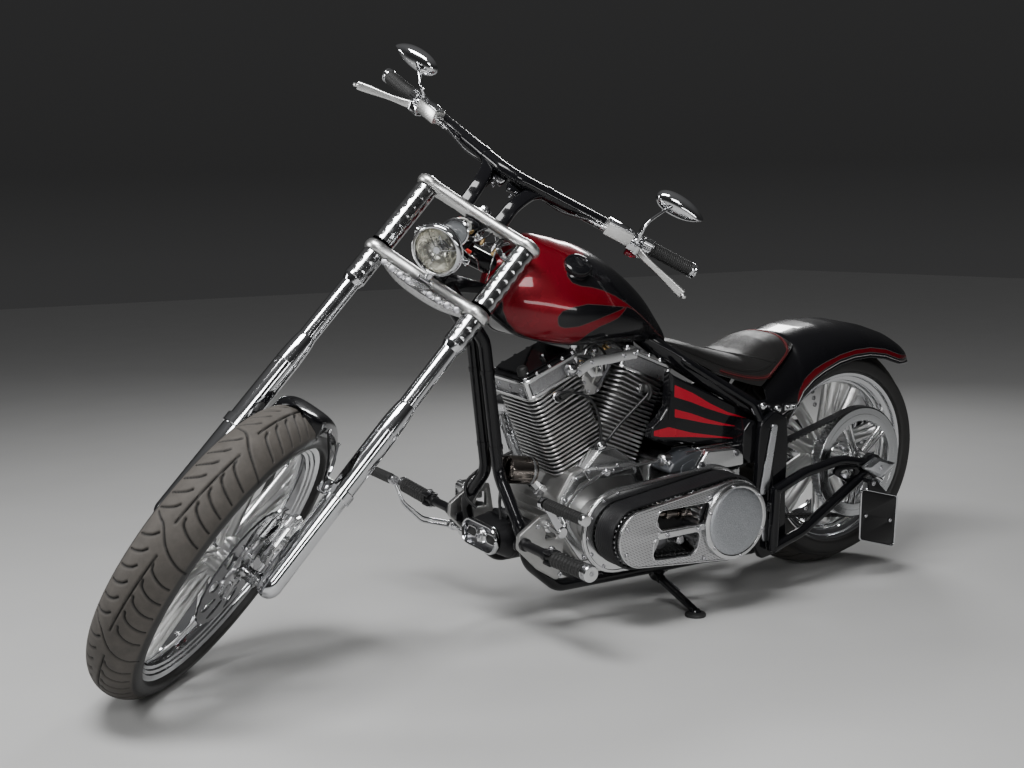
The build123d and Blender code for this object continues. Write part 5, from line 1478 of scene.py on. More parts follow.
# black drop low on each side and the black field over the crest, both in (x, z)
TEAR = np.array([(985, 783), (986, 798), (975, 812), (947, 821), (911, 827), (871, 823), (829, 817), (783, 811), (811, 804), (865, 793), (901, 782), (933, 772), (967, 769), (981, 774)], float)
TOPB = np.array([(790, 1030), (838, 962), (880, 932), (920, 918), (948, 905), (952, 893), (943, 877), (921, 868), (893, 864), (859, 855), (819, 838), (781, 817), (757, 802), (708, 771), (660, 742), (600, 706), (560, 690), (540, 1010)], float)
NOSE = np.array([(1150, 862), (1098, 846), (1097, 813), (1085, 784), (1064, 759), (1024, 740), (984, 728), (984, 690), (1150, 690)], float)
UNDER = np.array([(948, 680), (930, 728), (902, 756), (875, 771), (845, 779), (819, 787), (783, 811), (757, 802), (708, 771), (640, 728), (560, 690), (560, 640), (948, 640)], float)
SPEAR1 = [(642, 605), (579, 577), (522, 545), (463, 517), (392, 492), (463, 509), (532, 533), (589, 556), (642, 574)]
SPEAR2 = [(639, 542), (587, 526), (531, 505), (473, 487), (420, 473), (484, 483), (542, 496), (598, 511), (639, 521)]
SPEAR3 = [(704, 492), (657, 497), (585, 475), (506, 458), (408, 438), (505, 452), (584, 463), (683, 474), (704, 479)]
g = Geo()
rows_ = tank_smooth(7)
# refine along x to make the paint edges crisp
xs = np.linspace(rows_[0, 0], rows_[-1, 0], 170)
order = np.argsort(rows_[:, 0])
R_ = np.stack([xs] + [np.interp(xs, rows_[order, 0], rows_[order, k]) for k in range(1, 6)], 1)
vs = np.concatenate([np.linspace(0, 0.18, 6), np.linspace(0.18, 0.45, 30)[1:], np.linspace(0.45, 1.0, 62)[1:]])
P = np.array([[tank_pt(r, v) for v in vs] for r in R_])
full = np.concatenate([P * A(1, -1, 1), P[:, ::-1][:, 1:]], 1)[:, :]
full = np.concatenate([full, full[:, :1]], 1)
V, F = grid(full)
sd_t = -poly_sd(V[:, [0, 2]], TEAR)
sd_c = -poly_sd(V[:, [0, 2]], TOPB)
sd = np.minimum(sd_t, sd_c)
for blk in (NOSE, UNDER):
    sd = np.minimum(sd, -poly_sd(V[:, [0, 2]], blk))
g.add((V, F), "tank_paint", sd=sd)
# end caps
for r in (R_[0], R_[-1]):
    ring_ = [tank_pt(r, v) for v in vs]
    ring_ = [p * A(1, -1, 1) for p in ring_[::-1]] + ring_[1:]
    g.add((np.array(ring_), [tuple(range(len(ring_)))]), "tank_paint", sd=-5.0)
# lower seam lip
lip = np.array([tank_pt(r, 0.205) for r in R_[4:-4:3]])
for sy in (1, -1):
    g.add(sweep(lip * A(1, sy, 1), 3.0, 8), "gloss_black")
piece("tank_skin", g, "chassis", replaces="fuel_tank", angle=50)

# filler cap: black, domed, with a flip ring
g = Geo()
CAP, CN = A(915, 96, 908), unit((0.12, 0.66, 0.74))
g.add(lathe([(-6, 0), (-6, 37), (-2, 38.5), (3, 38), (5, 35.5), (6, 34), (14, 33.5), (18, 32), (20.5, 28), (22, 20), (22.6, 10), (22.6, 0)], CAP, CN, 72), "gloss_black")
g.add(knurl([(6.5, 34), (6.5, 34.9), (14, 34.5), (14, 33)], CAP, CN, 180, 45, 0.02, 6, 15), "satin_black")
e1, e2, e3 = basis(CN)
g.add(sweep(np.array([CAP + CN * 22.5 + (e1 * math.cos(t_) * 16 + e2 * math.sin(t_) * 16) for t_ in np.arange(48) * 2 * math.pi / 48]), 1.8, 8, closed=True), "gloss_black")
g.add(rbox(CAP + CN * 23.5, (30, 8, 3.5), 1.4, 2, cols(e1, e2, e3)), "satin_black")
g.add(bolt(CAP + CN * 22 + e2 * 22, CN, 3.2, 2.5), "bolt_steel")
piece("cap_skin", g, "chassis", replaces="fuel_cap", angle=36)


# ------------------------------------------------------------------ frame
def tube_run(pts, r, bends, segs=28, dome=0.0):
    return sweep(fillet_path(pts, bends, 10), r, segs, dome=dome)


g = Geo()
HEAD_LOW, HEAD_UP = S0 + U * (t_low + 18), S0 + U * (t_up - 26 / 2 - 3)
hl = float((HEAD_UP - HEAD_LOW) @ U)
g.add(lathe([(0, 14.5), (0, 29), (3, 31), (12, 31.5), (14, 29), (hl - 14, 29), (hl - 12, 31.5), (hl - 3, 31), (hl, 29), (hl, 14.5)], HEAD_LOW, U, 56, closed=True), "frame_black")
BACK_A = S0 + U * (t_low + 0.6 * (t_up - t_low)) - PERP * 20
BACK_B = A(700, 0, 722)
g.add(sweep(np.array([BACK_A, BACK_B]), 24, 40), "frame_black")
# gusset between head tube and backbone with a weld bead
for sy in (1, -1):
    g.add(side([round2([(1232, 862), (1258, 905), (1205, 898), (1120, 872), (1130, 850)], 8)], sy * 20, sy * 24, 1.2, 2), "frame_black")
g.add(sweep(np.array([HEAD_LOW + U * (hl * 0.6) - PERP * 29.5 + (YAX * math.cos(t_) * 25 + U * math.sin(t_) * 27) for t_ in np.arange(48) * 2 * math.pi / 48]), 2.6, 8, closed=True), "frame_black")
piece("backbone_skin", g, "chassis", replaces="frame_backbone", angle=36)

g = Geo()
DOWN = [(1232, 27, 874), (1133, 28, 735), (1088, 30, 400), (1090, 126, 296), (1070, 140, 200), (985, 140, 128), (352, 150, 128)]
for sy in (1, -1):
    g.add(tube_run([(x, sy * y, z) for x, y, z in DOWN], 16.0, [60, 75, 55, 60, 55], 32), "frame_black")
    # welded collars and a small mounting tab
    for q in ((1097, 29, 470), (1123, 28, 660)):
        g.add(sweep(np.array([A(q[0] - 0.6, sy * q[1], q[2] - 5), A(q[0] + 0.6, sy * q[1], q[2] + 5)]), 17.6, 28), "frame_black")
    g.add(side([round2([(1085, 232), (1112, 240), (1112, 262), (1085, 262)], 6)], sy * 136, sy * 144, 1.2, 2), "frame_black")
PIN, PIN_D = A(657, 122, 96), unit((-0.1805, 0.5222, 0.8336))
g.add(lathe([(13.4, 0), (13.4, 14), (15, 16), (38, 16), (40, 14), (40, 0)], PIN, PIN_D, 32), "frame_black")
g.add(side([round2([(700, 132), (610, 132), (632, 104), (668, 104)], 8)], 128, 138, 1.5, 2), "frame_black")
g.add(bolt(PIN + PIN_D * -10.6, -PIN_D, 8, 6), "bolt_steel")
# cross tube under the engine
g.add(sweep(np.array([A(905, -140, 128), A(905, 140, 128)]), 11, 24), "frame_black")
g.add(sweep(np.array([A(430, -148, 128), A(430, 148, 128)]), 11, 24), "frame_black")
piece("cradle_skin", g, "chassis", replaces="frame_cradle", angle=36)

# rear uprights: the broad tube that runs from the tank's tail past the seat and down
g = Geo()
for sy in (1, -1):
    up_pts = [(656, sy * 30, 724), (575, sy * 118, 650), (400, sy * 180, 536), (356, sy * 204, 440), (352, sy * 204, 150)]
    path = fillet_path(up_pts, 36, 10)
    n = len(path)
    g.add(sweep(path, 13.0, 32), "gloss_black")
    # broad crowned rail from the tank's tail along the saddle
    ST_ = [(716, 770, 728, 22), (690, 746, 700, 36), (650, 716, 664, 62), (600, 686, 624, 98), (550, 655, 590, 123), (500, 624, 560, 140), (450, 594, 530, 154), (400, 565, 500, 166), (365, 542, 480, 174), (335, 524, 466, 179), (314, 513, 462, 181), (303, 505, 468, 181)]
    ST_ = np.array([smooth_path([(x, a_, 0) for x, a_, b_, y_ in ST_], 5)[:, 0], smooth_path([(x, a_, 0) for x, a_, b_, y_ in ST_], 5)[:, 1], smooth_path([(x, b_, 0) for x, a_, b_, y_ in ST_], 5)[:, 1], smooth_path([(x, y_, 0) for x, a_, b_, y_ in ST_], 5)[:, 1]]).T
    rws = []
    for x, zt, zb, yc in ST_:
        cz, hh = (zt + zb) / 2, (zt - zb) / 2
        rws.append([A(x + 0.35 * hh * math.sin(q), sy * (yc + 13.5 * math.copysign(abs(math.cos(q)) ** 0.85, math.cos(q))), cz + hh * math.copysign(abs(math.sin(q)) ** 0.9, math.sin(q))) for q in np.arange(36) * 2 * math.pi / 36])
    V, F = grid(np.array(rws), wrap_v=True)
    F = list(F) + [tuple(range(36)), tuple((len(rws) - 1) * 36 + i for i in reversed(range(36)))]
    g.add((V, F), "gloss_black")
    g.add(sweep(np.array([A(352, sy * 204, 150), A(352, sy * 166, 129)]), 12.5, 24), "gloss_black")
    g.add(lathe([(-13, 0), (-12, 6), (-8, 10.5), (0, 13), (4, 13)], A(352, sy * 204, 150), A(0, 0, 1), 28), "gloss_black")
    # wide upright plate
    g.add(side([round2([(398, 486), (404, 300), (396, 150), (374, 116), (300, 128), (288, 172), (298, 300), (296, 420), (306, 500), (350, 520)], [20, 40, 26, 16, 14, 16, 60, 40, 16, 24], 8)], sy * 195, sy * 213.5, 4.5, 4), "gloss_black")
    g.add(side([round2([(404, 512), (440, 470), (440, 400), (404, 372), (380, 420)], 14)], sy * 150, sy * 196, 4, 3), "gloss_black")
    # polished flat side bars with rounded ends
    for bar in (((352, 475), (379, 310), 14.5), ((381, 262), (364, 180), 14.5)):
        (x0, z0), (x1, z1), hw = bar
        o = hull2(x0, z0, hw * 0.72, x1, z1, hw, 14)
        g.add(side([o], sy * 213.6, sy * 218.6, 2.0, 3), "brushed")
    g.add(bolt(A(392, sy * 213.4, 284), YAX * sy, 7, 5), "chrome")
piece("uprights_skin", g, "chassis", replaces="frame_rear_uprights", angle=36)

for nm, sy in (("swingarm_left", 1), ("swingarm_right", -1)):
    g = Geo()
    y = sy * 232.0
    g.add(tube_run([(356, y, 306), (250, y, 344), (120, y, 362), (-4, y, 336)], 14.6, 120, 32, dome=4), "gloss_black")
    g.add(tube_run([(356, y, 150), (250, y, 180), (-4, y, 330)], 14.6, 120, 32, dome=4), "gloss_black")
    g.add(lathe([(141, 0), (141, 10), (144, 14.4), (312, 14.4), (315, 10), (315, 0)], A(352, y, 0), A(0, 0, 1), 32), "gloss_black")
    g.add(lathe([(0, 0), (0, 17), (3, 19.5), (14.6, 19.5)], A(352, sy * 217.4, 262), YAX * sy, 36), "gloss_black")
    g.add(lathe([(14, 19.5), (16, 16), (18, 13), (21, 13), (22, 11), (22, 0)], A(352, sy * 217.4, 262), YAX * sy, 36), "gloss_black")
    o = round2([(-52, 332), (-4, 368), (46, 332), (-4, 296)], 9)
    vf = side([o, circle2(0, 332, 15.3, 40)], y - 18, y + 18, 3, 3)
    g.add(vf, "gloss_black")
    # short flat gusset in the fork of the arm
    g.add(side([round2([(40, 344), (120, 350), (150, 330), (90, 296), (40, 318)], 10), smooth2([(70, 330), (110, 332), (118, 320), (88, 306), (66, 318)], 4)[::-1]], y - 5, y + 5, 1.5, 2), "gloss_black")
    piece(nm + "_skin", g, "chassis", replaces=nm, angle=36)

# rear axle with faceted diamond covers
g = Geo()
g.add(sweep(np.array([A(0, -258, 332), A(0, 258, 332)]), 14.9, 36), "steel")
for sy, s0_ in ((1, 197.5), (-1, 165)):
    prof = [(s0_, 15), (s0_, 21), (s0_ + 2, 24), (232 - 20.5, 24), (232 - 18.2, 21), (232 - 18.2, 15)]
    g.add(lathe([(sy * a, r) for a, r in prof], A(0, 0, 332), YAX, 40), "polished")
    c = A(0, 0, 0)
    y0, y1, y2 = sy * 250.3, sy * 262, sy * 268
    O = [(-71, 336), (6, 361), (59, 338), (-9, 303)]
    I = [(-50, 335), (3, 352), (40, 337), (-7, 312)]
    rb = lambda pts, y: [A(p[0], y, p[1]) for p in round2(pts, 4, 3)]
    rr0, rr1, rr2, rr3 = rb(O, y0), rb(O, y1), rb([(-65, 336), (5, 358.5), (54, 337.5), (-8.5, 305.5)], y1 + sy * 1.5), rb(I, y2)
    V, F = grid(np.array([rr0, rr1, rr2, rr3]), wrap_v=True)
    k = len(rr0)
    F = list(F) + [tuple(range(k)), tuple(3 * k + i for i in reversed(range(k)))]
    g.add((V, F), "brushed")
    g.add(bolt(A(-4, y2, 332), YAX * sy, 7, 3.5), "bolt_steel")
piece("rear_axle_skin", g, "chassis", replaces="rear_axle", angle=24)

# ------------------------------------------------------------------ rear fender
g = Geo()
# lower edge on the side (angle, z or radius) and the crest profile
EDGE = A(*[c for p in ((316, 452), (258, 486), (205, 508), (186, 541), (150, 570), (110, 590), (54, 610), (-3, 620), (-64, 622), (-125, 613), (-182, 594), (-250, 574), (-320, 553), (-352, 545)) for c in p]).reshape(-1, 2)
CREST = A(*[c for p in ((300, 596), (240, 642), (181, 690), (125, 704), (68, 710), (0, 711), (-50, 708), (-112, 696), (-174, 676), (-230, 648), (-284, 616), (-325, 592), (-352, 574)) for c in p]).reshape(-1, 2)
nx, nv = 150, 72
rows = []
sds = []
for i in range(nx + 1):
    t = i / nx
    xe = 316 + (-352 - 316) * t
    xc = 300 + (-352 - 300) * t
    ze = float(np.interp(xe, EDGE[::-1, 0], EDGE[::-1, 1]))
    zc = float(np.interp(xc, CREST[::-1, 0], CREST[::-1, 1]))
    # half width narrows to the tail in plan
    w = 148.0 if xe > -180 else 148.0 * max(0.0, 1 - (abs(xe + 180) / 174.0) ** 1.35) ** (1 / 1.35)
    w = max(w, 4.0)
    row, srow = [], []
    for j in range(nv + 1):
        p = (j / nv) * math.pi          # 0 left edge, pi right edge
        cx, sx = math.cos(p), math.sin(p)
        q = 2 / 3.1
        yv = w * (abs(cx) ** q) * (1 if cx >= 0 else -1)
        hv = abs(sx) ** (2 / 2.25)
        drop = min(1.0, w / 148.0)
        zb = zc - (zc - ze) * drop if drop < 1 else ze
        z = zb + (zc - zb) * hv
        x = xe + (xc - xe) * hv
        row.append(A(x, yv, z))
        srow.append((z - zb))
    rows.append(row)
    sds.append(srow)
P = np.array(rows)
# the tail ends where the CAD fender ends
P[:, :, 0] = np.where(P[:, :, 0] < -250, -250 + (P[:, :, 0] + 250) * 0.852, P[:, :, 0])
# length along the surface from the lower edge
d_edge = np.cumsum(np.concatenate([np.zeros((nx + 1, 1)), np.linalg.norm(np.diff(P, axis=1), axis=2)], 1), axis=1)
de = np.minimum(d_edge, d_edge[:, -1:] - d_edge)
xi = P[:, :, 0]
wband = np.interp(xi, [-352, -300, -182, -62, 60, 112, 167, 200, 230, 320], [0, 4, 11, 11, 12, 17, 25, 28, 3, 0])
off0 = np.interp(xi, [-352, -300, 60, 200, 320], [6, 11, 12, 9, 9])
sd = np.minimum(de - off0, off0 + wband - de)
sd = np.where(xi > 205, -6.0 + np.minimum(0, 205 - xi) * 0.1, sd)
V, F = grid(P)
g.add((V, F), "fender_paint", sd=sd.reshape(-1))
cen = np.stack([P[:, :, 0] * 0.98, P[:, :, 1] * 0.9, P[:, :, 2] - 40], -1)
inw = cen - P
inw = inw / np.linalg.norm(inw, axis=2)[..., None]
g.add(grid((P + inw * 3.6)[::3, ::2]), "satin_black")
for j, sg in ((0, 1), (-1, -1)):
    lipp = P[:, j] + inw[:, j] * 1.8
    g.add(sweep(lipp[1:-1], 3.4, 12, dome=2), "gloss_black")
    g.add(sweep(lipp[8:-2] + A(0, sg * 1.2, 5.5), 0.9, 6), "cap_line")
g.add(sweep(np.concatenate([P[-1, ::3] + inw[-1, ::3] * 1.8]), 3.2, 10), "gloss_black")
g.add(sweep(np.concatenate([P[0, ::2] + inw[0, ::2] * 1.8]), 2.6, 10), "gloss_black")
# twin studs and side brackets with cross-head bolts
for sy in (1, -1):
    for (x, z) in ((-128, 672), (-162, 662)):
        g.add(bolt(A(x, sy * 84, z + 3), unit(A(-0.2, sy * 0.5, 0.85)), 3.6, 2.6, dome=True), "chrome")
    for (x, z) in ((374, 530), (322, 518)):
        g.add(lathe([(-4, 0), (-4, 11), (0, 11.5), (4, 10), (6.5, 6), (7, 0)], A(x, sy * 193, z), YAX * sy, 28), "chrome")
        g.add(bolt(A(x, sy * 156, z), YAX * sy, 5, 3), "bolt_steel")
    g.add(chamfer(rbox(A(236, sy * 148, 508), (44, 10, 20), 0), 3, 2), "chrome")
    for k in (-11, 11):
        g.add(bolt(A(236 + k, sy * 153, 508), YAX * sy, 6, 6), "chrome")
    # black bracket plate under the seat, down to the uprights
    o = round2([(392, 530), (318, 534), (232, 520), (214, 498), (250, 474), (330, 462), (392, 470)], 12)
    g.add(side([o], sy * 138, sy * 146, 2.5, 3), "gloss_black")
piece("rear_fender_skin", g, "chassis", replaces="rear_fender", angle=44)

# ------------------------------------------------------------------ oil tank and side panels
g = Geo()
g.add(chamfer(side([round2([(576, 606), (520, 560), (405, 505), (392, 440), (640, 440), (650, 452)], 10)], -127, 127, 0.2, 1), 3, 2, 40), "gloss_black")
PAN = np.array([(658, 640), (640, 628), (575, 597), (500, 562), (410, 520), (352, 492), (330, 470), (328, 446), (346, 428), (420, 424), (494, 430), (560, 440), (615, 452), (700, 466), (712, 474), (710, 500), (682, 520), (660, 548), (652, 590), (652, 620)], float)
SPEARS = [SPEAR1, SPEAR2, SPEAR3]
nx, nz = 170, 84
x0, x1 = PAN[:, 0].min(), PAN[:, 0].max()
for sy in (1, -1):
    # the face is slightly crowned; vertices lie on rows between lower and upper outline
    xs_ = np.linspace(x0 + 0.6, x1 - 0.6, nx)
    lo_z, hi_z = [], []
    for x in xs_:
        zz = []
        for i in range(len(PAN)):
            a, b = PAN[i], PAN[(i + 1) % len(PAN)]
            if (a[0] - x) * (b[0] - x) <= 0 and a[0] != b[0]:
                zz.append(a[1] + (x - a[0]) / (b[0] - a[0]) * (b[1] - a[1]))
        lo_z.append(min(zz)); hi_z.append(max(zz))
    T = np.linspace(0, 1, nz)
    X = np.repeat(xs_[:, None], nz, 1)
    Z = np.array(lo_z)[:, None] + (np.array(hi_z) - np.array(lo_z))[:, None] * T
    ins = poly_sd(np.stack([X.ravel(), Z.ravel()], 1), PAN).reshape(X.shape)
    crown = 152.5 - 6.0 * (1 - np.clip(ins / 5.0, 0, 1)) ** 2.2
    crown = crown + 1.6 * np.clip(ins / 60.0, 0, 1)
    P = np.stack([X, sy * crown, Z], -1)
    sd = np.max([poly_sd(np.stack([X.ravel(), Z.ravel()], 1), sp) for sp in SPEARS], axis=0)
    g.add(grid(P), "panel_paint", sd=sd)
    # rim back to the tank
    edge = np.concatenate([P[:, 0], P[-1, 1:], P[::-1, -1][1:], P[0, ::-1][1:-1]])
    back = edge.copy(); back[:, 1] = sy * 126.0
    g.add(grid(np.stack([edge, back]), wrap_v=True), "gloss_black")
piece("oil_tank_skin", g, "chassis", replaces="oil_tank", angle=44)


# ------------------------------------------------------------------ engine
CRANK = A(822, 0, 300)


class Cyl:
    """Frame of one cylinder: t along the bore, u away from the vee, y across."""

    def __init__(self, sgn):
        a = math.radians(22.5)
        self.s = sgn
        self.a = A(math.sin(a) * sgn, 0, math.cos(a))
        self.x = A(math.cos(a) * sgn, 0, -math.sin(a))
        self.sin, self.cos = math.sin(a), math.cos(a)

    def p(self, t, u, y):
        return CRANK + self.a * t + self.x * u + A(0, y, 0)

    def umin(self, t):
        return (1.0 - self.sin * t) / self.cos

    def outline(self, t, hw, hy, r, gap=0.0, n=5):
        u0 = max(-hw, self.umin(t) + gap)
        return round2([(u0, -hy), (hw, -hy), (hw, hy), (u0, hy)], r if u0 <= -hw + 1 else [8, r, r, 8], n)

    def ring(self, t, pts, lift=None):
        out = [self.p(t + (lift(q) if lift is not None else 0.0), q[0], q[1]) for q in pts]
        return np.array(out)

    def slab(self, t0, t1, hw, hy, r, bevel=1.5, gap=0.0, n=5):
        o = self.outline(t0, hw, hy, r, gap, n)
        i = self.outline(t0, hw - bevel, hy - bevel, max(r - bevel, 1.0), gap + bevel, n)
        rings = [self.ring(t0, i), self.ring(t0 + bevel, o), self.ring(t1 - bevel, o), self.ring(t1, i)]
        V, F = grid(np.array(rings), wrap_v=True)
        k = len(o)
        return V, list(F) + [tuple(range(k)), tuple(3 * k + j for j in reversed(range(k)))]


for nm, sgn in (("front_cylinder", 1), ("rear_cylinder", -1)):
    c = Cyl(sgn)
    g = Geo()
    # barrel behind the fins, coloured much darker than the fins: painted shade in the gaps between them
    rings = []
    for t in np.linspace(124.2, 345.8, 26):
        rings.append(c.ring(t, c.outline(t, 62, 62, 36, 12)))
    V, F = grid(np.array(rings), wrap_v=True)
    g.add((V, F), "fin_dark")
    k = 20
    for i in range(k):
        t = 129.5 + i * 11.15
        th = 5.2
        head = i >= 12
        hw = 82.4 if not head else 82.6
        wave = (lambda q: 0.0)
        if i >= 14:
            amp = 5.0 + 1.8 * (i - 14)
            wave = lambda q, amp=amp: amp * (max(0.0, min(1.0, (-q[0] - 18) / 30.0)) ** 2 * (3 - 2 * max(0.0, min(1.0, (-q[0] - 18) / 30.0))) - 0.5 * max(0.0, min(1.0, (-q[0] - 52) / 24.0)))
        out = c.outline(t, hw, 82.6, 25, 0.6, 7)
        mid = c.outline(t, hw - 0.9, 81.7, 24.2, 1.4, 7)
        inn = c.outline(t, 60, 60, 34, 13, 7)
        if len(inn) != len(out):
            inn = np.array([(q[0] * 0.75, q[1] * 0.75) for q in out])
        rr = [c.ring(t - th * 0.62, inn, wave), c.ring(t - th / 2, mid, wave), c.ring(t - th * 0.22, out, wave), c.ring(t + th * 0.22, out, wave), c.ring(t + th / 2, mid, wave), c.ring(t + th * 0.62, inn, wave)]
        V, F = grid(np.array(rr), wrap_v=True)
        g.add((V, F), "fin")
    # base flange with four nuts
    g.add(c.slab(124.1, 131, 74, 76, 20, 1.5, 2.0), "cast_bright")
    for u in (64,):
        for y in (58, -58):
            g.add(hexnut(c.p(131, u, y), c.a, 7.5, 8), "bolt_steel")
    # spark plug with boot, a bright terminal and a brass collar
    if sgn > 0:
        P0_, d = A(952, 84, 592), unit((0.28, 0.90, 0.25))
    else:
        P0_, d = A(690, 84, 588), unit((-0.10, 0.95, 0.22))
    g.add(lathe([(-30, 13), (-6, 13), (-4, 16), (2, 16), (3, 12.5)], P0_, d, 6), "bolt_steel")
    g.add(lathe([(2, 12), (4, 9.5), (9, 9), (10, 7.5), (16, 7.5)], P0_, d, 20), "white_tube" if sgn < 0 else "steel")
    g.add(lathe([(5, 10.2), (7, 10.8), (9, 10.2)], P0_, d, 20), "brass")
    piece(nm + "_skin", g, "chassis", replaces=nm, angle=30)

# ignition leads to a chrome knob between the cylinders
g = Geo()
LEADS = [
    ([(955, 96, 593), (966, 104, 604), (975, 106, 598), (952, 108, 608), (905, 108, 600), (868, 108, 578), (848, 110, 540), (841, 112, 500), (838, 113, 470)], 1),
    ([(687, 100, 590), (694, 110, 578), (714, 107, 559), (745, 105, 532), (776, 105, 508), (812, 108, 476), (834, 113, 464)], 1),
]
for pts, kk in LEADS:
    path = smooth_path(pts if kk else pts, 8)
    g.add(sweep(path, 3.6, 12), "wire_black")
d1 = unit((-0.35, 0.55, 0.12))
g.add(lathe([(0, 5), (2, 9.5), (22, 9), (26, 7.5), (36, 7), (40, 5), (42, 3.6)], A(958, 97, 594), unit((-0.88, 0.25, 0.42)), 24), "rubber")
g.add(lathe([(-9, 7), (-7, 11), (0, 11.5), (5, 9), (8, 5)], A(955, 94, 592), unit((0.2, 0.95, 0.2)), 24), "rubber")
g.add(lathe([(-10, 8), (-8, 12), (3, 13), (8, 11.5), (12, 7), (13, 0)], A(688, 96, 590), unit((-0.1, 0.97, 0.2)), 28), "rubber")
g.add(sweep(smooth_path([(688, 104, 602), (684, 106, 594), (682, 106, 578), (690, 106, 562)], 6), 5.5, 14, dome=3), "rubber")
g.add(lathe([(-8, 0), (-8, 6), (-4, 9), (0, 10), (3, 12.5), (7, 13.5), (11, 12.5), (14, 9), (15.5, 4), (16, 0)], A(838, 108, 459), unit((0.1, 0.97, 0.2)), 36), "chrome")
g.add(lathe([(-2, 16), (0, 17), (2, 16), (2, 8)], A(838, 108, 459), unit((0.1, 0.97, 0.2)), 32), "rubber")
# small throttle-body pieces, fittings and hoses in the vee under the tank
rng = np.random.RandomState(7)
for (x, y, z, dx, dy, dz, r, h, m) in (
        (895, 58, 688, 0, 0.1, 1, 13, 34, "polished"), (868, 50, 694, 0.2, 0.5, 0.8, 9, 26, "steel"), (842, 60, 690, -0.1, 0.8, 0.5, 11, 22, "polished"),
        (822, 40, 700, 0.1, 0.4, 0.9, 14, 20, "steel"), (800, 62, 700, 0, 0.9, 0.4, 8, 22, "brass"), (786, 48, 712, 0.1, 0.8, 0.6, 10, 18, "polished"),
        (858, 30, 720, 0, 0.3, 0.95, 16, 14, "cast_bright"), (768, 60, 716, 0.2, 0.85, 0.4, 7, 20, "bolt_steel"), (812, 66, 676, 0.3, 0.9, 0.1, 9, 14, "bolt_steel"), (878, 66, 668, 0.2, 0.9, 0.2, 7, 14, "brass")):
    dd = unit((dx, dy, dz))
    g.add(lathe([(0, 0), (0, r * 0.8), (1, r), (h * 0.3, r), (h * 0.34, r * 0.7), (h * 0.6, r * 0.7), (h * 0.64, r * 0.95), (h * 0.95, r * 0.95), (h, r * 0.6), (h, 0)], A(x, y, z), dd, 24), m)
    g.add(hexnut(A(x, y, z) + dd * h, dd, r * 0.55, r * 0.4), "bolt_steel")
for pts, m, r in (([(868, 66, 700), (850, 76, 712), (826, 74, 706), (806, 70, 690), (792, 64, 672), (790, 50, 640)], "wire_black", 3.2), ([(786, 66, 716), (764, 74, 704), (742, 72, 690), (726, 70, 700)], "wire_black", 3.0),
                  ([(895, 52, 720), (880, 60, 730), (858, 66, 726), (840, 58, 712)], "wire_black", 3.6), ([(842, 70, 694), (836, 78, 670), (830, 72, 640), (826, 50, 610)], "white_tube", 2.4), ([(812, 76, 680), (800, 82, 660), (803, 70, 632), (810, 50, 600)], "dark_steel", 4.5)):
    g.add(sweep(smooth_path(pts, 8), r, 10), m)
# intake body between the heads
g.add(lathe([(-52, 0), (-52, 30), (-48, 33), (-30, 33), (-28, 28), (20, 28), (24, 34), (44, 34), (46, 30), (46, 0)], A(822, 0, 612), YAX, 40), "cast")
for k in range(6):
    a = k * math.pi / 3
    g.add(bolt(A(822 + 27 * math.cos(a), 46, 612 + 27 * math.sin(a)), YAX, 4, 4), "bolt_steel")
g.add(sweep(smooth_path([(790, 0, 615), (770, 0, 622), (748, 0, 640)], 6), 27, 28), "cast")
g.add(sweep(smooth_path([(854, 0, 615), (874, 0, 622), (896, 0, 640)], 6), 27, 28), "cast")
# throttle fitting and breather between the heads
g.add(rbox(A(822, 30, 655), (54, 60, 40), 5, 3), "cast_bright")
g.add(side([round2([(796, 680), (850, 676), (862, 650), (840, 628), (800, 630), (786, 654)], 7), circle2(824, 655, 9, 20)], 62, 70, 1.6, 2), "polished")
piece("ignition_leads", g, "chassis", angle=34)

# rocker boxes
g = Geo()
for sgn in (1, -1):
    c = Cyl(sgn)
    g.add(c.slab(346.6, 354.5, 87.5, 85.5, 20, 1.4, 1.0), "polished")
    g.add(c.slab(354.3, 388.5, 81.5, 79.5, 15, 1.0, 1.2), "stipple")
    g.add(c.slab(388.3, 398.4, 87.6, 85.6, 20, 1.8, 1.0), "polished")
    g.add(c.slab(398.2, 403.5, 80, 78, 17, 1.2, 1.0), "satin_black" if sgn > 0 else "cast")
    g.add(c.slab(403.3, 410, 69.6, 69.6, 15, 2.2, 1.0), "gloss_black" if sgn > 0 else "stipple")
    for y in (1, -1):
        for u in (76, -76):
            if c.umin(354) < u - 8:
                g.add(sweep(np.array([c.p(350, u, y * 74), c.p(394, u, y * 74)]), 8.6, 20), "polished")
                g.add(hexnut(c.p(398.4, u * 0.97, y * 73), c.a, 7.0, 7.5), "bolt_steel")
                g.add(bolt(c.p(354.6, u * 1.02, y * 74), c.a * 1.0, 7.5, 5), "bolt_steel")
        for u in (40, 0, -40):
            g.add(bolt(c.p(398.6, u, y * 77), c.a, 6.2, 8.0), "chrome")
    for u in (86.8,):
        for y in (50, 0, -50):
            g.add(bolt(c.p(372, u - 6, y), c.x, 5, 3), "bolt_steel")
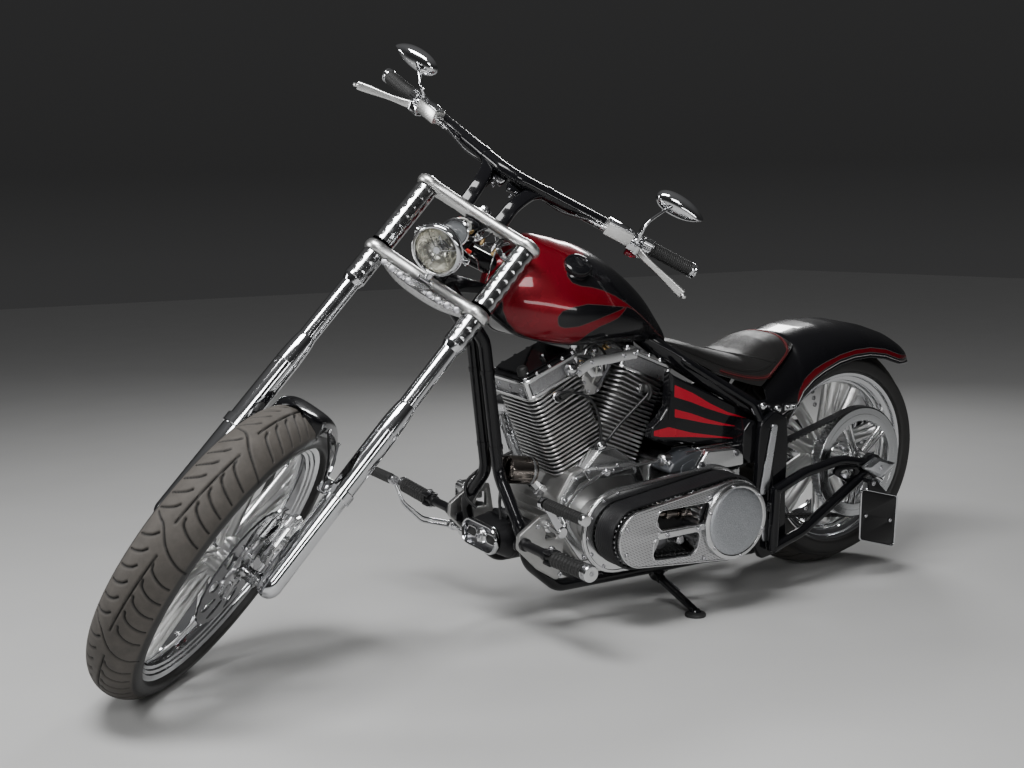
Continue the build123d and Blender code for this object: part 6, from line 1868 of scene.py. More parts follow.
# polished strap that joins the two heads on the left, and small domes
strap = [(905, 94, 648), (880, 96, 664), (861, 97, 673), (838, 97, 676), (800, 97, 678), (763, 97, 682), (722, 96, 684)]
path = smooth_path(strap, 8)
w, th = 13.0, 3.6
sec = round2([(-th / 2, -w), (th / 2, -w), (th / 2, w), (-th / 2, w)], 1.4, 3)
g.add(sweep(path, 1.0, section=sec, up=A(0, 1, 0)), "polished")
g.add(lathe([(-6, 0), (-6, 15), (0, 16), (4, 15.5), (9, 12), (12, 7), (13, 0)], A(918, 88, 660), unit((0.05, 0.9, 0.4)), 36), "chrome")
g.add(lathe([(0, 19), (2.5, 19.5), (3, 16)], A(918, 86, 658), unit((0.05, 0.9, 0.4)), 36), "steel")
for a in range(5):
    t_ = a * 2 * math.pi / 5
    g.add(bolt(A(918 + 15 * math.cos(t_), 90, 660 + 15 * math.sin(t_)), unit((0.05, 0.9, 0.4)), 3, 2), "dark_steel")
for q in ((900, 651), (862, 673), (763, 682), (728, 684)):
    g.add(bolt(A(q[0], 98.5, q[1]), YAX, 5, 3.5), "bolt_steel")
# black boot and nipple on the front rocker corner
g.add(lathe([(0, 0), (0, 15), (4, 16), (30, 13.5), (34, 10), (36, 0)], Cyl(1).p(392, 62, 52), Cyl(1).a, 28), "rubber")
g.add(lathe([(0, 9), (5, 9), (6, 7), (16, 7), (17, 4)], Cyl(1).p(408, -10, 40), Cyl(1).a, 20), "chrome")
piece("rocker_skin", g, "chassis", replaces="rocker_boxes", angle=30)

# crankcase
g = Geo()
CC = [(960, 250), (968, 340), (930, 400), (856, 420), (790, 420), (716, 400), (690, 340), (690, 190), (740, 165), (900, 165)]
g.add(side([round2(CC, 22, 8)], -111.6, 111.6, 3.0, 3), "cast")
# split line, ribs and the left cover faces
g.add(side([round2([(955, 252), (962, 338), (926, 394), (856, 414), (790, 414), (722, 394), (697, 338), (697, 194), (742, 171), (898, 171)], 20, 8), round2([(930, 262), (936, 330), (908, 372), (850, 390), (796, 390), (742, 372), (722, 330), (722, 210), (752, 192), (884, 192)], 16, 8)[::-1]], 110.5, 119, 2.0, 2), "cast_bright")
for (x, z) in ((950, 262), (952, 336), (918, 386), (856, 406), (792, 406), (734, 384), (706, 330), (706, 260), (712, 204), (750, 178), (820, 174), (890, 180)):
    g.add(bolt(A(x, 118.5, z), YAX, 5.2, 5), "bolt_steel")
    g.add(bolt(A(x, -111.4, z), -YAX, 5.2, 5), "bolt_steel")
# triangular polished cover between the barrels
tri = round2([(898, 408), (852, 452), (806, 456), (716, 396), (730, 376), (880, 378)], [10, 12, 12, 8, 8, 10], 6)
g.add(side([tri], 84, 120.5, 3.0, 3), "cast_bright")
g.add(side([tri * 0.9 + np.array([82, 41.5])], 120, 122.5, 1.0, 2), "polished")
g.add(bolt(A(880, 121, 402), YAX, 5, 4), "bolt_steel")
g.add(bolt(A(738, 121, 392), YAX, 5, 4), "bolt_steel")
# cooling ribs low on the front of the case
for k in range(6):
    z = 205 + 22 * k
    g.add(rbox(A(960 - (2 if k < 3 else 0), 0, z), (14, 150, 5), 1.8, 2), "cast")
g.add(lathe([(0, 24), (6, 25), (10, 22), (12, 0)], A(957, 62, 210), A(1, 0, 0), 6), "bolt_steel")
g.add(lathe([(0, 15), (8, 16), (11, 13), (12, 0)], A(957, -60, 232), A(1, 0, 0), 24), "polished")
# engine feet
for y in (60, -60):
    g.add(rbox(A(905, y, 152), (50, 34, 30), 5, 2), "cast")
    g.add(hexnut(A(905, y, 167), A(0, 0, 1), 9, 8), "bolt_steel")
piece("crankcase_skin", g, "chassis", replaces="crankcase", angle=30)

# cam cover with pushrod tubes, right side
g = Geo()
CAMC = [(930, 250), (940, 360), (880, 398), (770, 398), (720, 340), (730, 230), (800, 190), (880, 190)]
g.add(side([round2(CAMC, 24, 8)], -149.6, -112.4, 4.0, 4), "cast_bright")
g.add(side([round2([(x * 0.82 + 822 * 0.18, z * 0.82 + 295 * 0.18) for x, z in CAMC], 20, 8), round2([(x * 0.74 + 822 * 0.26, z * 0.74 + 295 * 0.26) for x, z in CAMC], 18, 8)[::-1]], -152.2, -148.5, 1.2, 2), "polished")
for (x, z) in ((922, 256), (930, 352), (878, 388), (776, 388), (730, 336), (740, 238), (802, 201), (876, 201), (826, 392)):
    g.add(bolt(A(x, -149.4, z), -YAX, 5.2, 5.5), "bolt_steel")
g.add(lathe([(0, 26), (3, 27), (5, 24), (5.5, 0)], A(815, -149.4, 300), -YAX, 48), "polished")
for x0, x1 in ((868, 940), (844, 902), (800, 742), (776, 704)):
    p, q = A(x0, -128, 392), A(x1, -122, 588)
    d = unit(q - p)
    L = float(np.linalg.norm(q - p))
    g.add(lathe([(-4, 0), (-4, 15), (4, 16), (8, 12), (10, 12), (16, 8.4), (L * 0.48, 8.2), (L * 0.5, 10.5), (L * 0.56, 10.5), (L * 0.58, 8.4), (L - 14, 8.4), (L - 10, 11), (L, 11.5), (L, 0)], p, d, 28), "chrome")
    g.add(lathe([(L * 0.515, 10.6), (L * 0.52, 11), (L * 0.54, 11), (L * 0.545, 10.6)], p, d, 28), "rubber")
    g.add(rbox(p + A(0, 4, 6), (24, 26, 22), 3, 2), "cast")
piece("cam_skin", g, "chassis", replaces="cam_cover", angle=30)

# air cleaner: bright round cover with ribs
g = Geo()
O = A(822, -142, 560)
g.add(sweep(np.array([A(822, -2, 560), A(822, -141, 560)]), 29.5, 40), "cast")
g.add(lathe([(0, 40), (1, 86), (3, 88), (9, 88), (11, 85), (12, 82), (36, 82), (38, 86), (40, 88), (44, 87.5), (46.5, 84), (47, 78), (44.5, 74), (44, 56), (46, 52), (49, 46), (50, 34), (49.5, 0)], O, -YAX, 96), "chrome")
g.add(knurl([(12.5, 82.2), (14, 84.5), (34, 84.5), (35.5, 82.2)], O, -YAX, 240, 60, 0.03, 13, 35), "satin_black")
for k in range(3):
    a = math.radians(90 + 120 * k)
    g.add(bolt(O + A(64 * math.cos(a), -44, 64 * math.sin(a)), -YAX, 6, 4), "bolt_steel")
piece("air_cleaner_skin", g, "chassis", replaces="air_cleaner", angle=30)

# exhaust pipes
g = Geo()
EXH = [
    ([(966, -60, 545), (968, -172, 535), (910, -208, 430), (830, -250, 275), (640, -288, 205), (60, -288, 205)], [40, 50, 60, 120]),
    ([(698, -60, 505), (698, -200, 500), (662, -236, 400), (540, -288, 275), (130, -288, 275)], [40, 50, 60]),
]
for pts, rad in EXH:
    path = fillet_path(pts, rad, 12)
    n = len(path)
    start = path[path[:, 1] < -84]
    first = np.array([A(path[0][0], -84, path[0][2] - (1 if pts[0][0] > 900 else 0))])
    pp_ = np.vstack([first, start])
    g.add(sweep(pp_, 23.6, 36, caps=False), "chrome")
    g.add(sweep(pp_[::-1][:2][::-1], 21.5, 36, caps=False), "matt_black")
    # flange with two studs at the head
    f0 = A(path[0][0], -83.5, path[0][2] - 1)
    g.add(lathe([(0, 24), (0, 33), (2, 34), (9, 34), (11, 31), (11, 24)], f0, -YAX, 40), "steel")
    for a in (35, 215):
        q = f0 + A(29 * math.cos(math.radians(a)), -10, 29 * math.sin(math.radians(a)))
        g.add(hexnut(q, -YAX, 7, 8), "bolt_steel")
    # outlet: rolled lip and dark bore
    e, ed = path[-1], unit(path[-1] - path[-2])
    g.add(lathe([(-3, 23.5), (-1, 24.2), (0.0, 24), (0.0, 22), (-6, 20.5), (-60, 20.5), (-60, 0)], e, ed, 40), "chrome_dim")
    g.add(lathe([(-59, 20.4), (-8, 20.4), (-8, 20.2)], e, ed, 40), "matt_black")
    # heat shield: slots and clamps
    m0 = path[int(n * 0.62):]
    L_ = path[-1][0]
    xa, xb = (560, 120) if rad[-1] == 120 else (470, 190)
    yz = (-288, 205) if rad[-1] == 120 else (-288, 275)
    # each slot is a thin matt black patch on the pipe: painted shade standing for the dark inside of the slot
    for k in range(9):
        xk = xa + (xb - xa) * (k + 0.5) / 9
        g.add(rbox(A(xk, yz[0] - 23.0, yz[1] + 4), (26, 2.4, 6), 1.1, 2), "matt_black")
    for xk in (xa + 12, xb - 12):
        g.add(lathe([(-5, 24.0), (-5, 24.4), (5, 24.4), (5, 24.0)], A(xk, yz[0], yz[1]), A(1, 0, 0), 40), "steel")
        g.add(rbox(A(xk, yz[0] - 4, yz[1] + 26), (10, 12, 7), 1.4, 2), "bolt_steel")
piece("exhaust_skin", g, "chassis", replaces="exhaust_pipes", angle=36)

# oil filter with a fluted cap
g = Geo()
F0_, F1_ = A(992, 30, 398), A(1072, 30, 412)
d = unit(F1_ - F0_)
L = float(np.linalg.norm(F1_ - F0_))
g.add(lathe([(0, 0), (0, 34), (2, 35.6), (L - 12, 35.8), (L - 5, 34), (L - 1, 28), (L, 20), (L, 0)], F0_, d, 72), "bronze_chrome")
g.add(knurl([(L - 16, 35.9), (L - 14, 36), (L - 5, 33), (L - 4, 30)], F0_, d, 168, 14, 0.05, L - 17, L - 4), "bronze_chrome")
g.add(lathe([(8, 36), (9, 36.4), (14, 36.4), (15, 36)], F0_, d, 72), "steel")
g.add(lathe([(-6, 0), (-6, 26), (0, 27), (0, 0)], F0_, d, 48), "cast_bright")
q0, q1 = A(1005, 30, 384), A(950, 30, 326)
dq = unit(q1 - q0)
g.add(lathe([(0, 0), (0, 13.6), (40, 13.6), (42, 16), (60, 16), (70, 13.8), (79, 13.8), (79, 0)], q0, dq, 8), "cast_bright")
g.add(lathe([(46, 16.5), (47, 18), (56, 18), (57, 16.5)], q0, dq, 12), "steel")
piece("oil_filter_skin", g, "chassis", replaces="oil_filter", angle=30)

# front canister: ribbed black body with a chrome slot rim
g = Geo()
ax = unit((1, 0, 0.1))
Rc = cols(YAX, np.cross(ax, YAX), ax)
ORG = A(1112, 0, 240)


def canp(u, v, w):
    return ORG + Rc @ A(u, v, w)


def slotpts(lx, lz, n=14):
    r = lz / 2
    return hull2(-(lx / 2 - r), 0, r, (lx / 2 - r), 0, r, n) if lx > lz else hull2(-(lx / 2 - 0.01), 0, r, lx / 2, 0, r, n)


prof = [(0, 158, 64), (-8, 162, 68), (-20, 168, 78), (-34, 172, 88), (-50, 176, 96), (-80, 169, 93), (-111.5, 160, 88)]
ringz = []
for w_, lx, lz in prof:
    ringz.append([canp(p[0], p[1], w_) for p in slotpts(lx, lz)])
V, F = grid(np.array(ringz), wrap_v=True)
kk = len(ringz[0])
F = list(F) + [tuple(len(prof) * kk - kk + j for j in reversed(range(kk)))]
g.add((V, F), "satin_black")
for k in range(7):
    w_ = -44 - 9.5 * k
    lx = float(np.interp(w_, [-111.5, -80, -50, -34], [160, 169, 176, 172])) + 3.0
    lz = float(np.interp(w_, [-111.5, -80, -50, -34], [88, 93, 96, 88])) + 3.0
    rr = [[canp(p[0], p[1], w_ + dz) for p in slotpts(lx - (2.8 if e else 0), lz - (2.8 if e else 0))] for dz, e in ((-2.2, 1), (-1.2, 0), (1.2, 0), (2.2, 1))]
    g.add(grid(np.array(rr), wrap_v=True), "satin_black")
# chrome rim and recessed face
rr = []
for w_, lx, lz in ((-6, 164, 70), (1, 166, 72), (5, 163, 69), (6.5, 157, 63), (5, 151, 57), (-3, 149, 55), (-10, 148, 54)):
    rr.append([canp(p[0], p[1], w_ + 12) for p in slotpts(lx, lz)])
g.add(grid(np.array(rr), wrap_v=True), "chrome")
face = [canp(p[0], p[1], 4.0) for p in slotpts(149, 55)]
g.add((np.array(face), [tuple(range(len(face)))]), "dark_steel")
for sx in (-1, 1):
    o = slotpts(46, 26)
    ringo = [[canp(p[0] + sx * 44, p[1], w_) for p in o] for w_ in (4.2, 8.0)]
    o2 = slotpts(40, 20)
    ringi = [[canp(p[0] + sx * 44, p[1], w_) for p in o2] for w_ in (8.0, 4.4)]
    V, F = grid(np.array(ringo + ringi), wrap_v=True)
    g.add((V, F), "chrome_dim")
    # near-black face deep in each small slot: painted shade in the recess
    g.add((np.array([canp(p[0] + sx * 44, p[1], 4.6) for p in slotpts(42, 22)]), [tuple(range(len(o2)))]), "dark_void")
g.add(lathe([(0, 0), (0, 20), (3, 21), (8, 18), (11, 14), (12, 0)], canp(0, 0, 4), ax, 36), "polished")
g.add(bolt(canp(0, 0, 16), ax, 7, 5), "bolt_steel")
for sx in (-1, 1):
    g.add(bolt(canp(sx * 70, 0, 6), ax, 3.4, 3), "bolt_steel")
g.add(rbox(canp(0, 52, -60), (70, 14, 40), 3, 2, Rc), "satin_black")
for sx in (-24, 24):
    g.add(bolt(canp(sx, 59, -60), Rc[:, 1], 6, 5), "bolt_steel")
piece("canister_skin", g, "chassis", replaces="front_canister", angle=34)
g = Geo()
# loose leads beside the canister
g.add(sweep(smooth_path([(1092, -70, 290), (1108, -92, 316), (1104, -100, 352), (1084, -80, 384), (1046, -60, 410), (1000, -50, 430)], 8), 4.2, 12), "wire_black")
g.add(sweep(smooth_path([(1100, 60, 296), (1104, 60, 340), (1094, 50, 372), (1078, 42, 392)], 8), 4.0, 12), "wire_black")
piece("front_leads", g, "chassis", angle=34)


# ------------------------------------------------------------------ primary drive and gearbox
PFX, PFZ, PCX, PCZ = 850.0, 268.0, 558.0, 275.0


def stadium(x0, z0, r0, x1, z1, r1, n=40):
    return hull2(x0, z0, r0, x1, z1, r1, n)


g = Geo()
g.add(side([stadium(PFX, PFZ, 108, PCX, PCZ, 122)], 200, 212, 3.0, 3), "polished")
g.add(side([stadium(PFX, PFZ, 104.5, PCX, PCZ, 118.5), stadium(PFX, PFZ, 99, PCX, PCZ, 113.5)[::-1]], 211, 214, 1.2, 2), "polished")
g.add(lathe([(112, 0), (112, 59), (114, 60), (198, 60), (200, 56), (200, 0)], A(PFX, 0, PFZ), YAX, 64), "cast_bright")
for k in range(6):
    a = math.radians(30 + 60 * k)
    g.add(bolt(A(PFX + 52 * math.cos(a), 112.5, PFZ + 52 * math.sin(a)), -YAX, 4, 2), "bolt_steel")
for k in range(12):
    t_ = k / 12
    o = stadium(PFX, PFZ, 96, PCX, PCZ, 111, 40)
    q = o[int(t_ * len(o))]
    g.add(bolt(A(q[0], 212, q[1]), YAX, 4.6, 4), "bolt_steel")
g.add(lathe([(175, 0), (175, 22), (214, 22), (214, 0)], A(624, 0, 236), YAX, 32), "cast_bright")
piece("primary_back_skin", g, "chassis", replaces="primary_back_plate", angle=30)

# wide toothed belt: the band stands proud of the pulleys, teeth on the inside
g = Geo()
OUT = stadium(PFX, PFZ, 80, PCX, PCZ, 112, 60)
INN = stadium(PFX, PFZ, 74.5, PCX, PCZ, 106.5, 60)
ys = (219.0, 221.0, 283.0, 285.5)
rr = [[A(p[0], ys[0], p[1]) for p in INN], [A(p[0], ys[0], p[1]) for p in stadium(PFX, PFZ, 79, PCX, PCZ, 111, 60)], [A(p[0], ys[1], p[1]) for p in OUT], [A(p[0], ys[2], p[1]) for p in OUT], [A(p[0], ys[3], p[1]) for p in stadium(PFX, PFZ, 79, PCX, PCZ, 111, 60)], [A(p[0], ys[3], p[1]) for p in INN]]
g.add(grid(np.array(rr), wrap_v=True), "belt_black")
# fine lengthwise grooves on the back of the belt
for k in range(8):
    y = 226.0 + 7.6 * k
    r_ = [[A(p[0], y + dy, p[1]) for p in stadium(PFX, PFZ, 80 + dr, PCX, PCZ, 112 + dr, 60)] for dy, dr in ((-1.5, 0), (-0.9, 0.5), (0.9, 0.5), (1.5, 0))]
    g.add(grid(np.array(r_), wrap_v=True), "belt_black")
# teeth at the open edge
cum = np.concatenate([[0], np.cumsum(np.linalg.norm(np.diff(np.vstack([INN, INN[:1]]), axis=0), axis=1))])
Lb = cum[-1]
INNc = np.vstack([INN, INN[:1]])
for k in range(int(Lb / 14)):
    s = (k + 0.5) * Lb / int(Lb / 14)
    q = A(np.interp(s, cum, INNc[:, 0]), np.interp(s, cum, INNc[:, 1]))
    q2 = A(np.interp((s + 1) % Lb, cum, INNc[:, 0]), np.interp((s + 1) % Lb, cum, INNc[:, 1]))
    td = unit(q2 - q)
    nn = A(-td[1], td[0])
    cen = A((PFX + PCX) / 2, (PFZ + PCZ) / 2)
    if nn @ (cen - q) < 0:
        nn = -nn
    c3 = A(q[0] + nn[0] * 2.2, 252, q[1] + nn[1] * 2.2)
    g.add(rbox(c3, (7.2, 66, 5.4), 1.2, 1, cols(A(td[0], 0, td[1]), YAX, np.cross(A(td[0], 0, td[1]), YAX))), "belt_black")
# toothed pulleys behind the outer plate
for (x, z, r, n_) in ((PFX, PFZ, 71, 32), (PCX, PCZ, 103, 46)):
    g.add(knurl([(219.5, 0), (219.5, r), (221, r), (284, r), (285.4, r - 2), (285.4, r * 0.86), (281, r * 0.84), (281, 0)], A(x, 0, z), YAX, n_ * 6, n_, 0.045, 220, 284.5), "steel")
# near-black sheet inside the belt loop, seen through the windows: painted shade
g.add(side([stadium(PFX - 40, PFZ, 20, PCX + 60, PCZ, 30)], 219.5, 222, 1, 1), "dark_void")
piece("primary_belt_skin", g, "chassis", replaces="primary_belt", angle=30)

# outer plate: window with a middle bar, polished rim, fine engraved dashes
g = Geo()
P_OUT = stadium(844, PFZ, 72, PCX, PCZ, 104, 50)
P_RIM = stadium(844, PFZ, 68.5, PCX, PCZ, 100.5, 50)
WIN = stadium(760, PFZ, 34, 680, 272, 30, 26)
WUP = round2([(796, 331), (632, 333), (651, 279), (786, 281), (806, 300)], [16, 12, 12, 14, 12], 6)
WLO = round2([(808, 259), (662, 262), (676, 214), (694, 203), (812, 209)], [14, 14, 10, 12, 14], 6)
V, F = plate([P_OUT, WUP, WLO], 8.4, 1.2, 3)
V = np.stack([V[:, 0], 300.4 - V[:, 2], V[:, 1]], 1)
g.add((V, F), "outer_face")
g.add(side([P_OUT, P_RIM[::-1]], 299.8, 302.2, 1.1, 3), "polished")
for wq in (WUP, WLO):
    c_ = wq.mean(0)
    big = c_ + (wq - c_) * np.array([1.045, 1.11])
    g.add(side([big, wq[::-1]], 299.8, 302.0, 1.0, 3), "polished")
g.add(side([round2([(798, 277), (650, 277), (655, 264), (800, 262)], 4)], 300.2, 303.4, 1.2, 2), "polished")
g.add(side([stadium(PFX, PFZ, 19.5, PFX + 0.02, PFZ, 19.5, 30)], 286.4, 292.2, 0.8, 2), "steel")
for x in (771, 673):
    g.add(bolt(A(x, 303.2, 269), YAX, 6.0, 3.6), "bolt_steel")
for (x, z) in ((893, 300), (893, 236), (640, 346), (650, 190)):
    g.add(bolt(A(x, 301.6, z), YAX, 5.4, 3.4), "bolt_steel")
# parts seen through the window
g.add(lathe([(-60, 0), (-60, 11), (-38, 11), (-36, 17), (-22, 17), (-20, 9), (6, 9), (8, 14), (22, 14), (24, 8), (60, 8), (60, 0)], A(722, 252, 304), unit((1, 0, 0.12)), 28), "bronze_chrome")
g.add(lathe([(222, 0), (222, 20), (262, 20), (264, 16), (264, 0)], A(760, 0, 240), YAX, 32), "dark_steel")
g.add(lathe([(222, 0), (222, 12), (268, 12), (270, 9), (270, 0)], A(700, 0, 236), YAX, 24), "steel")
piece("primary_outer_skin", g, "chassis", replaces="primary_outer_plate", angle=30)

# clutch cover: stippled dome inside a polished ring
g = Geo()
g.add(lathe([(302.4, 0), (302.4, 99), (303.5, 101), (309, 101), (312.5, 99.5), (315, 95), (315.6, 90), (314.0, 87), (314.0, 86)], A(PCX, 0, PCZ), YAX, 120), "polished")
g.add(lathe([(314.2, 86.5), (316.4, 84), (318.2, 78), (319.8, 60), (320.6, 36), (320.8, 0)], A(PCX, 0, PCZ), YAX, 96), "clutch_face")
for k in range(6):
    a = math.radians(20 + 60 * k)
    g.add(bolt(A(PCX + 92.5 * math.cos(a), 314.8, PCZ + 92.5 * math.sin(a)), YAX, 4.6, 3.4), "bolt_steel")
piece("clutch_skin", g, "chassis", replaces="clutch_cover", angle=30)

# gearbox
g = Geo()
TR = [(689, 190), (689, 400), (600, 428), (420, 428), (376, 380), (376, 230), (420, 182)]
g.add(side([round2(TR, 20, 8)], -117.6, 117.6, 4.0, 3), "cast_bright")
g.add(side([round2([(x * 0.86 + 535 * 0.14, z * 0.86 + 305 * 0.14) for x, z in TR], 18, 8), round2([(x * 0.76 + 535 * 0.24, z * 0.76 + 305 * 0.24) for x, z in TR], 15, 8)[::-1]], -121, -116.5, 1.6, 2), "polished")
g.add(side([round2([(x * 0.72 + 535 * 0.28, z * 0.72 + 305 * 0.28) for x, z in TR], 15, 8)], -120, -116.5, 1.6, 2), "cast")
for (x, z) in [(x * 0.81 + 535 * 0.19, z * 0.81 + 305 * 0.19) for x, z in TR] + [(520, 400), (520, 208)]:
    g.add(bolt(A(x, -120.8, z), -YAX, 5, 5), "bolt_steel")
g.add(rbox(A(515, 0, 430), (130, 170, 10), 3, 2), "cast")
for x in (465, 520, 565):
    for y in (70, -70):
        g.add(bolt(A(x, y, 434.5), A(0, 0, 1), 5, 4), "bolt_steel")
g.add(lathe([(0, 26), (6, 27), (9, 22), (10, 0)], A(620, -119, 240), -YAX, 8), "polished")
g.add(rbox(A(640, 60, 178), (60, 44, 12), 3, 2), "cast")
g.add(rbox(A(640, -60, 178), (60, 44, 12), 3, 2), "cast")
# output pulley
O = A(492, 0, 300)
g.add(knurl([(117.6, 20), (117.6, 55), (158, 55), (158.2, 55), (188, 55), (189.6, 53.5), (189.6, 44), (186, 42), (186, 24), (189.6, 22), (189.6, 0)], O, YAX, 180, 30, 0.055, 158, 188), "steel")
for k in range(6):
    a = math.radians(60 * k)
    g.add(bolt(O + A(33 * math.cos(a), 186, 33 * math.sin(a)), YAX, 4, 3), "bolt_steel")
g.add(hexnut(O + A(0, 189.4, 0), YAX, 15, 4), "bolt_steel")
piece("transmission_skin", g, "chassis", replaces="transmission", angle=30)

# polished cover above the clutch with a shallow rim and two dark bolts
g = Geo()
ST = [(606, 378), (562, 434), (470, 430), (440, 412), (437, 380)]
g.add(side([round2(ST, [6, 16, 26, 16, 6], 8)], 128, 199.6, 5.0, 4), "cast_bright")
g.add(side([round2([(690, 384), (668, 410), (612, 432), (566, 434), (600, 384)], [14, 18, 24, 8, 6], 8)], 118.4, 192, 7.0, 5), "cover_dark")
g.add(side([round2([(652, 384), (640, 404), (600, 420), (600, 384)], [8, 10, 8, 4], 6)], 190, 194.5, 2.0, 3), "cover_dark")
for (x, z) in ((582, 398), (466, 416)):
    g.add(lathe([(0, 10), (1.5, 10.5), (2.2, 9), (2.2, 0)], A(x, 198.8, z), YAX, 28), "steel")
    g.add(bolt(A(x, 200.4, z), YAX, 7, 4), "dark_steel")
for y in (130, 160, 188):
    g.add(sweep(np.array([A(626, y, 434.2), A(446, y, 434.2)]), 1.6, 8), "polished")
g.add(lathe([(0, 17), (3, 18), (22, 18), (26, 15), (28, 9), (28, 0)], A(652, 150, 410), A(1, 0, 0), 36), "steel")
g.add(hexnut(A(668, 176, 408), unit((1, 0.2, 0)), 7, 8), "bolt_steel")
piece("starter_skin", g, "chassis", replaces="starter_cover", angle=30)

# final belt with teeth inside
g = Geo()
OUTb = stadium(492, 300, 61.6, 0, 332, 157.6, 70)
INb = stadium(492, 300, 57.4, 0, 332, 153.6, 70)
rr = [[A(p[0], 158.3, p[1]) for p in INb], [A(p[0], 158.3, p[1]) for p in stadium(492, 300, 60.9, 0, 332, 156.9, 70)], [A(p[0], 159.3, p[1]) for p in OUTb], [A(p[0], 186.7, p[1]) for p in OUTb], [A(p[0], 187.7, p[1]) for p in stadium(492, 300, 60.9, 0, 332, 156.9, 70)], [A(p[0], 187.7, p[1]) for p in INb]]
V, F = grid(np.array(rr + rr[:1]), wrap_v=True)
g.add((V, F), "belt_black")
INc = np.vstack([INb, INb[:1]])
cum = np.concatenate([[0], np.cumsum(np.linalg.norm(np.diff(INc, axis=0), axis=1))])
Lb = cum[-1]
nt = int(Lb / 13.8)
for k in range(nt):
    s = (k + 0.5) * Lb / nt
    q = A(np.interp(s, cum, INc[:, 0]), np.interp(s, cum, INc[:, 1]))
    # teeth only on the two free runs
    if 60 < q[0] < 452:
        q2 = A(np.interp(s + 1, cum, INc[:, 0]), np.interp(s + 1, cum, INc[:, 1]))
        td = unit(q2 - q)
        nn = A(-td[1], td[0])
        if nn @ (A(250, 316) - q) < 0:
            nn = -nn
        g.add(rbox(A(q[0] + nn[0] * 1.3, 173, q[1] + nn[1] * 1.3), (6.6, 28.6, 4.6), 1.2, 1, cols(A(td[0], 0, td[1]), YAX, np.cross(A(td[0], 0, td[1]), YAX))), "belt_black")
piece("drive_belt_skin", g, "chassis", replaces="drive_belt", angle=30)

# ------------------------------------------------------------------ shift rod
g = Geo()
RODP = [(1040, 214, 344), (868, 176, 411), (743, 160, 413), (640, 150, 412)]
g.add(sweep(smooth_path(RODP[1:], 8), 4.6, 14), "polished")
for p in (A(868, 176, 411), A(640, 150, 412)):
    g.add(lathe([(-7, 0), (-7, 8), (-5, 9.4), (5, 9.4), (7, 8), (7, 0)], p, YAX, 24), "bolt_steel")
    g.add(hexnut(p + A(0, 7, 0), YAX, 5.5, 4), "bolt_steel")
for t0, t1 in (((846, 173, 411), (818, 170, 412)), ((668, 152, 412), (694, 154, 412.6))):
    g.add(sweep(np.array([A(*t0), A(*t1)]), 6.8, 6), "bolt_steel")
g.add(sweep(np.array([A(868, 170, 411), A(962, 186, 376), A(1034, 218, 330)]), 4.4, 14), "polished")
g.add(side([round2([(632, 420), (648, 420), (652, 380), (638, 372), (626, 380)], 5)], 141, 147, 1.4, 2), "polished")
g.add(sweep(np.array([A(640, 119, 384), A(640, 144, 384)]), 7, 18), "steel")
piece("shift_rod", g, "chassis", angle=30)


# ------------------------------------------------------------------ foot controls
g = Geo()
for sy in (1, -1):
    pts = [(1000, 150), (1062, 190), (1120, 250), (1118, 284), (1060, 322), (1000, 326), (986, 250)]
    o = round2(pts, 10, 6)
    h1 = round2([(1006, 186), (1046, 210), (1012, 236)], 6, 5)
    h2 = round2([(1008, 262), (1044, 262), (1036, 300), (1010, 304)], 7, 5)
    g.add(side([o, h1[::-1], h2[::-1]], sy * 158, sy * 172, 2.4, 3), "cast")
    for (x, z) in ((1000, 170), (1000, 312), (1066, 300)):
        g.add(bolt(A(x, sy * 171.6, z), YAX * sy, 6, 5), "bolt_steel")
    # peg arm, clevis and ribbed peg with a polished end
    g.add(lathe([(170, 0), (170, 15), (174, 16), (182, 16), (186, 12), (262, 12), (264, 15), (276, 15), (278, 12), (300, 12), (300, 0)], A(1104, 0, 262), YAX * sy, 32), "satin_black")
    for z in (13, -13):
        g.add(chamfer(rbox(A(1104, sy * 292, 262 + z), (34, 30, 7), 0), 2.0, 2), "satin_black")
    g.add(sweep(np.array([A(1104, sy * 290, 240), A(1104, sy * 290, 284)]), 5, 16), "bolt_steel")
    g.add(hexnut(A(1104, sy * 290, 283.5), A(0, 0, 1), 7, 5), "bolt_steel")
    p0, p1 = A(1104, sy * 300, 262), A(1104, sy * 450, 268)
    d = unit(p1 - p0)
    L = float(np.linalg.norm(p1 - p0))
    prof = [(0, 0), (0, 15), (3, 17)]
    a = 8.0
    while a < L - 26:
        prof += [(a, 17.0), (a + 1.6, 19.8), (a + 7.0, 19.8), (a + 8.6, 17.0)]
        a += 12.4
    prof += [(L - 22, 17.2), (L - 22, 0)]
    V, F = lathe(prof, p0, d, 48)
    g.add(knurl(prof, p0, d, 96, 12, 0.05, 6, L - 26), "rubber")
    g.add(lathe([(L - 22.5, 15), (L - 22, 19.6), (L - 20, 20), (L - 4, 20), (L - 1, 18.2), (L, 14), (L - 0.6, 11), (L, 8), (L, 0)], p0, d, 56), "polished")
    for k in range(3):
        g.add(lathe([(L - 17 + 5 * k, 20.0), (L - 16.5 + 5 * k, 20.3), (L - 15.5 + 5 * k, 20.3), (L - 15 + 5 * k, 20.0)], p0, d, 56), "dark_steel")
    g.add(bolt(p1, d, 6, 0.8), "bolt_steel")


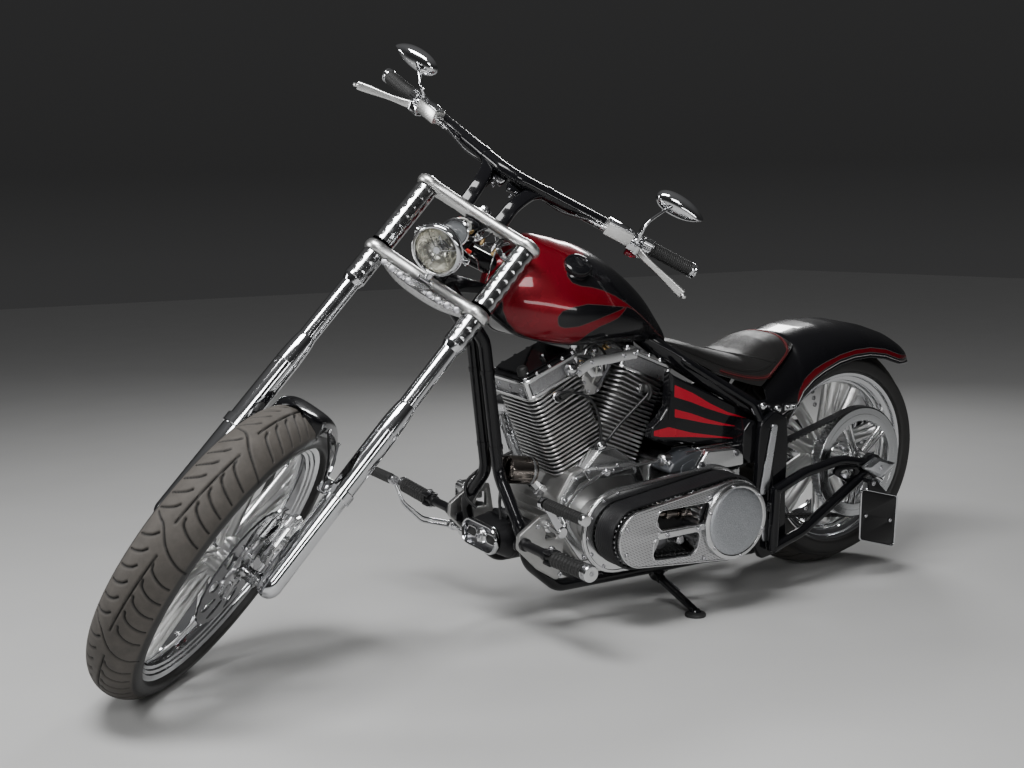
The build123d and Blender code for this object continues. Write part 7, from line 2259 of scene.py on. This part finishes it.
def toe_peg(p0, p1, r, m="rubber"):
    p0, p1 = A(*p0), A(*p1)
    d = unit(p1 - p0)
    L = float(np.linalg.norm(p1 - p0))
    prof = [(0, 0), (0, r * 0.72), (2, r * 0.8)]
    a = 5.0
    while a < L - 16:
        prof += [(a, r * 0.82), (a + 1.2, r), (a + 5.2, r), (a + 6.4, r * 0.82)]
        a += 9.2
    prof += [(L - 14, r * 0.84), (L - 14, 0)]
    g.add(knurl(prof, p0, d, 84, 12, 0.05, 4, L - 16), m)
    g.add(lathe([(L - 14.4, r * 0.7), (L - 14, r * 0.96), (L - 12, r), (L - 3, r), (L - 0.8, r * 0.9), (L, r * 0.6), (L, 0)], p0, d, 40), "polished")


# left: chrome shift lever
g.add(lathe([(172, 0), (172, 14), (176, 15), (186, 15), (190, 10), (226, 10), (228, 14), (243, 14), (245, 11), (245, 0)], A(1040, 0, 300), YAX, 32), "polished")
lever = smooth_path([(1038, 236, 300), (1052, 239, 318), (1072, 242, 345), (1090, 247, 368), (1100, 250, 382)], 8)
sec = round2([(-3.6, -10), (3.6, -10), (3.6, 10), (-3.6, 10)], 2.6, 4)
g.add(sweep(lever, np.linspace(1.0, 0.85, len(lever)), section=sec, up=YAX), "chrome")
g.add(lathe([(-6, 0), (-6, 13), (-4, 15), (5, 15), (7, 13), (7, 0)], A(1101, 248, 382), YAX, 36), "chrome")
toe_peg((1100, 258, 382), (1100, 420, 382), 14)
g.add(sweep(smooth_path([(1040, 236, 300), (1028, 232, 312), (1034, 224, 332)], 8), 5.5, 14), "chrome")
g.add(lathe([(-6, 0), (-6, 8), (6, 8), (6, 0)], A(1034, 222, 332), YAX, 20), "bolt_steel")

# right: brake lever of two rods with a steel boss, and the master cylinder block
g.add(lathe([(172, 0), (172, 15), (178, 16), (190, 16), (194, 10), (238, 10), (240, 14), (254, 14), (256, 0)], A(1060, 0, 196), -YAX, 32), "polished")
for dz, dx in ((5.2, -2.0), (-5.2, 2.0)):
    pth = fillet_path([(1060 + dx, -247, 196 + dz), (1150 + dx, -252, 222 + dz), (1200 + dx * 0.6, -262, 270 + dz * 0.6), (1219, -281, 330)], [40, 40], 12)
    g.add(sweep(pth, 3.6, 16), "chrome")
g.add(lathe([(-10, 0), (-10, 11), (-8, 12.5), (8, 12.5), (10, 11), (10, 0)], A(1220, -279, 333), unit((-0.1, -0.98, -0.07)), 36), "bolt_steel")
toe_peg((1220, -288, 333), (1204, -440, 322), 14)
g.add(sweep(np.array([A(1046, -212, 200), A(1010, -206, 236)]), 5.5, 14), "bolt_steel")
g.add(chamfer(rbox(A(1040, -196, 300), (62, 44, 40), 0), 5, 3), "polished")
g.add(chamfer(rbox(A(1040, -196, 322), (54, 38, 8), 0), 2.5, 3), "polished")
for sx in (-19, 19):
    for sz in (-12, 12):
        g.add(bolt(A(1040 + sx, -196 + sz, 326), A(0, 0, 1), 3.6, 2.6), "bolt_steel")
g.add(rbox(A(1060, -176, 250), (18, 10, 92), 2.5, 3), "polished")
g.add(lathe([(0, 0), (0, 17), (4, 19), (46, 19), (50, 14), (78, 14), (80, 10), (80, 0)], A(1050, -196, 262), unit((-1, 0, -0.28)), 36), "satin_black")
g.add(lathe([(0, 0), (0, 8), (12, 8), (14, 11), (26, 11), (28, 6), (28, 0)], A(1052, -196, 262), unit((1, 0, 0.1)), 24), "bolt_steel")
g.add(sweep(smooth_path([(972, -196, 240), (950, -190, 236), (936, -178, 220), (930, -160, 190), (905, -150, 160), (860, -150, 150)], 8), 3.6, 12), "wire_black")
piece("foot_controls_skin", g, "chassis", replaces="foot_controls", angle=30)

# ------------------------------------------------------------------ seat
SEAT_CUT_R = 443.4
SR = A(*[c for r in ((596, 690, 702, 38, 7), (586, 684, 702, 50, 9), (560, 668, 699, 66, 15), (530, 650, 693, 78, 20), (500, 634, 685, 88, 24), (470, 618, 676, 98, 28), (441, 604, 668, 107, 32), (400, 588, 657, 118, 38), (367, 578, 652, 125, 42), (340, 571, 657, 130, 45), (319, 567, 665, 133, 48), (295, 567, 675, 135, 50), (269, 572, 685, 135, 52), (245, 580, 690, 133, 52), (225, 588, 692, 130, 50), (208, 598, 691, 126, 46), (196, 612, 689, 119, 38), (189, 632, 685, 110, 28)) for c in r]).reshape(-1, 5)
nU, nV = 84, 96
xs_ = np.linspace(SR[0, 0], SR[-1, 0], nU)
ord_ = np.argsort(SR[:, 0])
row_ = [np.interp(xs_, SR[ord_, 0], SR[ord_, k]) for k in range(1, 5)]
top_, sds = [], []
for i, x in enumerate(xs_):
    zl, zt, w, c = (r[i] for r in row_)
    dish = 4.0 * math.exp(-((x - 405) / 90.0) ** 2)
    pts = []
    for j in range(nV):
        p = j / (nV - 1) * math.pi
        cx, sx = math.cos(p), math.sin(p)
        yv = w * abs(cx) ** (2 / 2.6) * (1 if cx >= 0 else -1)
        hv = abs(sx) ** (2 / 2.5)
        z = zl + (zt - zl) * hv - dish * math.exp(-(yv / 55.0) ** 2)
        # stay on the outside of the fender
        r = math.hypot(x, z - 270.0)
        if r < SEAT_CUT_R and x < 420:
            ang = math.atan2(z - 270.0, x)
            x2, z2 = SEAT_CUT_R * math.cos(ang), 270.0 + SEAT_CUT_R * math.sin(ang)
            pts.append(A(x2, yv, z2))
        else:
            pts.append(A(x, yv, z))
    top_.append(pts)
P = np.array(top_)
g = Geo()
V, F = grid(P)
g.add((V, F), "leather")
# underside plate and closed ends
for e in (P[0], P[-1]):
    g.add((np.array(e), [tuple(range(len(e)))]), "leather")
und = np.stack([P[:, 0] + A(0, -2, 1.5), (P[:, 0] + P[:, -1]) / 2 + A(0, 0, 4), P[:, -1] + A(0, 2, 1.5)], 1)
g.add(grid(und), "satin_black")
seat_mesh = g
seat_ob = piece("seat_cushion", g, "chassis", replaces="seat", angle=60)

# seams, red piping and stitches that lie on the cushion
g = Geo()


def seat_at(u, v):
    """u along (0 front, 1 rear), v around (0 left edge, 1 right edge)."""
    a, b = u * (nU - 1), v * (nV - 1)
    i, j = min(int(a), nU - 2), min(int(b), nV - 2)
    s, t_ = a - i, b - j
    return (P[i, j] * (1 - s) + P[i + 1, j] * s) * (1 - t_) + (P[i, j + 1] * (1 - s) + P[i + 1, j + 1] * s) * t_


def seat_n(u, v):
    e = 0.004
    a = seat_at(min(u + e, 1), v) - seat_at(max(u - e, 0), v)
    b = seat_at(u, min(v + e, 1)) - seat_at(u, max(v - e, 0))
    n_ = np.cross(b, a)
    n_ = n_ / (np.linalg.norm(n_) + 1e-9)
    cen = A(seat_at(u, v)[0], 0, 600)
    return n_ if n_ @ (seat_at(u, v) - cen) > 0 else -n_


def on_seat(uv, lift):
    return np.array([seat_at(u, v) + seat_n(u, v) * lift for u, v in uv])


def seam(uv, mat_cord="piping_red", r=2.1, stitches=True):
    pth = on_seat(uv, r * 0.45)
    g.add(sweep(pth, r, 10, dome=1), mat_cord)
    if stitches:
        fine = on_seat(uv, 0.4)
        cum = np.concatenate([[0], np.cumsum(np.linalg.norm(np.diff(fine, axis=0), axis=1))])
        for off in (-1, 1):
            k = int(cum[-1] / 6.4)
            for q in range(k):
                s0_, s1_ = (q + 0.15) * cum[-1] / k, (q + 0.75) * cum[-1] / k
                pa = A(*[np.interp(s0_, cum, fine[:, c]) for c in range(3)])
                pb = A(*[np.interp(s1_, cum, fine[:, c]) for c in range(3)])
                uu = np.interp(s0_, cum, np.arange(len(uv)))
                ii = int(uu)
                nn = seat_n(*uv[min(ii, len(uv) - 1)])
                tt = unit(pb - pa)
                sd_ = np.cross(nn, tt) * 5.0 * off
                g.add(sweep(np.array([pa + sd_ - nn * 0.2, (pa + pb) / 2 + sd_ + nn * 0.55, pb + sd_ - nn * 0.2]), 0.55, 6), "stitch" if mat_cord == "piping_red" else "stitch_black")


def u_of(x):
    return float(np.interp(-x, -xs_, np.linspace(0, 1, nU)))


# piping low along each side and around the rear lobe, from the measured outline
LOWP = [(450, 0.030), (430, 0.034), (405, 0.040), (375, 0.046), (340, 0.052), (310, 0.056), (280, 0.062), (250, 0.085), (230, 0.13), (218, 0.20), (211, 0.28), (206, 0.37), (204, 0.44), (203.5, 0.5)]
uvL = [(u_of(x), v) for x, v in LOWP]
full_uv = uvL + [(u, 1 - v) for u, v in uvL[::-1][1:]]
fine_uv = [tuple(q[:2]) for q in smooth_path([(u, v, 0) for u, v in full_uv], 10)]
seam(fine_uv)
# crease across the dish where the rear lobe begins, and the lower skirt seam
CR = [(262, 0.12), (290, 0.17), (322, 0.25), (348, 0.33), (364, 0.41), (368, 0.5)]
uvC = [(u_of(x), v) for x, v in CR]
full_c = uvC + [(u, 1 - v) for u, v in uvC[::-1][1:]]
seam([tuple(q[:2]) for q in smooth_path([(u, v, 0) for u, v in full_c], 10)], "leather", 1.5, True)
for sgn in (0, 1):
    SK = [(588, 0.10), (540, 0.10), (480, 0.10), (420, 0.105), (360, 0.115), (310, 0.13), (270, 0.16)]
    seam([tuple(q[:2]) for q in smooth_path([(u_of(x), v if sgn == 0 else 1 - v, 0) for x, v in SK], 10)], "leather", 1.3, True)
piece("seat_seams", g, "chassis", angle=50)

# ------------------------------------------------------------------ side stand
g = Geo()
PV, PVD = A(657, 122, 96), unit((-0.18021259, 0.52285987, 0.83315124))
inv_R, inv_S = R_ROW.T, SHIFT


def bike(p):
    return (np.asarray(p, float) - SHIFT) @ R_ROW


P0r = PV @ R_ROW.T + SHIFT
F0r = A(640, 266, 22) @ R_ROW.T + SHIFT
foot_c = A(F0r[0], F0r[1], 0)
g.add(lathe([(-10, 0), (-10, 14.5), (-8.5, 16.8), (-4, 17), (4, 17), (8.5, 16.8), (10, 14.5), (10, 0)], PV, PVD, 44), "frame_black")
ends = [PV + PVD * 0, bike(A(F0r[0], F0r[1], 13))]
dv = unit(ends[1] - ends[0])
sd_ = unit(np.cross(dv, A(1, 0, 0)))
Ls = float(np.linalg.norm(ends[1] - ends[0]))
bend = [ends[0] + dv * 4, ends[0] + dv * (Ls * 0.25), ends[0] + dv * (Ls * 0.6), ends[0] + dv * (Ls * 0.86), ends[1]]
g.add(sweep(smooth_path(bend, 6), np.linspace(11.0, 9.6, 25), 24), "gloss_black")
g.add(lathe([(0, 12.0), (1, 13), (6, 13), (7, 12.0)], ends[0] + dv * 16, dv, 28), "frame_black")
up_ = R_ROW.T @ A(0, 0, 1)
fr = bike(foot_c)
g.add(lathe([(0.05, 0), (0.05, 25.5), (1.2, 26.8), (5, 27), (8, 26), (10.5, 22), (12, 16), (12, 0)], fr, up_, 48), "rubber")
g.add(lathe([(11.5, 16), (14, 14.5), (17, 12), (19, 10)], fr, up_, 36), "frame_black")
# return spring beside the leg
s0_, s1_ = ends[0] + dv * 6 + sd_ * 0 + A(-15, -2, -4), ends[0] + dv * 84 + A(-13, 0, 0)
sd2 = unit(s1_ - s0_)
e1, e2, _ = basis(sd2)
Lsp = float(np.linalg.norm(s1_ - s0_))
hel = np.array([s0_ + sd2 * (8 + (Lsp - 16) * k / 300) + (e1 * math.cos(k * 0.419) + e2 * math.sin(k * 0.419)) * 4.4 for k in range(301)])
g.add(sweep(hel, 1.1, 7), "chrome")
g.add(sweep(np.array([s0_, s0_ + sd2 * 5, s0_ + sd2 * 9 + e1 * 3.5]), 1.2, 8), "chrome")
g.add(sweep(np.array([s1_ - sd2 * 9 + e1 * 3.5, s1_ - sd2 * 5, s1_, s1_ + A(10, 0, 0)]), 1.2, 8), "chrome")
g.add(lathe([(-3, 0), (-3, 3.6), (7, 3.6), (8, 5), (10, 5), (10, 0)], ends[0] + dv * 84, A(-1, 0, 0), 16), "bolt_steel")
piece("side_stand_skin", g, "side_stand", replaces="side_stand", angle=32)

# ------------------------------------------------------------------ number plate, blank, with its wire frame
g = Geo()
Q = [(90, 291), (-54, 251), (-54, 104), (86, 146)]
o = round2(Q, 10, 6)
ux, uz = 0.9634, 0.2681
hc = (17, 198)
holes = [circle2(hc[0] + ux * k, hc[1] + uz * k, 3.5, 20) for k in (50, -50)]
g.add(side([o] + holes, 283.2, 286.6, 1.0, 2), "plate_black")
lip = np.array([A(p[0], 287.0, p[1]) for p in round2([(x * 0.985 + 17 * 0.015, z * 0.985 + 198 * 0.015) for x, z in Q], 10, 8)])
g.add(sweep(lip, 2.3, 10, closed=True), "chrome")
for k in (50, -50):
    g.add(bolt(A(hc[0] + ux * k, 287.0, hc[1] + uz * k), YAX, 6, 3.6, dome=True), "bolt_steel")
    g.add(hexnut(A(hc[0] + ux * k, 276.6, hc[1] + uz * k), -YAX, 6, 4), "bolt_steel")
PB = [(60, 306), (30, 306), (-20, 262), (20, 200), (50, 240)]
g.add(side([round2(PB, 8, 6)], 277.3, 283.0, 1.6, 2), "frame_black")
g.add(sweep(np.array([A(40, 250, 300), A(40, 279, 300)]), 6, 18), "frame_black")
g.add(bolt(A(40, 283, 298), YAX, 7, 2.6), "bolt_steel")
g.add(sweep(smooth_path([(44, 279, 296), (58, 280, 270), (56, 281, 236), (70, 282, 200), (66, 283, 176)], 8), 3.4, 12), "chrome")
piece("number_plate_skin", g, "chassis", replaces="number_plate", angle=30)

# ------------------------------------------------------------------ rear caliper, right side
g = Geo()
RC = [(128, 300), (150, 372), (104, 400), (70, 330)]
for y0, y1 in ((-196, -171), (-149, -140)):
    g.add(side([round2(RC, 9, 6)], y0 + 0.4, y1 - 0.4, 3.0, 3), "polished")
g.add(side([round2([(150, 372), (104, 400), (96, 386), (132, 362), (112, 306), (128, 300)], 5, 5)], -172, -148, 1.5, 2), "polished")
for (x, z) in ((128, 322), (138, 366), (106, 386)):
    g.add(bolt(A(x, -195.4, z), -YAX, 5.4, 5), "bolt_steel")
for (x, z) in ((112, 346), (122, 372)):
    g.add(lathe([(0, 14), (2, 15), (4, 13), (5, 9), (4.5, 0)], A(x, -195.2, z), -YAX, 32), "cast_bright")
g.add(sweep(np.array([A(110, -195, 350), A(110, -216, 351.6)]), 11.8, 24), "steel")
g.add(hexnut(A(132, -178, 398), A(0.3, 0, 1), 6, 7), "brass")
g.add(sweep(smooth_path([(134, -178, 404), (150, -186, 410), (200, -206, 384), (262, -216, 352), (330, -196, 330), (390, -170, 250), (440, -150, 200)], 8), 3.2, 10), "wire_black")
piece("rear_caliper_skin", g, "chassis", replaces="rear_brake_caliper", angle=30)


# ------------------------------------------------------------------ camera
def rz(v, deg):
    a = math.radians(deg)
    return A(v[0] * math.cos(a) - v[1] * math.sin(a), v[0] * math.sin(a) + v[1] * math.cos(a), v[2])


CAM_H, CAM_B, CAM_PSI, CAM_ROLL, CAM_P = 1.0318, (0.8557, 3.9814), 212.27, 1.0604, 7.130
cam_pos = rz(A(-CAM_B[0], -CAM_B[1], CAM_H), -CAM_PSI) + A(SHIFT[0] / 1000, SHIFT[1] / 1000, 0)
pp, rl = math.radians(CAM_P), math.radians(CAM_ROLL)
right, fwd, up = A(1, 0, 0), A(0, math.cos(pp), -math.sin(pp)), A(0, math.sin(pp), math.cos(pp))
right2 = math.cos(rl) * right - math.sin(rl) * up
up2 = math.sin(rl) * right + math.cos(rl) * up
right2, up2, fwd2 = (rz(v, -CAM_PSI) for v in (right2, up2, fwd))
cam_data = bpy.data.cameras.new("camera")
cam_data.lens, cam_data.sensor_width = 48.476, 36.0
cam_data.clip_start, cam_data.clip_end = 0.05, 100.0
cam = bpy.data.objects.new("camera", cam_data)
scene.collection.objects.link(cam)
M = Matrix.Identity(4)
for i in range(3):
    M[i][0], M[i][1], M[i][2], M[i][3] = float(right2[i]), float(up2[i]), float(-fwd2[i]), float(cam_pos[i])
cam.matrix_world = M
scene.camera = cam

# ------------------------------------------------------------------ studio
world = bpy.data.worlds.new("studio")
scene.world = world
world.use_nodes = True
wt = world.node_tree
wt.nodes.clear()
wo = wt.nodes.new("ShaderNodeOutputWorld")
wb = wt.nodes.new("ShaderNodeBackground")
tc = wt.nodes.new("ShaderNodeTexCoord")
sep = wt.nodes.new("ShaderNodeSeparateXYZ")
rmp = wt.nodes.new("ShaderNodeValToRGB")
wt.links.new(tc.outputs["Generated"], sep.inputs[0])
mr = wt.nodes.new("ShaderNodeMapRange")
for i, x in enumerate((-1.0, 1.0, 0.0, 1.0)):
    mr.inputs[i + 1].default_value = x
wt.links.new(sep.outputs[2], mr.inputs[0])
wt.links.new(mr.outputs[0], rmp.inputs[0])
el = rmp.color_ramp.elements
while len(el) < 5:
    el.new(0.5)
for e, (p, c) in zip(el, ((0.0, 0.55), (0.485, 0.16), (0.515, 0.11), (0.64, 0.14), (1.0, 0.65))):
    e.position, e.color = p, (c, c, c * 1.01, 1)
wt.links.new(rmp.outputs[0], wb.inputs[0])
wb.inputs[1].default_value = 0.22
wt.links.new(wb.outputs[0], wo.inputs[0])


def softbox(name, pos, target, sx, sy, power, color=(1, 1, 1)):
    li = bpy.data.lights.new(name, "AREA")
    li.shape, li.size, li.size_y, li.energy, li.color = "RECTANGLE", sx, sy, power, color
    ob = bpy.data.objects.new(name, li)
    scene.collection.objects.link(ob)
    ob.location = pos
    d = Vector(target) - Vector(pos)
    ob.rotation_euler = d.to_track_quat("-Z", "Y").to_euler()
    return ob


lights = [
    softbox("key", (1.6, 1.0, 3.6), (0.0, 0.0, 0.5), 2.0, 1.0, 170),
    softbox("fill", (1.9, 3.6, 2.6), (0.2, 0.0, 0.5), 1.2, 0.8, 46),
    softbox("front", (3.6, -1.4, 2.0), (0.4, 0.0, 0.6), 0.8, 1.4, 56),
    softbox("rim", (-2.6, -2.4, 2.6), (0.0, 0.0, 0.6), 1.0, 0.5, 52),
    softbox("strip", (0.6, 3.4, 0.9), (0.2, 0.0, 0.5), 2.4, 0.22, 16),
]

# pale plain floor
fl = NT("floor")
n1 = fl.noise(3.0, 4.0, 0.5)
n2 = fl.noise(220.0, 3.0, 0.5)
fl.set(color=fl.mix(n1, (0.44, 0.44, 0.435), (0.48, 0.48, 0.475)), rough=fl.map(n2, 0.3, 0.7, 0.52, 0.62), normal=fl.bump(n2, 0.04, 0.0004))
fv, ff = grid(np.array([[A(x, y, 0.0) for y in np.linspace(-14, 14, 15)] for x in np.linspace(-14, 14, 15)]))
fm = bpy.data.meshes.new("floor")
fm.from_pydata(fv.tolist(), [], [tuple(reversed(f)) for f in ff])
fm.materials.append(MATS["floor"])
floor = bpy.data.objects.new("floor", fm)
scene.collection.objects.link(floor)
